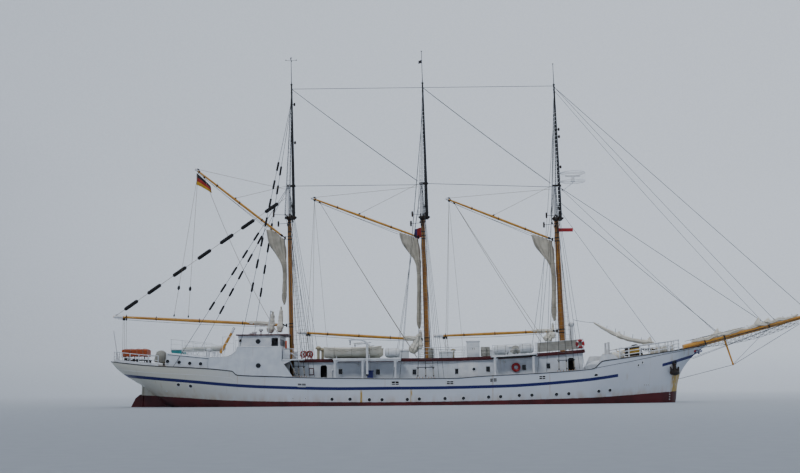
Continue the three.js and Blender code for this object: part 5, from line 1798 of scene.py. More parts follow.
                # The vang from the peak to the wheelhouse roof
                peak = mast.on(gaff, gaff.length * 0.9, -0.15)
                made.append(Line((-12.2, 1.7, 6.45), peak, 0.9, 0.02, "ship", f"{name}_gaff"))
            deck = -26.4 if long else mast.end(boom)[0] + 1.2
            floor = FORM.deck(-26.0) + 0.25 if long else 4.4
            for dx, y in ((0, -0.1), (0.12, 0.1), (0.3, 0)):
                hung = mast.on(boom, boom.length - 0.9 - dx, -0.2)
                made.append(Line((deck + dx, y, floor), hung, 0, 0.014, "ship", f"{name}_boom"))
            if not long:
                made += self.peak_lines(mast)
        return made

    def peak_lines(self, mast: Mast) -> list[Line]:
        """Lists the brails and vangs that run from near a gaff's peak down to the deck.

        Args:
            mast: The mast.

        Returns:
            The lines.
        """
        gaff, body = mast.gaff, f"{mast.name}_gaff"
        peak, inner = mast.on(gaff, gaff.length * 0.97, -0.1), mast.on(gaff, gaff.length * 0.92, -0.12)
        made = [Line((peak[0] + x, y, 4.3), peak, 0.12, thick, "ship", body)
                for x, y, thick in ((-0.45, -3.2, 0.016), (-0.45, 3.2, 0.016), (1.2, 1.3, 0.014))]
        return made + [Line((mast.x - 0.95, y, 4.3), inner, 0.15, 0.02, "ship", body) for y in (-1.7, 1.7)]


# Houses and deck gear


def hood(xs: Sequence[float], half: Field, base: Field, top: Field, edge: float = 0.08, camber: float = 0.04,
         corner: float = 0.0, middle: float = 0.0) -> Surface:
    """Builds a closed house, box or slab with rounded upper edges, and rounded corners in plan.

    Args:
        xs: Its stations.
        half: Half breadth at each.
        base: Height of its foot at each.
        top: Height of its top at the sides.
        edge: Radius of the upper edge.
        camber: Rise of the top to its middle.
        corner: Radius of its corners in plan.
        middle: The y of its middle.

    Returns:
        The closed surface.
    """
    x = np.array(xs, float)
    w, low, high = (np.broadcast_to(np.asarray(v, float), len(x)).copy() for v in (half, base, top))
    if corner:
        turn = np.linspace(0, np.pi / 2, 6)[:-1]
        inward, along = corner * (1 - np.sin(turn)), corner * (1 - np.cos(turn))
        ends = [np.interp(at, x, v) for at in (x[0] + along, x[-1] - along[::-1]) for v in (w, low, high)]
        inner = (x > x[0] + corner) & (x < x[-1] - corner)
        x = np.concatenate([x[0] + along, [x[0] + corner], x[inner], [x[-1] - corner], x[-1] - along[::-1]])
        keep = [np.interp(x, np.array(xs, float), v) for v in (w, low, high)]
        w, low, high = keep
        w[:5] = ends[0] - inward
        w[-5:] = ends[3] - inward[::-1]
    arc = np.linspace(0, np.pi / 2, 5)
    y = [-w, *[-w + edge * (1 - math.cos(a)) for a in arc]]
    z = [low, *[high - edge * (1 - math.sin(a)) for a in arc]]
    for part in (0.66, 0.33, 0.0):
        y.append((-w + edge) * part)
        z.append(high + camber * (1 - part ** 2))
    ys = np.stack(y + [-v for v in y[-2::-1]], axis=1)
    zs = np.stack(z + z[-2::-1], axis=1)
    points = sheeted(x[:, None], ys + middle, zs)
    return sealed(points)


def railing(feet: Sequence[Place], high: float, bars: Sequence[float] = (0.5, 1.0), radius: float = 0.026
            ) -> list[Surface]:
    """Builds stanchions on some feet, with bars through them at parts of their height.

    Args:
        feet: Where each stanchion stands.
        high: The stanchions' height.
        bars: Heights of the bars as parts of the stanchions' height.
        radius: Radius of the stanchions.

    Returns:
        The stanchions, their ball joints and the bars.
    """
    spots = np.array(feet, float)
    made = []
    for spot in spots:
        made.append(lathe(spot, spot + (0, 0, high),
                          [(0, 2.2 * radius), (0.03, 2.2 * radius), (0.05, radius), (1, 0.85 * radius)], 8))
    for bar in bars:
        path = spots + (0, 0, high * bar)
        made.append(tube(path, radius * (0.95 if bar == 1 else 0.7), 8))
        for spot in path:
            made.append(lathe(spot - (0, 0, 1.5 * radius), spot + (0, 0, 1.5 * radius),
                              [(0, 0.9 * radius), (0.3, 1.5 * radius), (0.7, 1.5 * radius),
                               (1, 0.9 * radius)], 8))
    return made


def round_light(centre: Place, away: Place, radius: float) -> tuple[list[Surface], Surface]:
    """Gives a side light's frame with its hinge, and its pane.

    Args:
        centre: The pane's middle.
        away: The wall's outward direction.
        radius: The pane's radius.

    Returns:
        The frame's parts, and the pane.
    """
    at, out = np.array(centre, float), np.array(away, float)
    frames = [hoop(at + out * 0.02, out, radius * 1.08, radius * 0.17, 24),
              rod(at + (radius * 1.3, 0, 0) - out * 0.01, at + (radius * 1.3, 0, 0) + out * 0.05,
                  radius * 0.16)]
    return frames, lathe(at - out * 0.03, at + out * 0.015, [(0, radius), (1, radius)], 24)


def posts(x: float, y: float, base: float) -> list[Surface]:
    """Gives a pair of mooring posts, one ahead of the other."""
    profile = [(0, 0.11), (0.7, 0.09), (0.78, 0.13), (0.95, 0.12), (1, 0.05)]
    return [upright((x + dx, y, base), 0.5, profile, 16) for dx in (-0.16, 0.16)]


def lifebuoy(place: Place, radius: float, band: float) -> Surface:
    """Gives a lifebuoy that hangs fore and aft, with a band of the second finish in each quarter.

    Args:
        place: Its middle.
        radius: Radius of the ring's middle line.
        band: Half the width of a band, as a part of a quarter turn.

    Returns:
        The ring, its slots 0 and 1.
    """
    ring = hoop(place, (0, 1, 0), radius, 0.11, 36)
    angle = np.arctan2(ring.points[:, 2] - place[2], ring.points[:, 0] - place[0])
    first = np.cumsum(ring.sizes) - ring.sizes
    ring.slots = (np.abs((angle[ring.corners[first]] / (np.pi / 2)) % 1 - 0.5) < band).astype(int)
    return ring


@dataclass
class Poop:
    """The trunk house over the counter, with the stern's boxes, rail and rolled-up boat."""

    trunk: tuple = (-21.7, -17.72)
    inset: float = 0.35
    lights: tuple = ((-21.49, 4.05), (-20.44, 3.95), (-19.49, 3.85), (-18.52, 3.8))

    def build(self) -> None:
        """Builds everything on the poop."""
        self.house()
        self.stern_box()
        self.boat()
        self.rails()
        self.steering()

    def top(self, x: Field) -> np.ndarray:
        """Gives the height of the trunk's top at its sides."""
        return np.interp(x, self.trunk, (4.85, 4.42))

    def half(self, x: Field) -> np.ndarray:
        """Gives the trunk's half breadth."""
        return FORM.beam(x) - self.inset

    def house(self) -> None:
        """Builds the trunk with its side lights, gutter, the gutter's painted shadow, chest and vents."""
        xs = np.linspace(*self.trunk, 16)
        body = hood(xs, self.half(xs), FORM.rail(xs) - 0.04, self.top(xs) - 0.03, 0.1, 0.06, 0.3)
        gutter = np.linspace(self.trunk[0] + 0.25, self.trunk[1], 12)
        line = np.stack([gutter, -self.half(gutter) - 0.01, self.top(gutter) - 0.14], axis=1)
        strip = tube(line, 0.03, 6)
        put("trunk_house", [body] + both([strip]), HOUSE_WHITE_IN_SHADE, replaces=["poop_trunk"])
        # A thin black line under the gutter is its painted shadow
        shadow = tube(line - (0, 0.012, 0.045), 0.014, 6)
        put("trunk_gutter_seam", both([shadow]), BLACK)
        frames, panes = [], []
        for x, z in self.lights:
            ring, pane = round_light((x, -self.half(x), z), (0, -1, 0), 0.17)
            frames += ring
            panes.append(pane)
        put("trunk_light_frames", both(frames), WHITE)
        put("trunk_light_panes", both(panes), PANE)
        chest = hood([-21.6, -20.6], 0.88, 4.7, 5.1, 0.02, 0.0, 0.06, -0.7)
        lid = hood([-21.65, -20.55], 0.92, 5.1, 5.2, 0.05, 0.03, 0.08, -0.7)
        put("teal_chest", [chest, lid.slotted(1)], [TEAL, WHITE])
        vents = []
        for x, y in ((-20.9, 1.9), (-18.4, 2.3), (-17.95, -2.9)):
            z = self.top(x)
            vents.append(upright((x, y, z), 0.75, [(0, 0.11), (0.7, 0.11), (0.72, 0.22), (0.86, 0.24),
                                                   (0.97, 0.14), (1, 0.04)], 20))
        put("trunk_vents", vents, WHITE)

    def stern_box(self) -> None:
        """Builds the stern locker under its laced tarpaulin."""
        base = FORM.rail(-25.2)
        legs = [block((x - 0.04, y - 0.04, base - 0.15), (x + 0.04, y + 0.04, base + 0.75))
                for x in (-26.0, -25.1, -24.2) for y in (-0.75, 0.75)]
        frames = [block((-26.1, y - 0.03, base + 0.3), (-24.1, y + 0.03, base + 0.38))
                  for y in (-0.75, 0.75)]
        put("stern_locker_frame", legs + frames, IRON, bevel=0.01)
        part = np.linspace(0, 1, 40)
        xs = -26.3 + 2.3 * part
        turn = np.linspace(0, 1, 34)
        # Section: down one side, over the top and down the other, with a loose hem
        low, high, half = base + 0.7, 5.24, 0.84
        side = np.minimum(turn, 1 - turn)
        y = np.interp(turn, (0, 0.3, 0.36, 0.64, 0.7, 1),
                      (-half, -half, -half + 0.08, half - 0.08, half, half))
        z = np.interp(side, (0, 0.3, 0.36, 0.5), (low, high - 0.1, high, high + 0.05))
        wave = 0.025 * np.sin(part[:, None] * 38 + 3 * np.sin(turn * 9)) * np.clip(1 - side * 3.2, 0.15, 1)
        hem = 0.03 * np.sin(part[:, None] * 21) * (side < 0.02)
        grow = np.clip(np.minimum(part, 1 - part) / 0.05, 0, 1)[:, None] ** 0.5
        points = np.stack([np.broadcast_to(xs[:, None], wave.shape), y[None] * (0.93 + 0.07 * grow)
                           + np.sign(y)[None] * wave, z[None] - 0.05 * (1 - grow) + hem - 0.02
                           * np.abs(np.sin(part[:, None] * 12))], axis=2)
        made = put("stern_tarpaulin", sealed(points), TARPAULIN, replaces=["stern_box"])
        lashings = []
        for x in (-26.0, -25.5, -24.9, -24.35):
            path = [(x, -half - 0.03, base + 0.1), (x + 0.02, -half - 0.04, low),
                    (x, -half - 0.01, high - 0.08), (x, -half + 0.1, high + 0.03), (x, 0, high + 0.07),
                    (x, half - 0.1, high + 0.03), (x, half + 0.01, high - 0.08),
                    (x + 0.02, half + 0.04, low), (x, half + 0.03, base + 0.1)]
            lashings.append(tube(path, 0.014, 6))
        put("tarpaulin_lashings", lashings, HEMP)
        bag = lathe((-22.45, -2.3, 3.95), (-22.25, -2.3, 5.05),
                    [(0, 0.42), (0.1, 0.52), (0.35, 0.5), (0.5, 0.53), (0.8, 0.45), (0.95, 0.25),
                     (1, 0.06)], 26)
        fold = np.arctan2(bag.points[:, 1] + 2.3, bag.points[:, 0] + 22.35)
        bag.points[:, :2] += (0.03 * np.cos(fold * 7 + bag.points[:, 2:3].ravel() * 5))[:, None] * np.stack(
            [np.cos(fold), np.sin(fold)], axis=1)
        put("covered_capstan", bag, COVER)

    def boat(self) -> None:
        """Builds the inflatable boat upturned on its chocks."""
        centre, z = -18.6, 5.1
        turn = np.linspace(-np.pi / 2, np.pi / 2, 17)
        ring = [(-1.75, -0.5)] + [(0.95 + 0.85 * math.cos(a), 0.5 * math.sin(a))
                                  for a in turn] + [(-1.75, 0.5)]
        path = np.array([(centre + a, -1.9 + b, z + 0.06 * max(0.0, a)) for a, b in ring])
        # The tubes end in cones at the stern
        size = np.concatenate([[0.1, 0.2], np.full(len(path) - 2, 0.215), [0.2, 0.1]])
        path = np.concatenate([path[:1] - (0.12, 0, 0), path, path[-1:] - (0.12, 0, 0)])
        floor = prism([(centre - 1.7, -2.35), (centre + 1.2, -2.35), (centre + 1.6, -1.9),
                       (centre + 1.2, -1.45), (centre - 1.7, -1.45)], z + 0.02, z + 0.06, 2)
        transom = hood([centre - 1.6, centre - 1.53], 0.42, z - 0.18, z + 0.2, 0.05, 0.0, 0.0, -1.9)
        strake = tube(path[1:-1], 0.232, 14, 0.12)
        put("inflatable_hull", [tube(path, size, 14), strake] + [s.slotted(1) for s in (floor, transom)],
            [RUBBERISED, COVER], replaces=["inflatable_boat"])
        legs = []
        for x in (-19.8, -18.2, -17.2):
            top = self.top(x)
            for y in (-2.5, -1.3):
                legs.append(rod((x, y, top), (x, y, z - 0.15), 0.03))
            legs.append(rod((x, -2.6, z - 0.18), (x, -1.2, z - 0.18), 0.035))
        for x in np.arange(-20.2, -17.0, 0.28):
            legs.append(rod((x, -2.62, self.top(x)), (x, -2.62, z - 0.2), 0.018))
        legs.append(rod((-20.35, -2.62, z - 0.2), (-16.95, -2.62, z - 0.2), 0.03))
        put("boat_chocks", legs, WHITE)

    def rails(self) -> None:
        """Builds the trunk's hand rails, the ensign staff and the golden derrick."""
        xs = (-21.3, -20.3, -19.3, -18.3, -17.6)
        feet = [(x, -self.half(x) + 0.45, self.top(x)) for x in xs]
        made = railing(feet, 1.2, (0.33, 0.66, 1.0), 0.024)
        put("trunk_rails", both(made), WHITE)
        staff = lathe((-26.8, 0.0, 4.15), (-27.3, 0.0, 6.95),
                      [(0, 0.05), (0.9, 0.03), (0.93, 0.06), (1, 0.03)], 12)
        put("ensign_staff", staff, WHITE)
        boom = lathe((-16.95, -2.6, 4.75), (-15.8, -2.6, 6.85), [(0, 0.13), (0.85, 0.12)], 16)
        tip = lathe((-15.97, -2.6, 6.54), (-15.8, -2.6, 6.85), [(0, 0.13), (0.6, 0.14), (1, 0.08)], 16)
        hook = hoop((-15.78, -2.6, 6.93), (0, 1, 0), 0.09, 0.028, 14)
        put("stores_derrick", [boom, tip.slotted(1), hook.slotted(2)], [SPAR, WHITE, IRON])

    def steering(self) -> None:
        """Builds the mooring bitts on their base plates."""
        made = []
        for x, y in ((-26.3, 1.5), (-24.6, -2.45), (-24.6, 2.45), (-23.1, 2.9)):
            base = FORM.rail(x)
            made += posts(x, y, base)
            made.append(hood([x - 0.34, x + 0.34], 0.16, base - 0.03, base + 0.03, 0.01, 0, 0.05, y))
        put("poop_bitts", made, BLACK)


@dataclass
class Bridge:
    """The trims of the bridge and the wheelhouse, whose walls are the frame's."""

    front: float = -11.3
    deck: float = 4.2
    top: float = 5.22
    house: tuple = (-15.4, -11.65)
    half: float = 2.4
    panes: tuple = (-1.8, -0.9, 0.0, 0.9, 1.8)

    def build(self) -> None:
        """Builds the trims, lights, windows, roof, ladders and gear."""
        self.trims()
        self.windows()
        self.roof()
        self.gear()

    def sweep(self, x: Field) -> np.ndarray:
        """Gives the height of the side's upper edge: the low trunk top, a concave quarter, then the top."""
        part = np.clip((np.asarray(x, float) + 16.7) / 1.5, 0, 1)
        return 4.35 + (self.top - 4.35) * (1 - np.sqrt(1 - part ** 2))

    def trims(self) -> None:
        """Builds the capping along the bridge's edge, its seams and its side lights."""
        xs = np.concatenate([np.linspace(-17.7, -16.7, 5), np.linspace(-16.6, -15.2, 16),
                             np.linspace(-14.8, self.front, 10)])
        y = -FORM.beam(xs)
        cap = tube(np.stack([xs, y + 0.02, self.sweep(xs) + 0.02], axis=1), 0.045, 8)
        across = tube([(self.front, -4.12, self.top + 0.02), (self.front, 0, self.top + 0.04),
                       (self.front, 4.12, self.top + 0.02)], 0.045, 8)
        put("bridge_capping", both([cap]) + [across], WHITE)
        seams = [tube([(x, -FORM.beam(x) - 0.002, z) for z in (low, high)], 0.008, 5)
                 for x, low, high in ((-16.9, 3.3, 4.3), (-14.2, 2.8, 5.15), (-12.4, 2.75, 5.15))]
        put("bridge_plate_seams", both(seams), WHITE)
        frames, panes = [], []
        for x, y, z, size in ((-13.34, FORM.half(-13.34, 2.7), 3.59, 0.17),
                              (-13.62, self.half, 5.78, 0.17)):
            ring, pane = round_light((x, -y, z), (0, -1, 0), size)
            frames += ring
            panes.append(pane)
        put("bridge_light_frames", both(frames), BLACK)
        put("bridge_light_panes", both(panes), PANE)

    def windows(self) -> None:
        """Glazes the wheelhouse's front and frames its panes and doorways."""
        x = self.house[1]
        panes, frames = [], []
        for y in self.panes:
            panes.append(block((x - 0.06, y - 0.335, 5.36), (x - 0.04, y + 0.335, 5.97)))
            corners = [(x + 0.012, y - 0.34, 5.35), (x + 0.012, y + 0.34, 5.35),
                       (x + 0.012, y + 0.34, 5.98), (x + 0.012, y - 0.34, 5.98)]
            frames.append(tube(bent(corners), 0.025, 6, closed=True))
        put("wheelhouse_glass", panes, PANE)
        door = tube(bent([(px, -self.half + 0.05, pz) for px, pz in (
            (-12.42, 4.45), (-12.42, 6.1), (-11.8, 6.1), (-11.8, 4.45))]), 0.025, 6, closed=True)
        put("wheelhouse_frames", frames + both([door]), WHITE)

    def roof(self) -> None:
        """Builds the wheelhouse roof, its edge and the gallows that the mizzen boom rests in."""
        xs = np.linspace(self.house[0] - 0.2, -10.92, 12)
        slab = hood(xs, self.half + 0.18, 6.31, 6.42, 0.035, 0.06, 0.1)
        lip = tube([(xs[0] + 0.02, -2.57, 6.36), (xs[-1] - 0.02, -2.57, 6.36)], 0.045, 8)
        posts = [rod((-12.9, y, 6.4), (-12.7, y * 0.95, 8.6), 0.05) for y in (-0.95, 0.95)]
        beam = rod((-12.7, -1.0, 8.6), (-12.7, 1.0, 8.6), 0.06)
        feet = [lathe((-12.9, y, 6.42), (-12.9, y, 6.5), [(0, 0.12), (1, 0.08)], 14) for y in (-0.95, 0.95)]
        put("wheelhouse_top", [slab] + both([lip])
            + [s.slotted(1) for s in posts + [beam] + feet], [MAROON, WHITE], replaces=["wheelhouse_roof"])

    def gear(self) -> None:
        """Builds the lamps, compass, raised vents, bridge rails, lifebuoys and the ladders."""
        feet = [(x, -3.6, self.deck + 0.1) for x in (-16.6, -15.6)]
        put("bridge_rails", both(railing(feet, 1.85, (0.7, 1.0), 0.024)), WHITE)
        lamps = []
        for x, y, z in ((-15.2, -2.45, 5.85), (-14.9, 2.45, 5.85)):
            lamps.append(lathe((x, y, z - 0.12), (x, y, z + 0.14),
                               [(0, 0.07), (0.2, 0.1), (0.75, 0.1), (0.85, 0.06), (1, 0.05)], 14))
        put("side_lamps", lamps, IRON)
        top = []
        for x, y in ((-14.7, 1.2), (-14.1, -1.3)):
            top.append(lathe((x, y, 6.42), (x, y, 6.75),
                             [(0, 0.18), (0.5, 0.18), (0.6, 0.26), (0.9, 0.22), (1, 0.05)], 20))
        top.append(lathe((-13.7, 0.0, 6.42), (-13.7, 0.0, 7.05),
                         [(0, 0.12), (0.5, 0.07), (0.7, 0.2), (0.9, 0.2), (1, 0.1)], 20))
        put("wheelhouse_roof_gear", top, WHITE)
        put("bridge_lifebuoys", both([hoop((-11.05, -2.75, 5.45), (1, 0.1, 0), 0.3, 0.08, 28)]), ORANGE)
        put("bridge_locker", [hood([-11.25, -10.7], 0.33, 4.2, 4.95, 0.05, 0.02, 0.05, -3.1 * s.value)
                              for s in Side], WHITE)
        self.ladder()

    def ladder(self) -> None:
        """Builds the steep ladder from the bridge's wing down to the side deck, with its hand rails."""
        made = []
        head, foot = np.array([-10.75, -3.1, 4.1]), np.array([-9.55, -3.1, 1.75])
        for y in (-0.32, 0.32):
            made.append(tube([head + (0, y, 0), foot + (0, y, 0)], 0.035, 6, 1.6))
            rail = curve([head + (-0.15, y * 1.1, 0.2), head + (0.1, y * 1.1, 0.62),
                          foot + (0.25, y * 1.1, 0.75), foot + (0.12, y * 1.1, 0.15)], 16)
            made.append(tube(rail, 0.022, 6))
        steps = []
        for part in np.linspace(0.08, 0.95, 9):
            step = head + (foot - head) * part
            steps.append(block(step - (0.1, 0.31, 0.015), step + (0.1, 0.31, 0.015)))
        put("bridge_ladders", both(made), WHITE)
        put("bridge_ladder_steps", both(steps), IRON, bevel=0.004)
        wing = hood([-11.28, -9.35], 0.53, 4.03, 4.13, 0.02, 0, 0.08, -3.5)
        knee = prism([(-11.28, 4.03), (-10.4, 4.03), (-11.28, 3.6)], -3.99, -3.95)
        put("bridge_wings", both([wing, knee]), WHITE)
        feet = [(x, -3.95, 4.13) for x in (-11.1, -10.3, -9.45)]
        put("bridge_wing_rails", both(railing(feet, 0.9, (0.5, 1.0), 0.022)),
            WHITE)


@dataclass
class Deckhouse:
    """The trims of the long deckhouse, whose walls and doors are the frame's."""

    half: float = 2.75
    windows: tuple = (-6.19, -2.86, 0.39, 4.18, 6.94, 10.14, 12.3)
    wide: float = 0.36
    high: float = 0.5
    up: float = 1.52
    # Doorway: from x, to x, height of the lintel
    doors: tuple = ((-7.98, -7.38, 3.6), (14.05, 14.63, 4.06))

    def build(self) -> None:
        """Builds the windows, door frames, pipes, panel, lifebuoy and deck-edge fittings."""
        self.glazing()
        self.doorways()
        self.fittings()
        self.side_deck()

    def glazing(self) -> None:
        """Builds each window's pane, frame and drip rail."""
        panes, frames, lips = [], [], []
        for x in self.windows:
            z = FORM.deck(x) + self.up
            w, h = self.wide / 2, self.high / 2
            panes.append(block((x - w, -self.half + 0.04, z - h), (x + w, -self.half + 0.06, z + h)))
            corners = [(x - w - 0.01, -self.half - 0.01, z - h), (x + w + 0.01, -self.half - 0.01, z - h),
                       (x + w + 0.01, -self.half - 0.01, z + h), (x - w - 0.01, -self.half - 0.01, z + h)]
            frames.append(tube(bent(corners), 0.022, 6, closed=True))
            lips.append(block((x - w - 0.08, -self.half - 0.06, z + h + 0.06),
                              (x + w + 0.08, -self.half + 0.01, z + h + 0.08)))
        put("deckhouse_panes", both(panes), PANE)
        put("deckhouse_window_frames", both(frames + lips), WHITE)

    def doorways(self) -> None:
        """Builds the round-headed frame and the sill of each doorway, and a black panel inside it as painted
        shade.
        """
        made, steps = [], []
        for first, last, lintel in self.doors:
            sill = FORM.deck(first) + 0.2
            y = -self.half + 0.05
            turn = np.linspace(0, np.pi / 2, 5)
            left = [(first - 0.01 + 0.14 * (1 - math.cos(a)), y, lintel - 0.13 + 0.14 * math.sin(a))
                    for a in turn]
            right = [(first + last - p[0], y, p[2]) for p in left[::-1]]
            path = [(first - 0.01, y, sill)] + left + right + [(last + 0.01, y, sill)]
            made.append(tube(path, 0.03, 6, closed=True))
            # Fillets round the opening's upper corners
            for px, way in ((first, 1), (last, -1)):
                made.append(prism([(px, lintel), (px + 0.14 * way, lintel), (px, lintel - 0.14)],
                                  -self.half, -self.half + 0.05))
            steps.append(block((first - 0.05, -self.half - 0.3, sill - 0.12),
                               (last + 0.05, -self.half - 0.02, sill - 0.08)))
        put("doorway_frames", both(made), WHITE)
        put("doorway_steps", both(steps), IRON, bevel=0.006)
        # A black panel half a metre inside each doorway is painted shade of the passage
        dark = [block((first - 0.1, -self.half + 0.5, sill), (last + 0.1, -self.half + 0.55, lintel + 0.05))
                for first, last, lintel in self.doors for sill in [FORM.deck(first) + 0.15]]
        put("passage_painted_shade", both(dark), PAINTED_SHADE)

    def fittings(self) -> None:
        """Builds the bent vent pipe, the fuse panel, its light, the lifebuoy and pipe runs on the wall."""
        y = -self.half
        pipes = [tube(curve([(-6.95, y - 0.12, 1.5), (-6.95, y - 0.12, 3.0), (-6.86, y - 0.12, 3.18),
                             (-6.7, y - 0.12, 3.2), (-6.62, y - 0.12, 3.05)], 24), 0.06, 10)]
        for x0, x1, up in ((-6.5, 3.9, 2.28), (6.5, 13.8, 2.33), (-9.9, -8.2, 2.2)):
            xs = np.linspace(x0, x1, 12)
            pipes.append(tube(np.stack([xs, np.full(12, y - 0.05), FORM.deck(xs) + up], axis=1), 0.022, 6))
        put("deckhouse_pipes", both(pipes), WHITE)
        panel = hood([4.3, 6.06], 0.03, 2.47, 3.82, 0.02, 0, 0, y - 0.005)
        ring, pane = round_light((5.68, y - 0.035, 3.12), (0, -1, 0), 0.15)
        put("deckhouse_panel", both([panel] + ring), WHITE)
        put("panel_light", both([pane]), PANE)
        put("deckhouse_lifebuoys", both([lifebuoy((9.42, y - 0.1, 3.25), 0.29, 0.05)]), [RED, WHITE])
        plate = hood([-9.0, -8.56], 0.03, 2.72, 3.36, 0.02, 0, 0, y - 0.005)
        field = hood([-8.93, -8.63], 0.012, 2.8, 3.28, 0.005, 0, 0.08, y - 0.035)
        put("blank_board", [plate, field.slotted(1)], [MAROON, WHITE])
        lamps = []
        for x in (-4.6, 1.9, 8.4, 13.2):
            z = FORM.deck(x) + 2.1
            lamps.append(lathe((x, y, z), (x, y - 0.16, z),
                               [(0, 0.09), (0.3, 0.09), (0.5, 0.07), (1, 0.05)], 14))
        put("wall_lamps", both(lamps), CANISTER)

    def side_deck(self) -> None:
        """Builds the blue bin, coiled ropes, pin racks and the belaying pins of the side decks."""
        deck = FORM.deck(-3.5)
        bin_ = hood([-3.78, -3.28], 0.26, deck, deck + 1.55, 0.05, 0.02, 0.05, -3.3)
        put("blue_bin", [bin_, hood([-3.83, -3.23], 0.3, deck + 1.55, deck + 1.63, 0.04, 0.02, 0.05, -3.3)],
            BLUE)
        pins, racks = [], []
        for mast in MASTS:
            first, last = mast.x + mast.feet[0] - 0.25, mast.x + mast.feet[-1] + 0.25
            x = np.linspace(first, last, 4)
            y = -FORM.beam(x) + 0.24
            line = np.stack([x, y, FORM.rail(x) - 0.08], axis=1)
            racks.append(tube(line, 0.045, 6))
            for part in np.linspace(0.08, 0.92, 7):
                at = line[0] + (line[-1] - line[0]) * part
                pins.append(lathe(at - (0, 0, 0.2), at + (0, 0, 0.2),
                                  [(0, 0.012), (0.5, 0.018), (0.55, 0.03), (0.8, 0.022), (1, 0.028)], 8))
        put("pin_racks", both(racks), MAST)
        put("belaying_pins", both(pins), MAST)
        coils = []
        for mast in MASTS:
            for k in range(4):
                x = mast.x + mast.feet[0] + 0.05 + k * 0.4
                at = (x, -FORM.beam(x) + 0.3, FORM.rail(x) - 0.36)
                for j in range(3):
                    coil = hoop(at, (0.15 * (j - 1), 1, 0), 0.1 + 0.012 * j, 0.016, 16)
                    middle = np.array(at)
                    coil.points = middle + (coil.points - middle) * (1, 1, 2.1)
                    coils.append(coil)
        put("hung_coils", both(coils), HEMP)


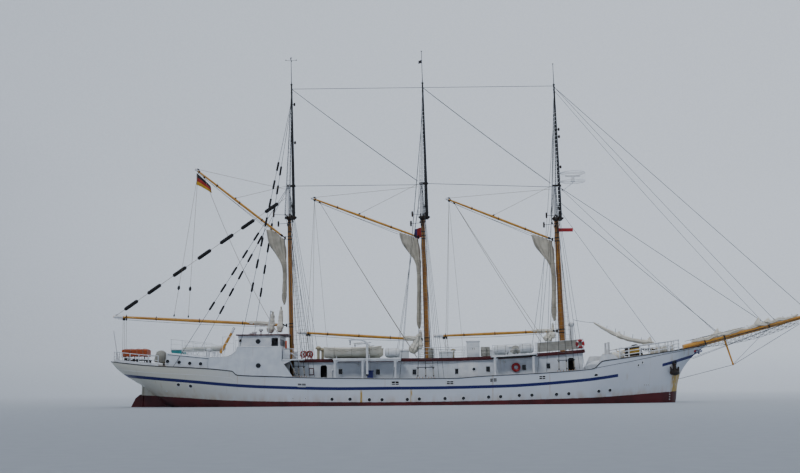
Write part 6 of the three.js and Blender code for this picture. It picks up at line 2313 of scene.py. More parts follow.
@dataclass
class BoatDeck:
    """The boat deck with its side platforms, posts, rails, rafts and boats."""

    ends: tuple = (-9.9, 15.6)
    half: float = 2.95
    thick: float = 0.25
    platforms: tuple = ((-6.8, -0.75, (-6.6, -4.15, -1.3)), (7.2, 11.2, (7.5, 10.9)))
    rafts: tuple = (-1.55, 8.1, 10.3)

    def level(self, x: Field) -> np.ndarray:
        """Gives the deck's height: level aft of x = 3, then rising to the bow end."""
        part = np.clip((np.asarray(x, float) - 3) / (self.ends[1] - 3), 0, 1)
        return 4.17 + 0.64 * part ** 1.6

    def build(self) -> None:
        """Builds the decks and everything on them."""
        self.slabs()
        self.rails()
        self.raft_canisters()
        for side in Side:
            self.lifeboat(side)
            self.davit(side)
        self.gear()

    def slabs(self) -> None:
        """Builds the maroon-edged decks, the white posts and knees that carry the platforms, and a beam
        under each platform's edge: white aft, and black forward as a painted shadow line.
        """
        xs = np.linspace(*self.ends, 40)
        low, high = self.level(xs) - self.thick - 0.07, self.level(xs) - 0.02
        slabs = [hood(xs, self.half, low, high, 0.03, 0.02, 0.25)]
        for first, last, _places in self.platforms:
            part = np.linspace(first, last, 8)
            slabs.append(hood(part, 3.9, self.level(part) - 0.14, self.level(part) - 0.012, 0.03, 0.0,
                              0.15))
        slabs.append(hood([-11.28, -9.8], 2.6, 4.04, 4.155, 0.02, 0.01))
        # Walked faces are deck paint, and the two platforms' edges are white
        for number, slab in enumerate(slabs):
            starts = np.cumsum(slab.sizes) - slab.sizes
            one, two, three = (slab.points[slab.corners[starts + i]] for i in range(3))
            normal = np.cross(two - one, three - one)
            upward = normal[:, 2] > 0.9 * np.linalg.norm(normal, axis=1)
            slab.slots = np.where(upward, 1, 2 * (0 < number < 3))
        put("boat_deck_slabs", slabs, [MAROON, PAINTED_DECK, WHITE], replaces=["boat_deck"])
        edge = np.stack([xs, np.full(40, -self.half - 0.01), self.level(xs) - self.thick + 0.01], axis=1)
        beading = tube(edge, 0.02, 6)
        put("boat_deck_beading", both([beading]), MAROON)
        posts = []
        for first, last, places in self.platforms:
            for x in places:
                deck = FORM.deck(x)
                y = -min(3.8, FORM.beam(x) - 0.32)
                top = self.level(x) - 0.14
                posts.append(lathe((x, y, deck), (x, y, top),
                                   [(0, 0.17), (0.02, 0.17), (0.03, 0.125), (0.97, 0.125), (1, 0.16)], 16))
                posts.append(prism([(x + 0.07, top), (x + 0.4, top), (x + 0.07, top - 0.35)], y - 0.02,
                                   y + 0.02))
            # The beam under the forward platform's edge is black: a painted shadow line
            part = np.linspace(first + 0.05, last - 0.05, 6)
            posts.append(tube(np.stack([part, np.full(6, -3.78), self.level(part) - 0.2], axis=1), 0.085, 8
                              ).slotted(int(first > 0)))
        put("platform_posts", both(posts), [WHITE, BLACK])

    def feet(self, xs: Sequence[float], y: float) -> list[tuple]:
        """Lists stanchion feet on the deck along a line."""
        return [(x, y, self.level(x) - 0.02) for x in xs]

    def rails(self) -> None:
        """Builds the white rails round the open parts of the deck, and the grey weathercloth on one."""
        made = []
        for xs in ((0.9, 2.2, 3.5, 4.9, 6.2), (11.3, 12.3, 13.3, 14.4, 15.4)):
            made += railing(self.feet(xs, -2.88), 0.92, (0.33, 0.66, 1.0))
        made += railing(self.feet((7.3, 8.5, 9.8, 11.1), -3.83), 0.9, (0.5, 1.0), 0.022)
        rails = both(made)
        rails += railing([(15.44, y, self.level(15.44)) for y in (-2.86, -1.4, 0, 1.4, 2.86)], 0.92,
                        (0.33, 0.66, 1.0))
        put("boat_deck_rails", rails, WHITE)
        xs = np.linspace(11.35, 15.35, 60)
        z = np.linspace(0.06, 0.88, 12)
        wave = 0.02 * np.sin(xs[:, None] * 9 + z[None] * 4) * np.sin(np.pi * (z[None] - 0.06) / 0.82)
        face = sheeted(xs[:, None], -2.93 + wave,
                         self.level(xs)[:, None] + z[None])
        inner = face + (0, 0.012, 0)
        loop = np.concatenate([face, inner[:, ::-1]], axis=1)
        cloth = put("weathercloth", sealed(loop), COVER)

    def raft_canisters(self) -> None:
        """Builds the strapped raft canisters on their cradles."""
        cans, straps, cradles = [], [], []
        for x in self.rafts:
            z = self.level(x) + 0.46
            profile = [(0, 0.22), (0.02, 0.3), (0.07, 0.37), (0.14, 0.4), (0.48, 0.4), (0.485, 0.42),
                       (0.515, 0.42), (0.52, 0.4), (0.86, 0.4), (0.93, 0.37), (0.98, 0.3), (1, 0.22)]
            cans.append(lathe((x - 0.66, -3.4, z), (x + 0.66, -3.4, z), profile, 32))
            for dx in (-0.34, 0.34):
                straps.append(lathe((x + dx - 0.02, -3.4, z), (x + dx + 0.02, -3.4, z),
                                    [(0, 0.408), (1, 0.408)], 32))
            for dx in (-0.36, 0.36):
                turn = np.linspace(-2.6, -0.54, 12)
                arc = [(x + dx, -3.4 + 0.43 * math.cos(a), z + 0.43 * math.sin(a)) for a in turn]
                cradles.append(tube(arc, 0.03, 6))
                for dy in (-0.24, 0.24):
                    cradles.append(rod((x + dx, -3.4 + dy, self.level(x) - 0.02),
                                       (x + dx, -3.4 + dy * 0.8, z - 0.28), 0.028))
        put("raft_canisters", both(cans), CANISTER)
        put("raft_straps", both(straps), COVER)
        bag = tube(curve([(9.06, -3.35, 4.5), (9.36, -3.4, 4.92), (9.7, -3.35, 4.6)], 14), 0.27, 16, 1.5)
        turn = np.tile(np.arange(16), 14)
        bag.points[:, 1] += 0.02 * np.cos(turn * 2.4)
        put("covered_net_bundle", both([bag]), COVER)
        put("raft_cradles", both(cradles), WHITE)

    def lifeboat(self, side: Side) -> None:
        """Builds a clinker lifeboat with its gunwale, grab lines, cover and chocks.

        Args:
            side: The side.
        """
        length, half, depth = 5.1, 0.8, 0.82
        part = np.linspace(0, 1, 40)
        x = -5.06 - length / 2 + length * part
        # Breadth, keel and gunwale from the transom forward to the raked stem
        wide = half * np.interp(part, (0, 0.12, 0.35, 0.6, 0.8, 0.92, 1),
                                (0.6, 0.82, 1, 0.98, 0.72, 0.36, 0.03))
        wide = np.convolve(np.pad(wide, 2, "edge"), np.ones(5) / 5, "valid")
        keel = 0.06 + 0.42 * np.clip((part - 0.8) / 0.2, 0,
                                     1) ** 2.2 + 0.08 * np.clip(0.12 - part, 0, 1) * 6
        top = depth + 0.2 * (2 * part - 0.9) ** 2
        strakes, per = 8, 4
        up = np.linspace(0, 1, strakes * per + 1)
        # Each strake's lower edge stands 15 mm proud of the one below
        lap = 0.018 * (1 - (up * strakes) % 1) * (up < 1)
        y = wide[:, None] * (1 - (1 - up[None]) ** 2.3) ** 0.62 + lap[None] * np.minimum(1, up[None] * 6)
        z = keel[:, None] + (top - keel)[:, None] * up[None] ** 1.15
        shell = sheeted(x[:, None], -y, z)
        cover_y = wide[:, None] * np.array([0.97, 0.66, 0.33, 0.0])[None]
        ridge = 0.05 + 0.12 * np.sin(np.pi * part)
        cover_z = top[:, None] + ridge[:, None] * (1 - np.array([1, 0.55, 0.2, 0.0]))[None]
        cover_z[:, 1:] += 0.008 * np.sin(part * 55)[:, None]
        cover = sheeted(x[:, None], -cover_y, cover_z)
        halfway = np.concatenate([shell, cover], axis=1)
        whole = np.concatenate([halfway, halfway[:, -2:0:-1] * (1, -1, 1)], axis=1)
        hull = sealed(whole)
        columns = whole.shape[1]
        kind = np.zeros(columns, int)
        kind[shell.shape[1] - 1:columns - shell.shape[1] + 1] = 1
        hull.slots[:-2] = np.tile(kind, len(x) - 1)
        edge = np.stack([x, -wide - 0.015, top], axis=1)
        gunwale = tube(np.concatenate([edge, (edge * (1, -1, 1))[::-1]]), 0.035, 8, 1.3, closed=True)
        bits = [hull, gunwale.slotted(2)]
        keelson = tube(np.stack([x, 0 * x, keel - 0.02], axis=1), 0.035, 6)
        bits.append(keelson.slotted(2))
        for sign in (-1, 1):
            for k in range(7):
                a, b = 3 + k * 5, 8 + k * 5 if k < 6 else 37
                line = sag((x[a], sign * (wide[a] + 0.03), top[a] - 0.12),
                           (x[b], sign * (wide[b] + 0.03), top[b] - 0.12), 0.1, 7)
                line[:, 1] = sign * (np.interp(line[:, 0], x, wide) + 0.03)
                bits.append(tube(line, 0.012, 5).slotted(3))
        for share in (0.18, 0.5, 0.82):
            i = int(share * 39)
            strap = [(x[i], s * w, h)
                     for s, w, h in ((-1, wide[i] * 0.72, keel[i] + 0.18),
                                     (-1, wide[i] + 0.03, keel[i] + 0.5), (-1, wide[i] + 0.04, top[i]),
                                     (-1, 0.0, top[i] + ridge[i] + 0.02), (1, wide[i] + 0.04, top[i]),
                                     (1, wide[i] + 0.03, keel[i] + 0.5),
                                     (1, wide[i] * 0.72, keel[i] + 0.18))]
            bits.append(tube(curve(strap, 30), 0.016, 5).slotted(3))
        placed = [s.moved((0, -2.95, 4.17)).mirrored(side) for s in bits]
        put(f"ship_lifeboat_{side.word}", placed, [GLASS_FIBRE, BLEACHED, GLASS_FIBRE, HEMP],
            replaces=[f"lifeboat_{side.word}"], sharp=28)
        chocks = []
        for px in (-6.5, -3.6):
            arc = np.linspace(-2.5, -0.64, 10)
            seat = [(px, 0.62 * math.cos(a), 0.66 + 0.58 * math.sin(a)) for a in arc]
            chocks.append(tube(seat, 0.045, 6))
            for y in (-0.42, 0.42):
                chocks.append(rod((px, y, -0.02), (px, y * 0.8, 0.22), 0.045))
        put(f"lifeboat_chocks_{side.word}", [s.moved((0, -2.95, 4.17)).mirrored(side) for s in chocks],
            WHITE)

    def davit(self, side: Side) -> None:
        """Builds a davit with its bracing arm and its fall, which hangs from its own head.

        Args:
            side: The side.
        """
        x, y = -3.75, -4.09
        post = curve([(x, y, 2.62), (x, y, 4.2), (x, y, 5.2), (x - 0.12, y, 5.55), (x - 0.5, y, 5.76),
                      (x - 1.0, y, 5.8), (x - 1.6, y, 5.76)], 40)
        parts = [tube(post, np.interp(np.linspace(0, 1, 40), (0, 0.5, 1), (0.1, 0.1, 0.07)), 14)]
        parts.append(tube(curve([(x - 0.95, y, 5.32), (x - 0.5, y, 5.42), (x, y, 5.5), (x + 0.35, y, 5.56)],
                                12), 0.05, 10))
        ball = lathe((x - 1.58, y, 5.7), (x - 1.58, y, 5.82),
                     [(0, 0.03), (0.3, 0.075), (0.7, 0.075), (1, 0.03)], 14)
        iron = pulley((x - 1.5, y, 5.6), (x - 1.5, y, 6),
                      0.1) + pulley((x - 1.5, y, 5.38), (x - 1.5, y, 6), 0.08)
        iron += [rod((x - 1.5 + dx, y, 5.4), (x - 1.5 + dx, y, 5.56), 0.012, None, 5)
                 for dx in (-0.04, 0.04)]
        iron.append(lathe((x, y, 2.62), (x, y, 2.75), [(0, 0.12), (1, 0.1)], 16))
        put(f"boat_davit_{side.word}",
            [s.mirrored(side) for s in parts + [ball] + [s.slotted(1) for s in iron]], [WHITE, IRON],
            body=f"davit_{side.word}", replaces=[f"davit_{side.word}"])

    def gear(self) -> None:
        """Builds the hose reels, vents, locker, skylights and casks that stand on the deck."""
        reels, hubs = [], []
        for x in (-9.5, -8.95):
            z = self.level(x) + 0.42
            for out in (-2.75, -2.35):
                reels.append(hoop((x, out, z), (0, 1, 0), 0.28, 0.035, 24))
                reels += [rod((x, out, z), (x + 0.27 * math.cos(a), out, z + 0.27 * math.sin(a)), 0.02,
                              None, 6) for a in around(6)]
            for k in range(8):
                hubs.append(hoop((x, -2.72 + 0.05 * k, z), (0, 1, 0), 0.2, 0.026, 20))
            for y in (-2.8, -2.3):
                reels.append(rod((x - 0.2, y, z - 0.42), (x, y, z), 0.022))
                reels.append(rod((x + 0.2, y, z - 0.42), (x, y, z), 0.022))
        put("hose_reels", reels, RED)
        put("reeled_hoses", hubs, HEMP)
        vents = []
        for x, y, high, wide in ((-8.2, -2.3, 1.15, 0.13), (-8.2, 2.3, 1.15, 0.13), (4.0, 0.9, 0.9, 0.12)):
            z = self.level(x)
            vents.append(upright((x, y, z), high,
                                 [(0, wide * 1.3), (0.03, wide), (0.72, wide), (0.75, wide * 1.9),
                                  (0.85, wide * 2.1), (0.95, wide * 1.3), (1, 0.03)], 24))
        put("mushroom_vents", vents, BEIGE)
        z = self.level(14.75)
        trunk = lathe((14.85, 0, z), (14.85, 0, 7.4),
                      [(0, 0.24), (0.03, 0.18), (0.84, 0.17), (0.86, 0.25), (0.9, 0.28), (0.94, 0.28),
                       (0.98, 0.16), (1, 0.04)], 28)
        put("vent_trunk", trunk, WHITE)
        z = self.level(5.7)
        body = hood([5.14, 6.26], 0.56, z, z + 1.36, 0.03, 0, 0.05, -1.7)
        lid = hood([5.08, 6.32], 0.62, z + 1.36, z + 1.44, 0.05, 0.03, 0.06, -1.7)
        doors = [hood([5.2 + 0.52 * k, 5.68 + 0.52 * k], 0.012, z + 0.12, z + 1.26, 0.01, 0, 0, -2.27)
                 for k in (0, 1)]
        put("tall_locker", [body, lid] + doors, WHITE, replaces=["deck_locker"])
        handles = [rod((x, -2.3, z + 0.65), (x, -2.3, z + 0.8), 0.018) for x in (5.62, 5.78)]
        put("locker_handles", handles, BRASS)
        boxes, tops = [], []
        for first, last, half, high, y in ((-1.6, -0.1, 0.7, 0.7, 0.6), (6.9, 8.6, 0.75, 0.55, 0),
                                           (9.0, 10.4, 0.6, 0.75, 0.2), (-7.4, -6.0, 0.6, 0.6, 0.2),
                                           (2.7, 3.9, 0.6, 0.5, -0.2)):
            z = self.level(first)
            boxes.append(hood([first, last], half, z - 0.02, z + high, 0.03, 0, 0.05, y))
            tops.append(hood([first - 0.05, last + 0.05], half + 0.05, z + high, z + high + 0.08, 0.04,
                             0.12, 0.05, y))
        put("skylight_coamings", boxes, HOUSE_WHITE_IN_SHADE)
        put("skylight_tops", tops, WHITE)
        drums = []
        for x, y in ((6.6, -2.3), (6.95, -1.9), (1.9, -2.4)):
            z = self.level(x)
            drums.append(upright((x, y, z), 0.85, [(0, 0.22), (0.03, 0.25), (0.3, 0.25), (0.33, 0.265),
                                                   (0.36, 0.25), (0.64, 0.25), (0.67, 0.265), (0.7, 0.25),
                                                   (0.97, 0.25), (1, 0.22)], 24))
        put("deck_drums", drums, COVER)
        put("rail_lifebuoys", both([lifebuoy((15.15, -2.98, 5.27), 0.3, 0.1)]), [RED, WHITE])


@dataclass
class Forecastle:
    """The forecastle's gear, whose rails are the frame's, and the windlass."""

    def build(self) -> None:
        """Builds the windlass and its chain, bitts, hatch and planks on the rail, then the rails."""
        deck = FORM.deck(20.5) + 0.08
        y = 1.15
        drum = [(0, 0.1), (0.05, 0.3), (0.08, 0.3), (0.1, 0.2), (0.3, 0.24), (0.34, 0.4), (0.38, 0.4),
                (0.42, 0.28), (0.58, 0.28), (0.62, 0.4), (0.66, 0.4), (0.7, 0.24), (0.9, 0.2), (0.92, 0.3),
                (0.95, 0.3), (1, 0.1)]
        body = lathe((20.6, -y, deck + 0.62), (20.6, y, deck + 0.62), drum, 28)
        cheeks = [prism([(19.95, deck - 0.05), (21.25, deck - 0.05), (20.95, deck + 0.8),
                         (20.6, deck + 1.0), (20.25, deck + 0.8)], w - 0.06, w + 0.06)
                  for w in (-0.55, 0.55)]
        motor = hood([19.7, 20.3], 0.4, deck - 0.05, deck + 0.7, 0.08, 0.03, 0.1)
        put("anchor_windlass", [body] + cheeks + [motor], IRON, bevel=0.015, replaces=["windlass"])
        chain = []
        for w in (-0.55, 0.55):
            for k in range(11):
                x = 21.0 + 0.2 * k
                z = deck + 0.62 - 0.035 * k + 0.01 * k * k * 0.3
                link = hoop((x, w * (1 - 0.02 * k), max(z, FORM.deck(x) + 0.12)), (0, k % 2, 1 - k % 2),
                            0.1, 0.03, 12)
                middle = link.points.mean(axis=0)
                link.points = middle + (link.points - middle) * (1.3, 0.8, 0.8)
                chain.append(link)
        put("anchor_chain", chain, IRON)
        bitts = []
        for x, w in ((18.9, 2.4), (23.4, 1.3)):
            bitts += posts(x, -w, FORM.deck(x))
        base = FORM.deck(18.05)
        bitts.append(lathe((18.05, -0.8, base), (18.05, -0.8, 5.5),
                           [(0, 0.12), (0.9, 0.09), (0.92, 0.11), (0.98, 0.11), (1, 0.05)], 14))
        put("forecastle_bitts", both(bitts), WHITE)
        hatch = hood([18.4, 19.3], 0.6, FORM.deck(18.6), FORM.deck(18.6) + 0.6, 0.04, 0.06, 0.08)
        put("forecastle_hatch", hatch, HOUSE_WHITE_IN_SHADE)
        xs = (19.5, 20.0, 20.5)
        boards = []
        for k in range(3):
            path = [(x, -FORM.beam(x) + 0.16, FORM.rail(x) + 0.3 + 0.16 * k) for x in xs]
            boards.append(tube(path, 0.022, 6, 3.2))
        put("stowed_boards", both(boards), YELLOW)
        self.rails()

    def rails(self) -> None:
        """Builds the forecastle's stout pipe rail, the plating at its after end and the gear behind it."""
        xs = (18.6, 19.45, 20.5, 21.4, 22.3, 23.2, 23.75, 24.25)
        feet = [(x, -FORM.beam(x) + 0.1, FORM.rail(x) - 0.02) for x in xs]
        made = railing(feet, 0.9, (0.32, 0.64, 1.0), 0.055)
        put("forecastle_pipe_rail", both(made), WHITE)
        part = np.linspace(16.55, 18.6, 42)
        top = np.maximum(np.interp(part, (16.55, 16.95, 18.0, 18.6), (3.45, 4.3, 4.32, 3.86)),
                         FORM.rail(part) + 0.02)
        low = FORM.rail(part) - 0.03
        y = -FORM.beam(part) + 0.03
        face = [np.stack([part, y + dy, z], axis=1)
                for dy, z in ((0, low), (0, top), (0.05, top), (0.05, low))]
        plate = sealed(np.stack(face, axis=1))
        put("forecastle_breakwater", both([plate]), WHITE,
            replaces=["forecastle_rail_starboard", "forecastle_rail_port"])
        bags = []
        for x, z, size in ((18.2, 0.3, 0.32), (18.75, 0.35, 0.3), (22.5, 0.35, 0.24), (22.95, 0.4, 0.22),
                           (23.7, 0.3, 0.2)):
            base = FORM.rail(x)
            y = -FORM.beam(x) + 0.55
            bag = lathe((x, y, base), (x, y, base + z + size),
                        [(0, size * 0.8), (0.2, size), (0.6, size * 0.95), (0.85, size * 0.6), (1, 0.05)],
                        18)
            turn = np.arctan2(bag.points[:, 1] - y, bag.points[:, 0] - x)
            bag.points[:, 2] += 0.03 * np.sin(turn * 5)
            bags.append(bag)
        put("covered_forecastle_gear", both(bags), BLEACHED)


@dataclass
class HeadRig:
    """The bowsprit with its furled headsails, net and guys."""

    heel: Place = (25.0, 0.0, 4.92)
    tip: Place = (37.3, 0.0, 7.95)

    def on(self, x: float, up: float = 0.0, y: float = 0.0) -> np.ndarray:
        """Gives a point on the bowsprit's centreline."""
        part = (x - self.heel[0]) / (self.tip[0] - self.heel[0])
        return np.array([x, y, self.heel[2] + part * (self.tip[2] - self.heel[2]) + up])

    def build(self) -> None:
        """Builds the bowsprit and everything on it."""
        stick = lathe(self.heel, self.tip, [(0, 0.29), (0.3, 0.27), (0.65, 0.22), (0.97, 0.165), (1, 0.14)],
                      28)
        bands = [lathe(self.on(x), self.on(x + 0.12), [(0, r), (1, r)], 24)
                 for x, r in ((26.9, 0.3), (28.7, 0.285), (32.8, 0.24), (36.8, 0.195))]
        cap = lathe(self.on(37.08), self.on(37.3), [(0, 0.17), (0.8, 0.16), (1, 0.08)], 20)
        striker = lathe(self.on(28.8, -0.2), (29.5, 0, 3.3),
                        [(0, 0.1), (0.9, 0.075), (0.93, 0.1), (1, 0.06)], 14)
        put("ship_bowsprit", [stick, striker] + [s.slotted(1) for s in bands] + [cap.slotted(2)],
            [SPAR, IRON, WHITE], replaces=["bowsprit"], bevel=0.008)
        self.headsails()
        self.staysail()
        self.guys()

    def headsails(self) -> None:
        """Builds the two furled headsails along the top of the bowsprit, with their gaskets."""
        part = np.linspace(0, 1, 90)
        x = 25.75 + 9.9 * part
        size = 1.4 * np.interp(part, (0, 0.03, 0.2, 0.4, 0.47, 0.6, 0.85, 0.97, 1),
                               (0.06, 0.15, 0.2, 0.19, 0.11, 0.17, 0.15, 0.1, 0.04))
        pinch = 1 - 0.2 * np.exp(-((part * 12) % 1 - 0.5) ** 2 / 0.008)
        turn = around(30)[None]
        fold = 1 - 0.15 * (1 + np.cos(8 * turn + 10 * part[:, None])) * pinch[:, None]
        wide = (size * pinch)[:, None] * 1.25 * fold
        centre = np.array([self.on(v, 0.3 - 0.07 * p) for v, p in zip(x, part)])
        lump = 0.06 * np.sin(part * 33) + 0.03 * np.sin(part * 71)
        points = np.stack([centre[:, 0:1] + 0 * turn, wide * np.cos(turn),
                           centre[:, 2:3] + lump[:, None] + 0.8 * wide * np.sin(turn)], axis=2)
        knots = [self.knot(self.on(v, 0.5), h, 0.28) for v, h in ((28.1, 0.5), (31.9, 0.55), (32.8, 0.25))]
        made = put("furled_headsail_pair", [sealed(points)] + knots, BLEACHED, sharp=180,
                   replaces=["furled_headsails"])
        ties = []
        for k in range(12):
            p = (k + 0.5) / 12
            v = 25.75 + 9.9 * p
            reach = float(np.interp(p, part, size)) * 0.98
            ring = hoop(self.on(v, 0.1), (1, 0, 0.2), 1.0, 0.014, 24)
            middle = self.on(v, 0.1)
            ring.points = middle + (ring.points - middle) * (1, reach * 1.05, 0.28 + reach * 0.7)
            ties.append(ring)
        put("headsail_gaskets", ties, HEMP)

    def knot(self, place: Place, high: float, wide: float) -> Surface:
        """Gives a bunched head of sail that stands up from its roll, creased round its sides.

        Args:
            place: Where it is.
            high: How high it stands.
            wide: Its width.

        Returns:
            The closed surface.
        """
        foot = np.array(place, float) - (0, 0, 0.2)
        part = np.linspace(0, 1, 15)
        size = wide * np.interp(part, (0, 0.2, 0.5, 0.8, 1), (1.3, 1.2, 0.8, 0.4, 0.08))
        cloth = lathe(foot, foot + (0.12, 0, high + 0.2), list(zip(part, size)), 28)
        turn = np.arctan2(cloth.points[:, 1], cloth.points[:, 0] - foot[0])
        cloth.points = cloth.points + (0.03 * np.sin(turn * 6)[:, None]) * (1, 0.6, 1)
        return cloth

    def staysail(self) -> None:
        """Builds the fore staysail, stopped in a hanging bundle under its stay."""
        part = np.linspace(0, 1, 60)
        x = 16.9 + 5.45 * part
        z = 7.3 - 1.9 * part - 0.45 * np.sin(np.pi * part)
        size = np.interp(part, (0, 0.1, 0.3, 0.42, 0.7, 0.93, 1), (0.08, 0.15, 0.22, 0.26, 0.21, 0.26, 0.1))
        turn = around(22)[None]
        pinch = 1 - 0.2 * np.exp(-((part * 7) % 1 - 0.5) ** 2 / 0.01)
        fold = (1 - 0.14 * (1 + np.cos(7 * turn + 8 * part[:, None]))) * pinch[:, None]
        points = np.stack([x[:, None] + 0 * turn, 0.9 * size[:, None] * np.cos(turn) * fold,
                           z[:, None] + size[:, None] * np.sin(turn) * fold], axis=2)
        knots = [self.knot((v, 0, h), 0.3, 0.24) for v, h in ((19.1, 6.2), (21.9, 5.65))]
        made = put("stopped_staysail", [sealed(points)] + knots, BLEACHED, sharp=180)
        lines = [sag((14.12, 0, 17.75), (23.1, 0, 4.6)), sag((15.0, 0, 7.6), (16.9, 0, 7.3), 0.05),
                 sag((22.35, 0, 5.4), (23.1, 0, 4.5))]
        for k in range(7):
            p = (k + 0.5) / 7
            low = (16.9 + 5.45 * p, 0, 7.3 - 1.9 * p - 0.45 * math.sin(math.pi * p))
            up = 0.52 * math.sin(math.pi * p) + 0.06
            lines.append(sag((low[0], 0, low[2]), (low[0] + 0.05, 0, low[2] + up)))
        put("staysail_lines", [tube(line, 0.016, 6) for line in lines], WIRE, replaces=["furled_staysail"])

    def guys(self) -> None:
        """Builds the bobstays, the bowsprit guys, the net and the foot ropes."""
        lines = [((29.5, 0, 3.35), (37.0, 0, 7.75), 0.02), ((29.5, 0, 3.35), (24.45, 0, 2.1), 0.02),
                 ((29.5, 0, 3.4), (32.9, 0, 6.7), 0.014)]
        for y in (-1, 1):
            lines.append(((36.9, 0.1 * y, 7.85), (24.6, 1.3 * y, 4.75), 0.02))
            lines.append(((32.9, 0.15 * y, 6.8), (24.3, 1.4 * y, 4.7), 0.018))
            lines.append(((34.8, 0.12 * y, 7.2), (25.6, 0.8 * y, 3.9), 0.016))
            lines.append(((30.6, 0.5 * y, 6.75), (25.4, 0.95 * y, 5.55), 0.016))
        put("bowsprit_guys", [tube(sag(a, b), r, 6) for a, b, r in lines], WIRE)
        net = []
        # The net hangs in a trough from the two upper guys, between the stem and the outer band
        along = np.linspace(26.2, 35.6, 26)
        across = np.linspace(-1, 1, 9)
        wide = np.interp(along, (26.2, 36.9), (1.05, 0.12))
        low = 0.5 * np.sin(np.pi * (along - 26.2) / 10.5) + 0.12
        trough = np.array([[self.on(v, -0.1 - d * (1 - a * a) - 0.15 * (1 - abs(a)), w * a) for a in across]
                           for v, w, d in zip(along, wide, low)])
        net += [tube(row, 0.01, 4) for row in trough]
        for shift in (-1, 1):
            for first in range(-8, 26, 2):
                cells = [(first + j, j if shift > 0 else 8 - j) for j in range(9)]
                path = [trough[i, j] for i, j in cells if 0 <= i < 26]
                if len(path) > 2:
                    net.append(tube(path, 0.01, 4))
        net += [tube(trough[:, j], 0.013, 5) for j in (0, 8)]
        put("bowsprit_net", net, NET)


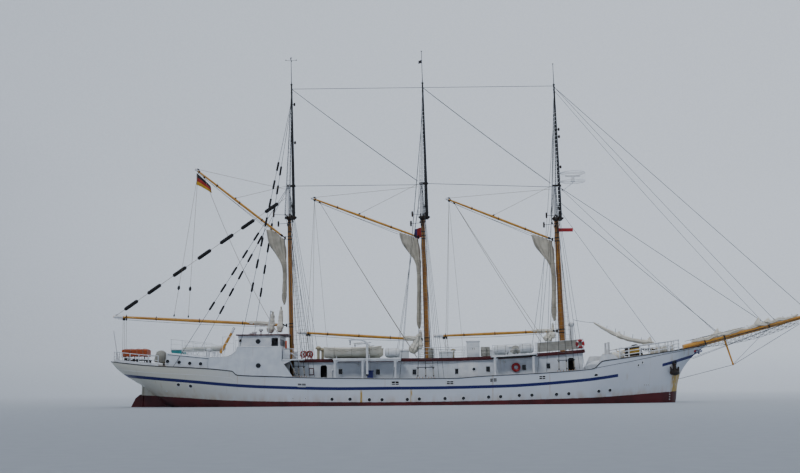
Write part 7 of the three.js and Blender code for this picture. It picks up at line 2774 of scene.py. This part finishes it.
@dataclass
class Colours:
    """The plain flags, pennants and mast-top gear."""

    def build(self) -> None:
        """Builds the tricolour at the mizzen peak, the small pennants and the masthead fittings."""
        mizzen, main, fore = MASTS
        self.tricolour(mizzen)
        arm = main.at(16.55, 0.1, 1.4)
        self.pennant("main_pennant", arm, 1.0, 0.95, [FLAG_RED, BLUE_BUNTING])
        put("pennant_halyard", tube(sag((1.7, 2.8, 4.35), main.at(17.2, 0.1, 1.4), 0.1), 0.011, 6), HEMP)
        self.pennant("main_truck_flag", main.top(32.4) + (0.03, 0, 0), 0.4, 0.3, [FLAG_DARK, FLAG_DARK])
        self.heads(mizzen, main, fore)
        self.scanner(fore)
        board = hood([fore.at(15.9)[0] + 0.1, fore.at(15.9)[0] + 1.45], 0.04, 15.72, 16.05, 0.01, 0, 0,
                     -0.34)
        put("red_board", board, RED)

    def drape(self, high: np.ndarray, along: np.ndarray, wide: float, tall: float, slack: float
              ) -> np.ndarray:
        """Lays a hanging flag out from its upper hoist corner, which falls in folds along its fly.

        Args:
            high: Each point's place from the upper edge down.
            along: Each point's place from hoist to fly.
            wide: Its width.
            tall: Its depth.
            slack: How far it sags.

        Returns:
            The points.
        """
        x = -along * wide * (1 - 0.45 * slack * along)
        z = -high * tall - slack * 0.75 * wide * along ** 1.3
        y = 0.07 * np.sin(along * 11 + high * 2) * along + 0.03 * np.sin(high * 7) * along
        return np.stack([x, y, z], axis=2)

    def tricolour(self, mast: Mast) -> None:
        """Builds the three plain bands of the flag that hangs from the gaff's peak.

        Args:
            mast: The mast.
        """
        peak = mast.on(mast.gaff, mast.gaff.length - 0.12, -0.3)
        high, along = np.meshgrid(np.linspace(0, 1, 19), np.linspace(0, 1, 30), indexing="ij")
        # The fly sags until it hangs a metre below the hoist, and its edges draw together
        face = np.stack([1.35 * along + 0.1 * high * along,
                         0.09 * np.sin(along * 12 + high * 2) * along + 0.04 * np.sin(high * 7) * along,
                         -1.12 * high * (1 - 0.4 * along) - 1.25 * along ** 1.15], axis=2)
        loop = np.concatenate([face, (face + (0, 0.012, 0))[:, ::-1]], axis=1)
        cloth = sealed(peak + loop)
        rows = np.repeat(np.arange(18) // 6, loop.shape[1])
        cloth.slots = np.concatenate([rows, [0, 2]])
        made = put("peak_flag", cloth, [FLAG_DARK, FLAG_RED, FLAG_GOLD], body=f"{mast.name}_gaff")

    def pennant(self, name: str, place: Place, wide: float, tall: float, finishes: list[Finish]) -> None:
        """Builds a small hanging flag, with one finish at its hoist and the other at its fly.

        Args:
            name: The piece's name.
            place: Where it is.
            wide: Its width.
            tall: Its depth.
            finishes: The two finishes.
        """
        high, along = np.meshgrid(np.linspace(0, 1, 9), np.linspace(0, 1, 14), indexing="ij")
        face = self.drape(high, along, wide, tall, 0.3)
        loop = np.concatenate([face, (face + (0, 0.01, 0))[:, ::-1]], axis=1)
        cloth = sealed(np.array(place) + loop)
        across = np.minimum(np.arange(28), 27 - np.arange(28)) > 8
        cloth.slots = np.concatenate([np.tile(across, 8).astype(int), [0, 0]])
        made = put(name, cloth, finishes)

    def heads(self, mizzen: Mast, main: Mast, fore: Mast) -> None:
        """Builds the wind vane, the lights on the topmasts and the trucks.

        Args:
            mizzen: The mizzen mast.
            main: The main mast.
            fore: The fore mast.
        """
        made = []
        for mast in (mizzen, main, fore):
            top = mast.top(mast.pole)
            made.append(lathe(top - (0, 0, 0.1), top, [(0, 0.03), (0.4, 0.07), (0.8, 0.07), (1, 0.02)],
                              12))
        for mast, heights in ((mizzen, (24.5, 28.2)), (fore, (21.9, 24.8, 25.5))):
            for z in heights:
                at = mast.top(z) + (0.24, 0, 0)
                made.append(lathe(at - (0, 0, 0.14), at + (0, 0, 0.14),
                                  [(0, 0.07), (0.2, 0.1), (0.8, 0.1), (1, 0.05)], 12))
                made.append(rod(mast.top(z), at, 0.025))
        vane = mizzen.top(32.5)
        made += [rod(vane - (0.5, 0, 0), vane + (0.5, 0, 0), 0.015),
                 rod(vane - (0, 0.4, 0), vane + (0, 0.4, 0), 0.015)]
        made += [lathe(vane + (dx, dy, -0.02), vane + (dx, dy, 0.1), [(0, 0.05), (1, 0.02)], 10)
                 for dx, dy in ((-0.5, 0), (0.5, 0), (0, -0.4), (0, 0.4))]
        put("masthead_lights_and_vane", made, IRON)

    def scanner(self, fore: Mast) -> None:
        """Builds the ringed platform ahead of the fore topmast.

        Args:
            fore: The fore mast.
        """
        at = np.array([15.4, 0.0, 20.9])
        rings = [hoop(at + (0, 0, dz), (0, 0, 1), 1.12, 0.025, 36) for dz in (-0.4, 0.4)]
        arms = [rod(fore.top(20.9 + dz, dy), at + (0.95, dy, dz), 0.025) for dz in (-0.4, 0.4)
                for dy in (-0.25, 0.25)]
        bars = [rod(at + (1.12 * math.cos(a), 1.12 * math.sin(a), -0.4),
                    at + (1.12 * math.cos(a), 1.12 * math.sin(a), 0.4), 0.014, None, 6) for a in around(8)]
        stand = lathe(at + (0, 0, -0.42), at + (0, 0, 0.05), [(0, 0.2), (0.4, 0.12), (1, 0.12)], 18)
        wing = hood([at[0] - 0.7, at[0] + 0.7], 0.09, at[2] + 0.05, at[2] + 0.2, 0.05, 0.01, 0.05)
        brace = rod(at + (0.1, 0, -0.42), fore.at(19.6, 0.7), 0.03)
        put("radar_platform", rings + arms + bars + [stand, brace], WHITE)
        put("radar_scanner", wing, CANISTER)


@dataclass
class Underwater:
    """What lies under the waterline: the keel and deadwood and the rudder; the propeller is the frame's."""

    def build(self) -> None:
        """Builds the keel plate, whose after end is cut away round the propeller."""
        sole = [(-24.34, -3.62), (21.0, -3.62), (21.7, -2.8), (18.0, -3.0), (-12.0, -2.95), (-24.34, -2.95)]
        post = [(-24.34, -2.95), (-23.85, -2.95), (-23.85, -0.6), (-22.75, -0.6), (-22.75, -2.95),
                (-12.0, -2.95), (-16.0, -2.3), (-19.0, -1.3), (-21.5, -0.1), (-23.0, 1.0), (-24.34, 1.98)]
        put("keel_and_deadwood",
            [self.painted(prism(flat, -half, half)) for flat, half in ((sole, 0.14), (post, 0.13))],
            TOPSIDES, bevel=0.02)
        x, heel = -24.47, -3.45
        blade = [(x, heel + 0.05), (x - 0.95, heel + 0.15), (x - 1.25, heel + 0.9), (x - 1.3, -1.4),
                 (x - 1.05, 0), (x - 0.65, 0.8), (x - 0.3, 1.1), (x, 1.25)]
        stock = lathe((x, 0, heel), (x, 0, 2.6), [(0, 0.11), (1, 0.11)], 18)
        straps = [prism([(x - 1.15, z - 0.05), (x, z - 0.05), (x, z + 0.05), (x - 1.15, z + 0.05)], -0.075,
                        0.075) for z in (-2.9, -1.6, -0.3)]
        put("rudder_blade", [self.painted(s) for s in [prism(blade, -0.06, 0.06), stock] + straps],
            TOPSIDES, body="rudder", replaces=["rudder"], bevel=0.012)

    def painted(self, surface: Surface) -> Surface:
        """Gives the surface the hull's UV, so that its paint changes at the same height.

        Args:
            surface: The surface.

        Returns:
            The same surface.
        """
        spots = surface.points[surface.corners]
        surface.uv = np.stack([spots[:, 2] - FORM.line(FORM.bottom_paint, spots[:, 0]),
                               spots[:, 2] + 10], axis=1)
        return surface


@dataclass
class Carried:
    """The frame's own nodes that stay in sight, each with the finish of the words in its name."""

    finishes: dict

    def build(self) -> None:
        """Gives each of them the finish of the first entry that its name holds."""
        for name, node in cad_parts.items():
            for words, finish in self.finishes.items():
                if words in name:
                    node.data.materials.clear()
                    node.data.materials.append(finish.material())
                    break


@dataclass
class Studio:
    """A pale floor at the waterline, soft lights, and the camera where the photograph was taken."""

    position: Place = (0.2726, -100.478, 1.8)
    yaw: float = -0.6187
    pitch: float = 7.75
    roll: float = -0.5159
    focal: float = 1090.0
    image_width: float = 800.0
    sensor: float = 36.0

    def build(self) -> None:
        """Builds the floor, the lights, the world and the camera."""
        self.floor()
        self.lights()
        self.camera()

    def floor(self) -> None:
        """Builds the floor, its outer part bent up into a far backdrop."""
        radius = np.array([0.0, 60, 150, 260, 340, 400])
        rise = np.array([0.0, 0, 0, 12, 80, 360])
        angle = around(64)
        ring = np.stack([radius[1:, None] * np.cos(angle), radius[1:, None] * np.sin(angle),
                         np.broadcast_to(rise[1:, None], (5, 64))], axis=2)
        sheet = grid(ring, wrap=True).flipped()
        middle = Surface(ring[0], np.arange(64), np.array([64]), ring[0, :, :2], np.zeros(1, int))
        floor = put("studio_floor", [sheet, middle],
                    Finish("studio_floor_paper", "#B3B9C1", "#AEB4BD", 0.9))
        floor.parent = None

    def lights(self) -> None:
        """Puts up a high soft sun from the photograph's left, a wide fill and a plain sky."""
        scene = bpy.context.scene
        for name, kind, energy, turn, wide in (("key", "SUN", 3.3, (52, 0, -28), 0.35),
                                               ("fill", "SUN", 0.7, (70, 0, 60), 1.2)):
            lamp = bpy.data.lights.new(name, kind)
            lamp.energy, lamp.angle = energy, wide
            made = bpy.data.objects.new(name, lamp)
            made.rotation_euler = [math.radians(t) for t in turn]
            scene.collection.objects.link(made)
        world = bpy.data.worlds.new("studio")
        world.use_nodes = True
        sky = world.node_tree.nodes["Background"]
        sky.inputs["Color"].default_value = linear("#DDE3EA")
        sky.inputs["Strength"].default_value = 0.95
        scene.world = world

    def camera(self) -> None:
        """Puts the camera at the photograph's place, angle and focal length."""
        yaw, pitch, roll = (math.radians(a) for a in (self.yaw, self.pitch, self.roll))
        ahead = np.array([math.sin(yaw) * math.cos(pitch), math.cos(yaw) * math.cos(pitch),
                          math.sin(pitch)])
        level = np.array([math.cos(yaw), -math.sin(yaw), 0])
        above = np.cross(level, ahead)
        right = math.cos(roll) * level + math.sin(roll) * above
        up = -math.sin(roll) * level + math.cos(roll) * above
        data = bpy.data.cameras.new("photograph")
        data.sensor_width = self.sensor
        data.lens = self.focal / self.image_width * self.sensor
        data.clip_end = 2000
        data.dof.use_dof = False
        made = bpy.data.objects.new("photograph", data)
        turn = np.eye(4)
        turn[:3, 0], turn[:3, 1], turn[:3, 2] = right, up, -ahead
        turn[:3, 3] = np.array(self.position) * K
        made.matrix_world = Matrix(turn.tolist())
        bpy.context.scene.collection.objects.link(made)
        bpy.context.scene.camera = made


CARRIED = {"bridge_house": HOUSE_WHITE_IN_SHADE, "wheelhouse_walls": WHITE, "deckhouse": HOUSE_WHITE_IN_SHADE, "poop_rail": WHITE,
           "door": WHITE, "propeller": BRONZE, "stay": WIRE, "triatic": WIRE,}


def main() -> None:
    """Builds the ship's sub-assemblies in order."""
    logging.basicConfig(level=logging.INFO, format="%(message)s")
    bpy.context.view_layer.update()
    for assembly in (Hull(), Underwater(), Poop(), Bridge(), Deckhouse(), BoatDeck(), Forecastle(), Rig(),
                     Rigging(), HeadRig(), Colours(), Carried(CARRIED), Studio()):
        assembly.build()
        LOG.info("built %s", type(assembly).__name__)
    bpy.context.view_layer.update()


if __name__ == "__main__":
    main()
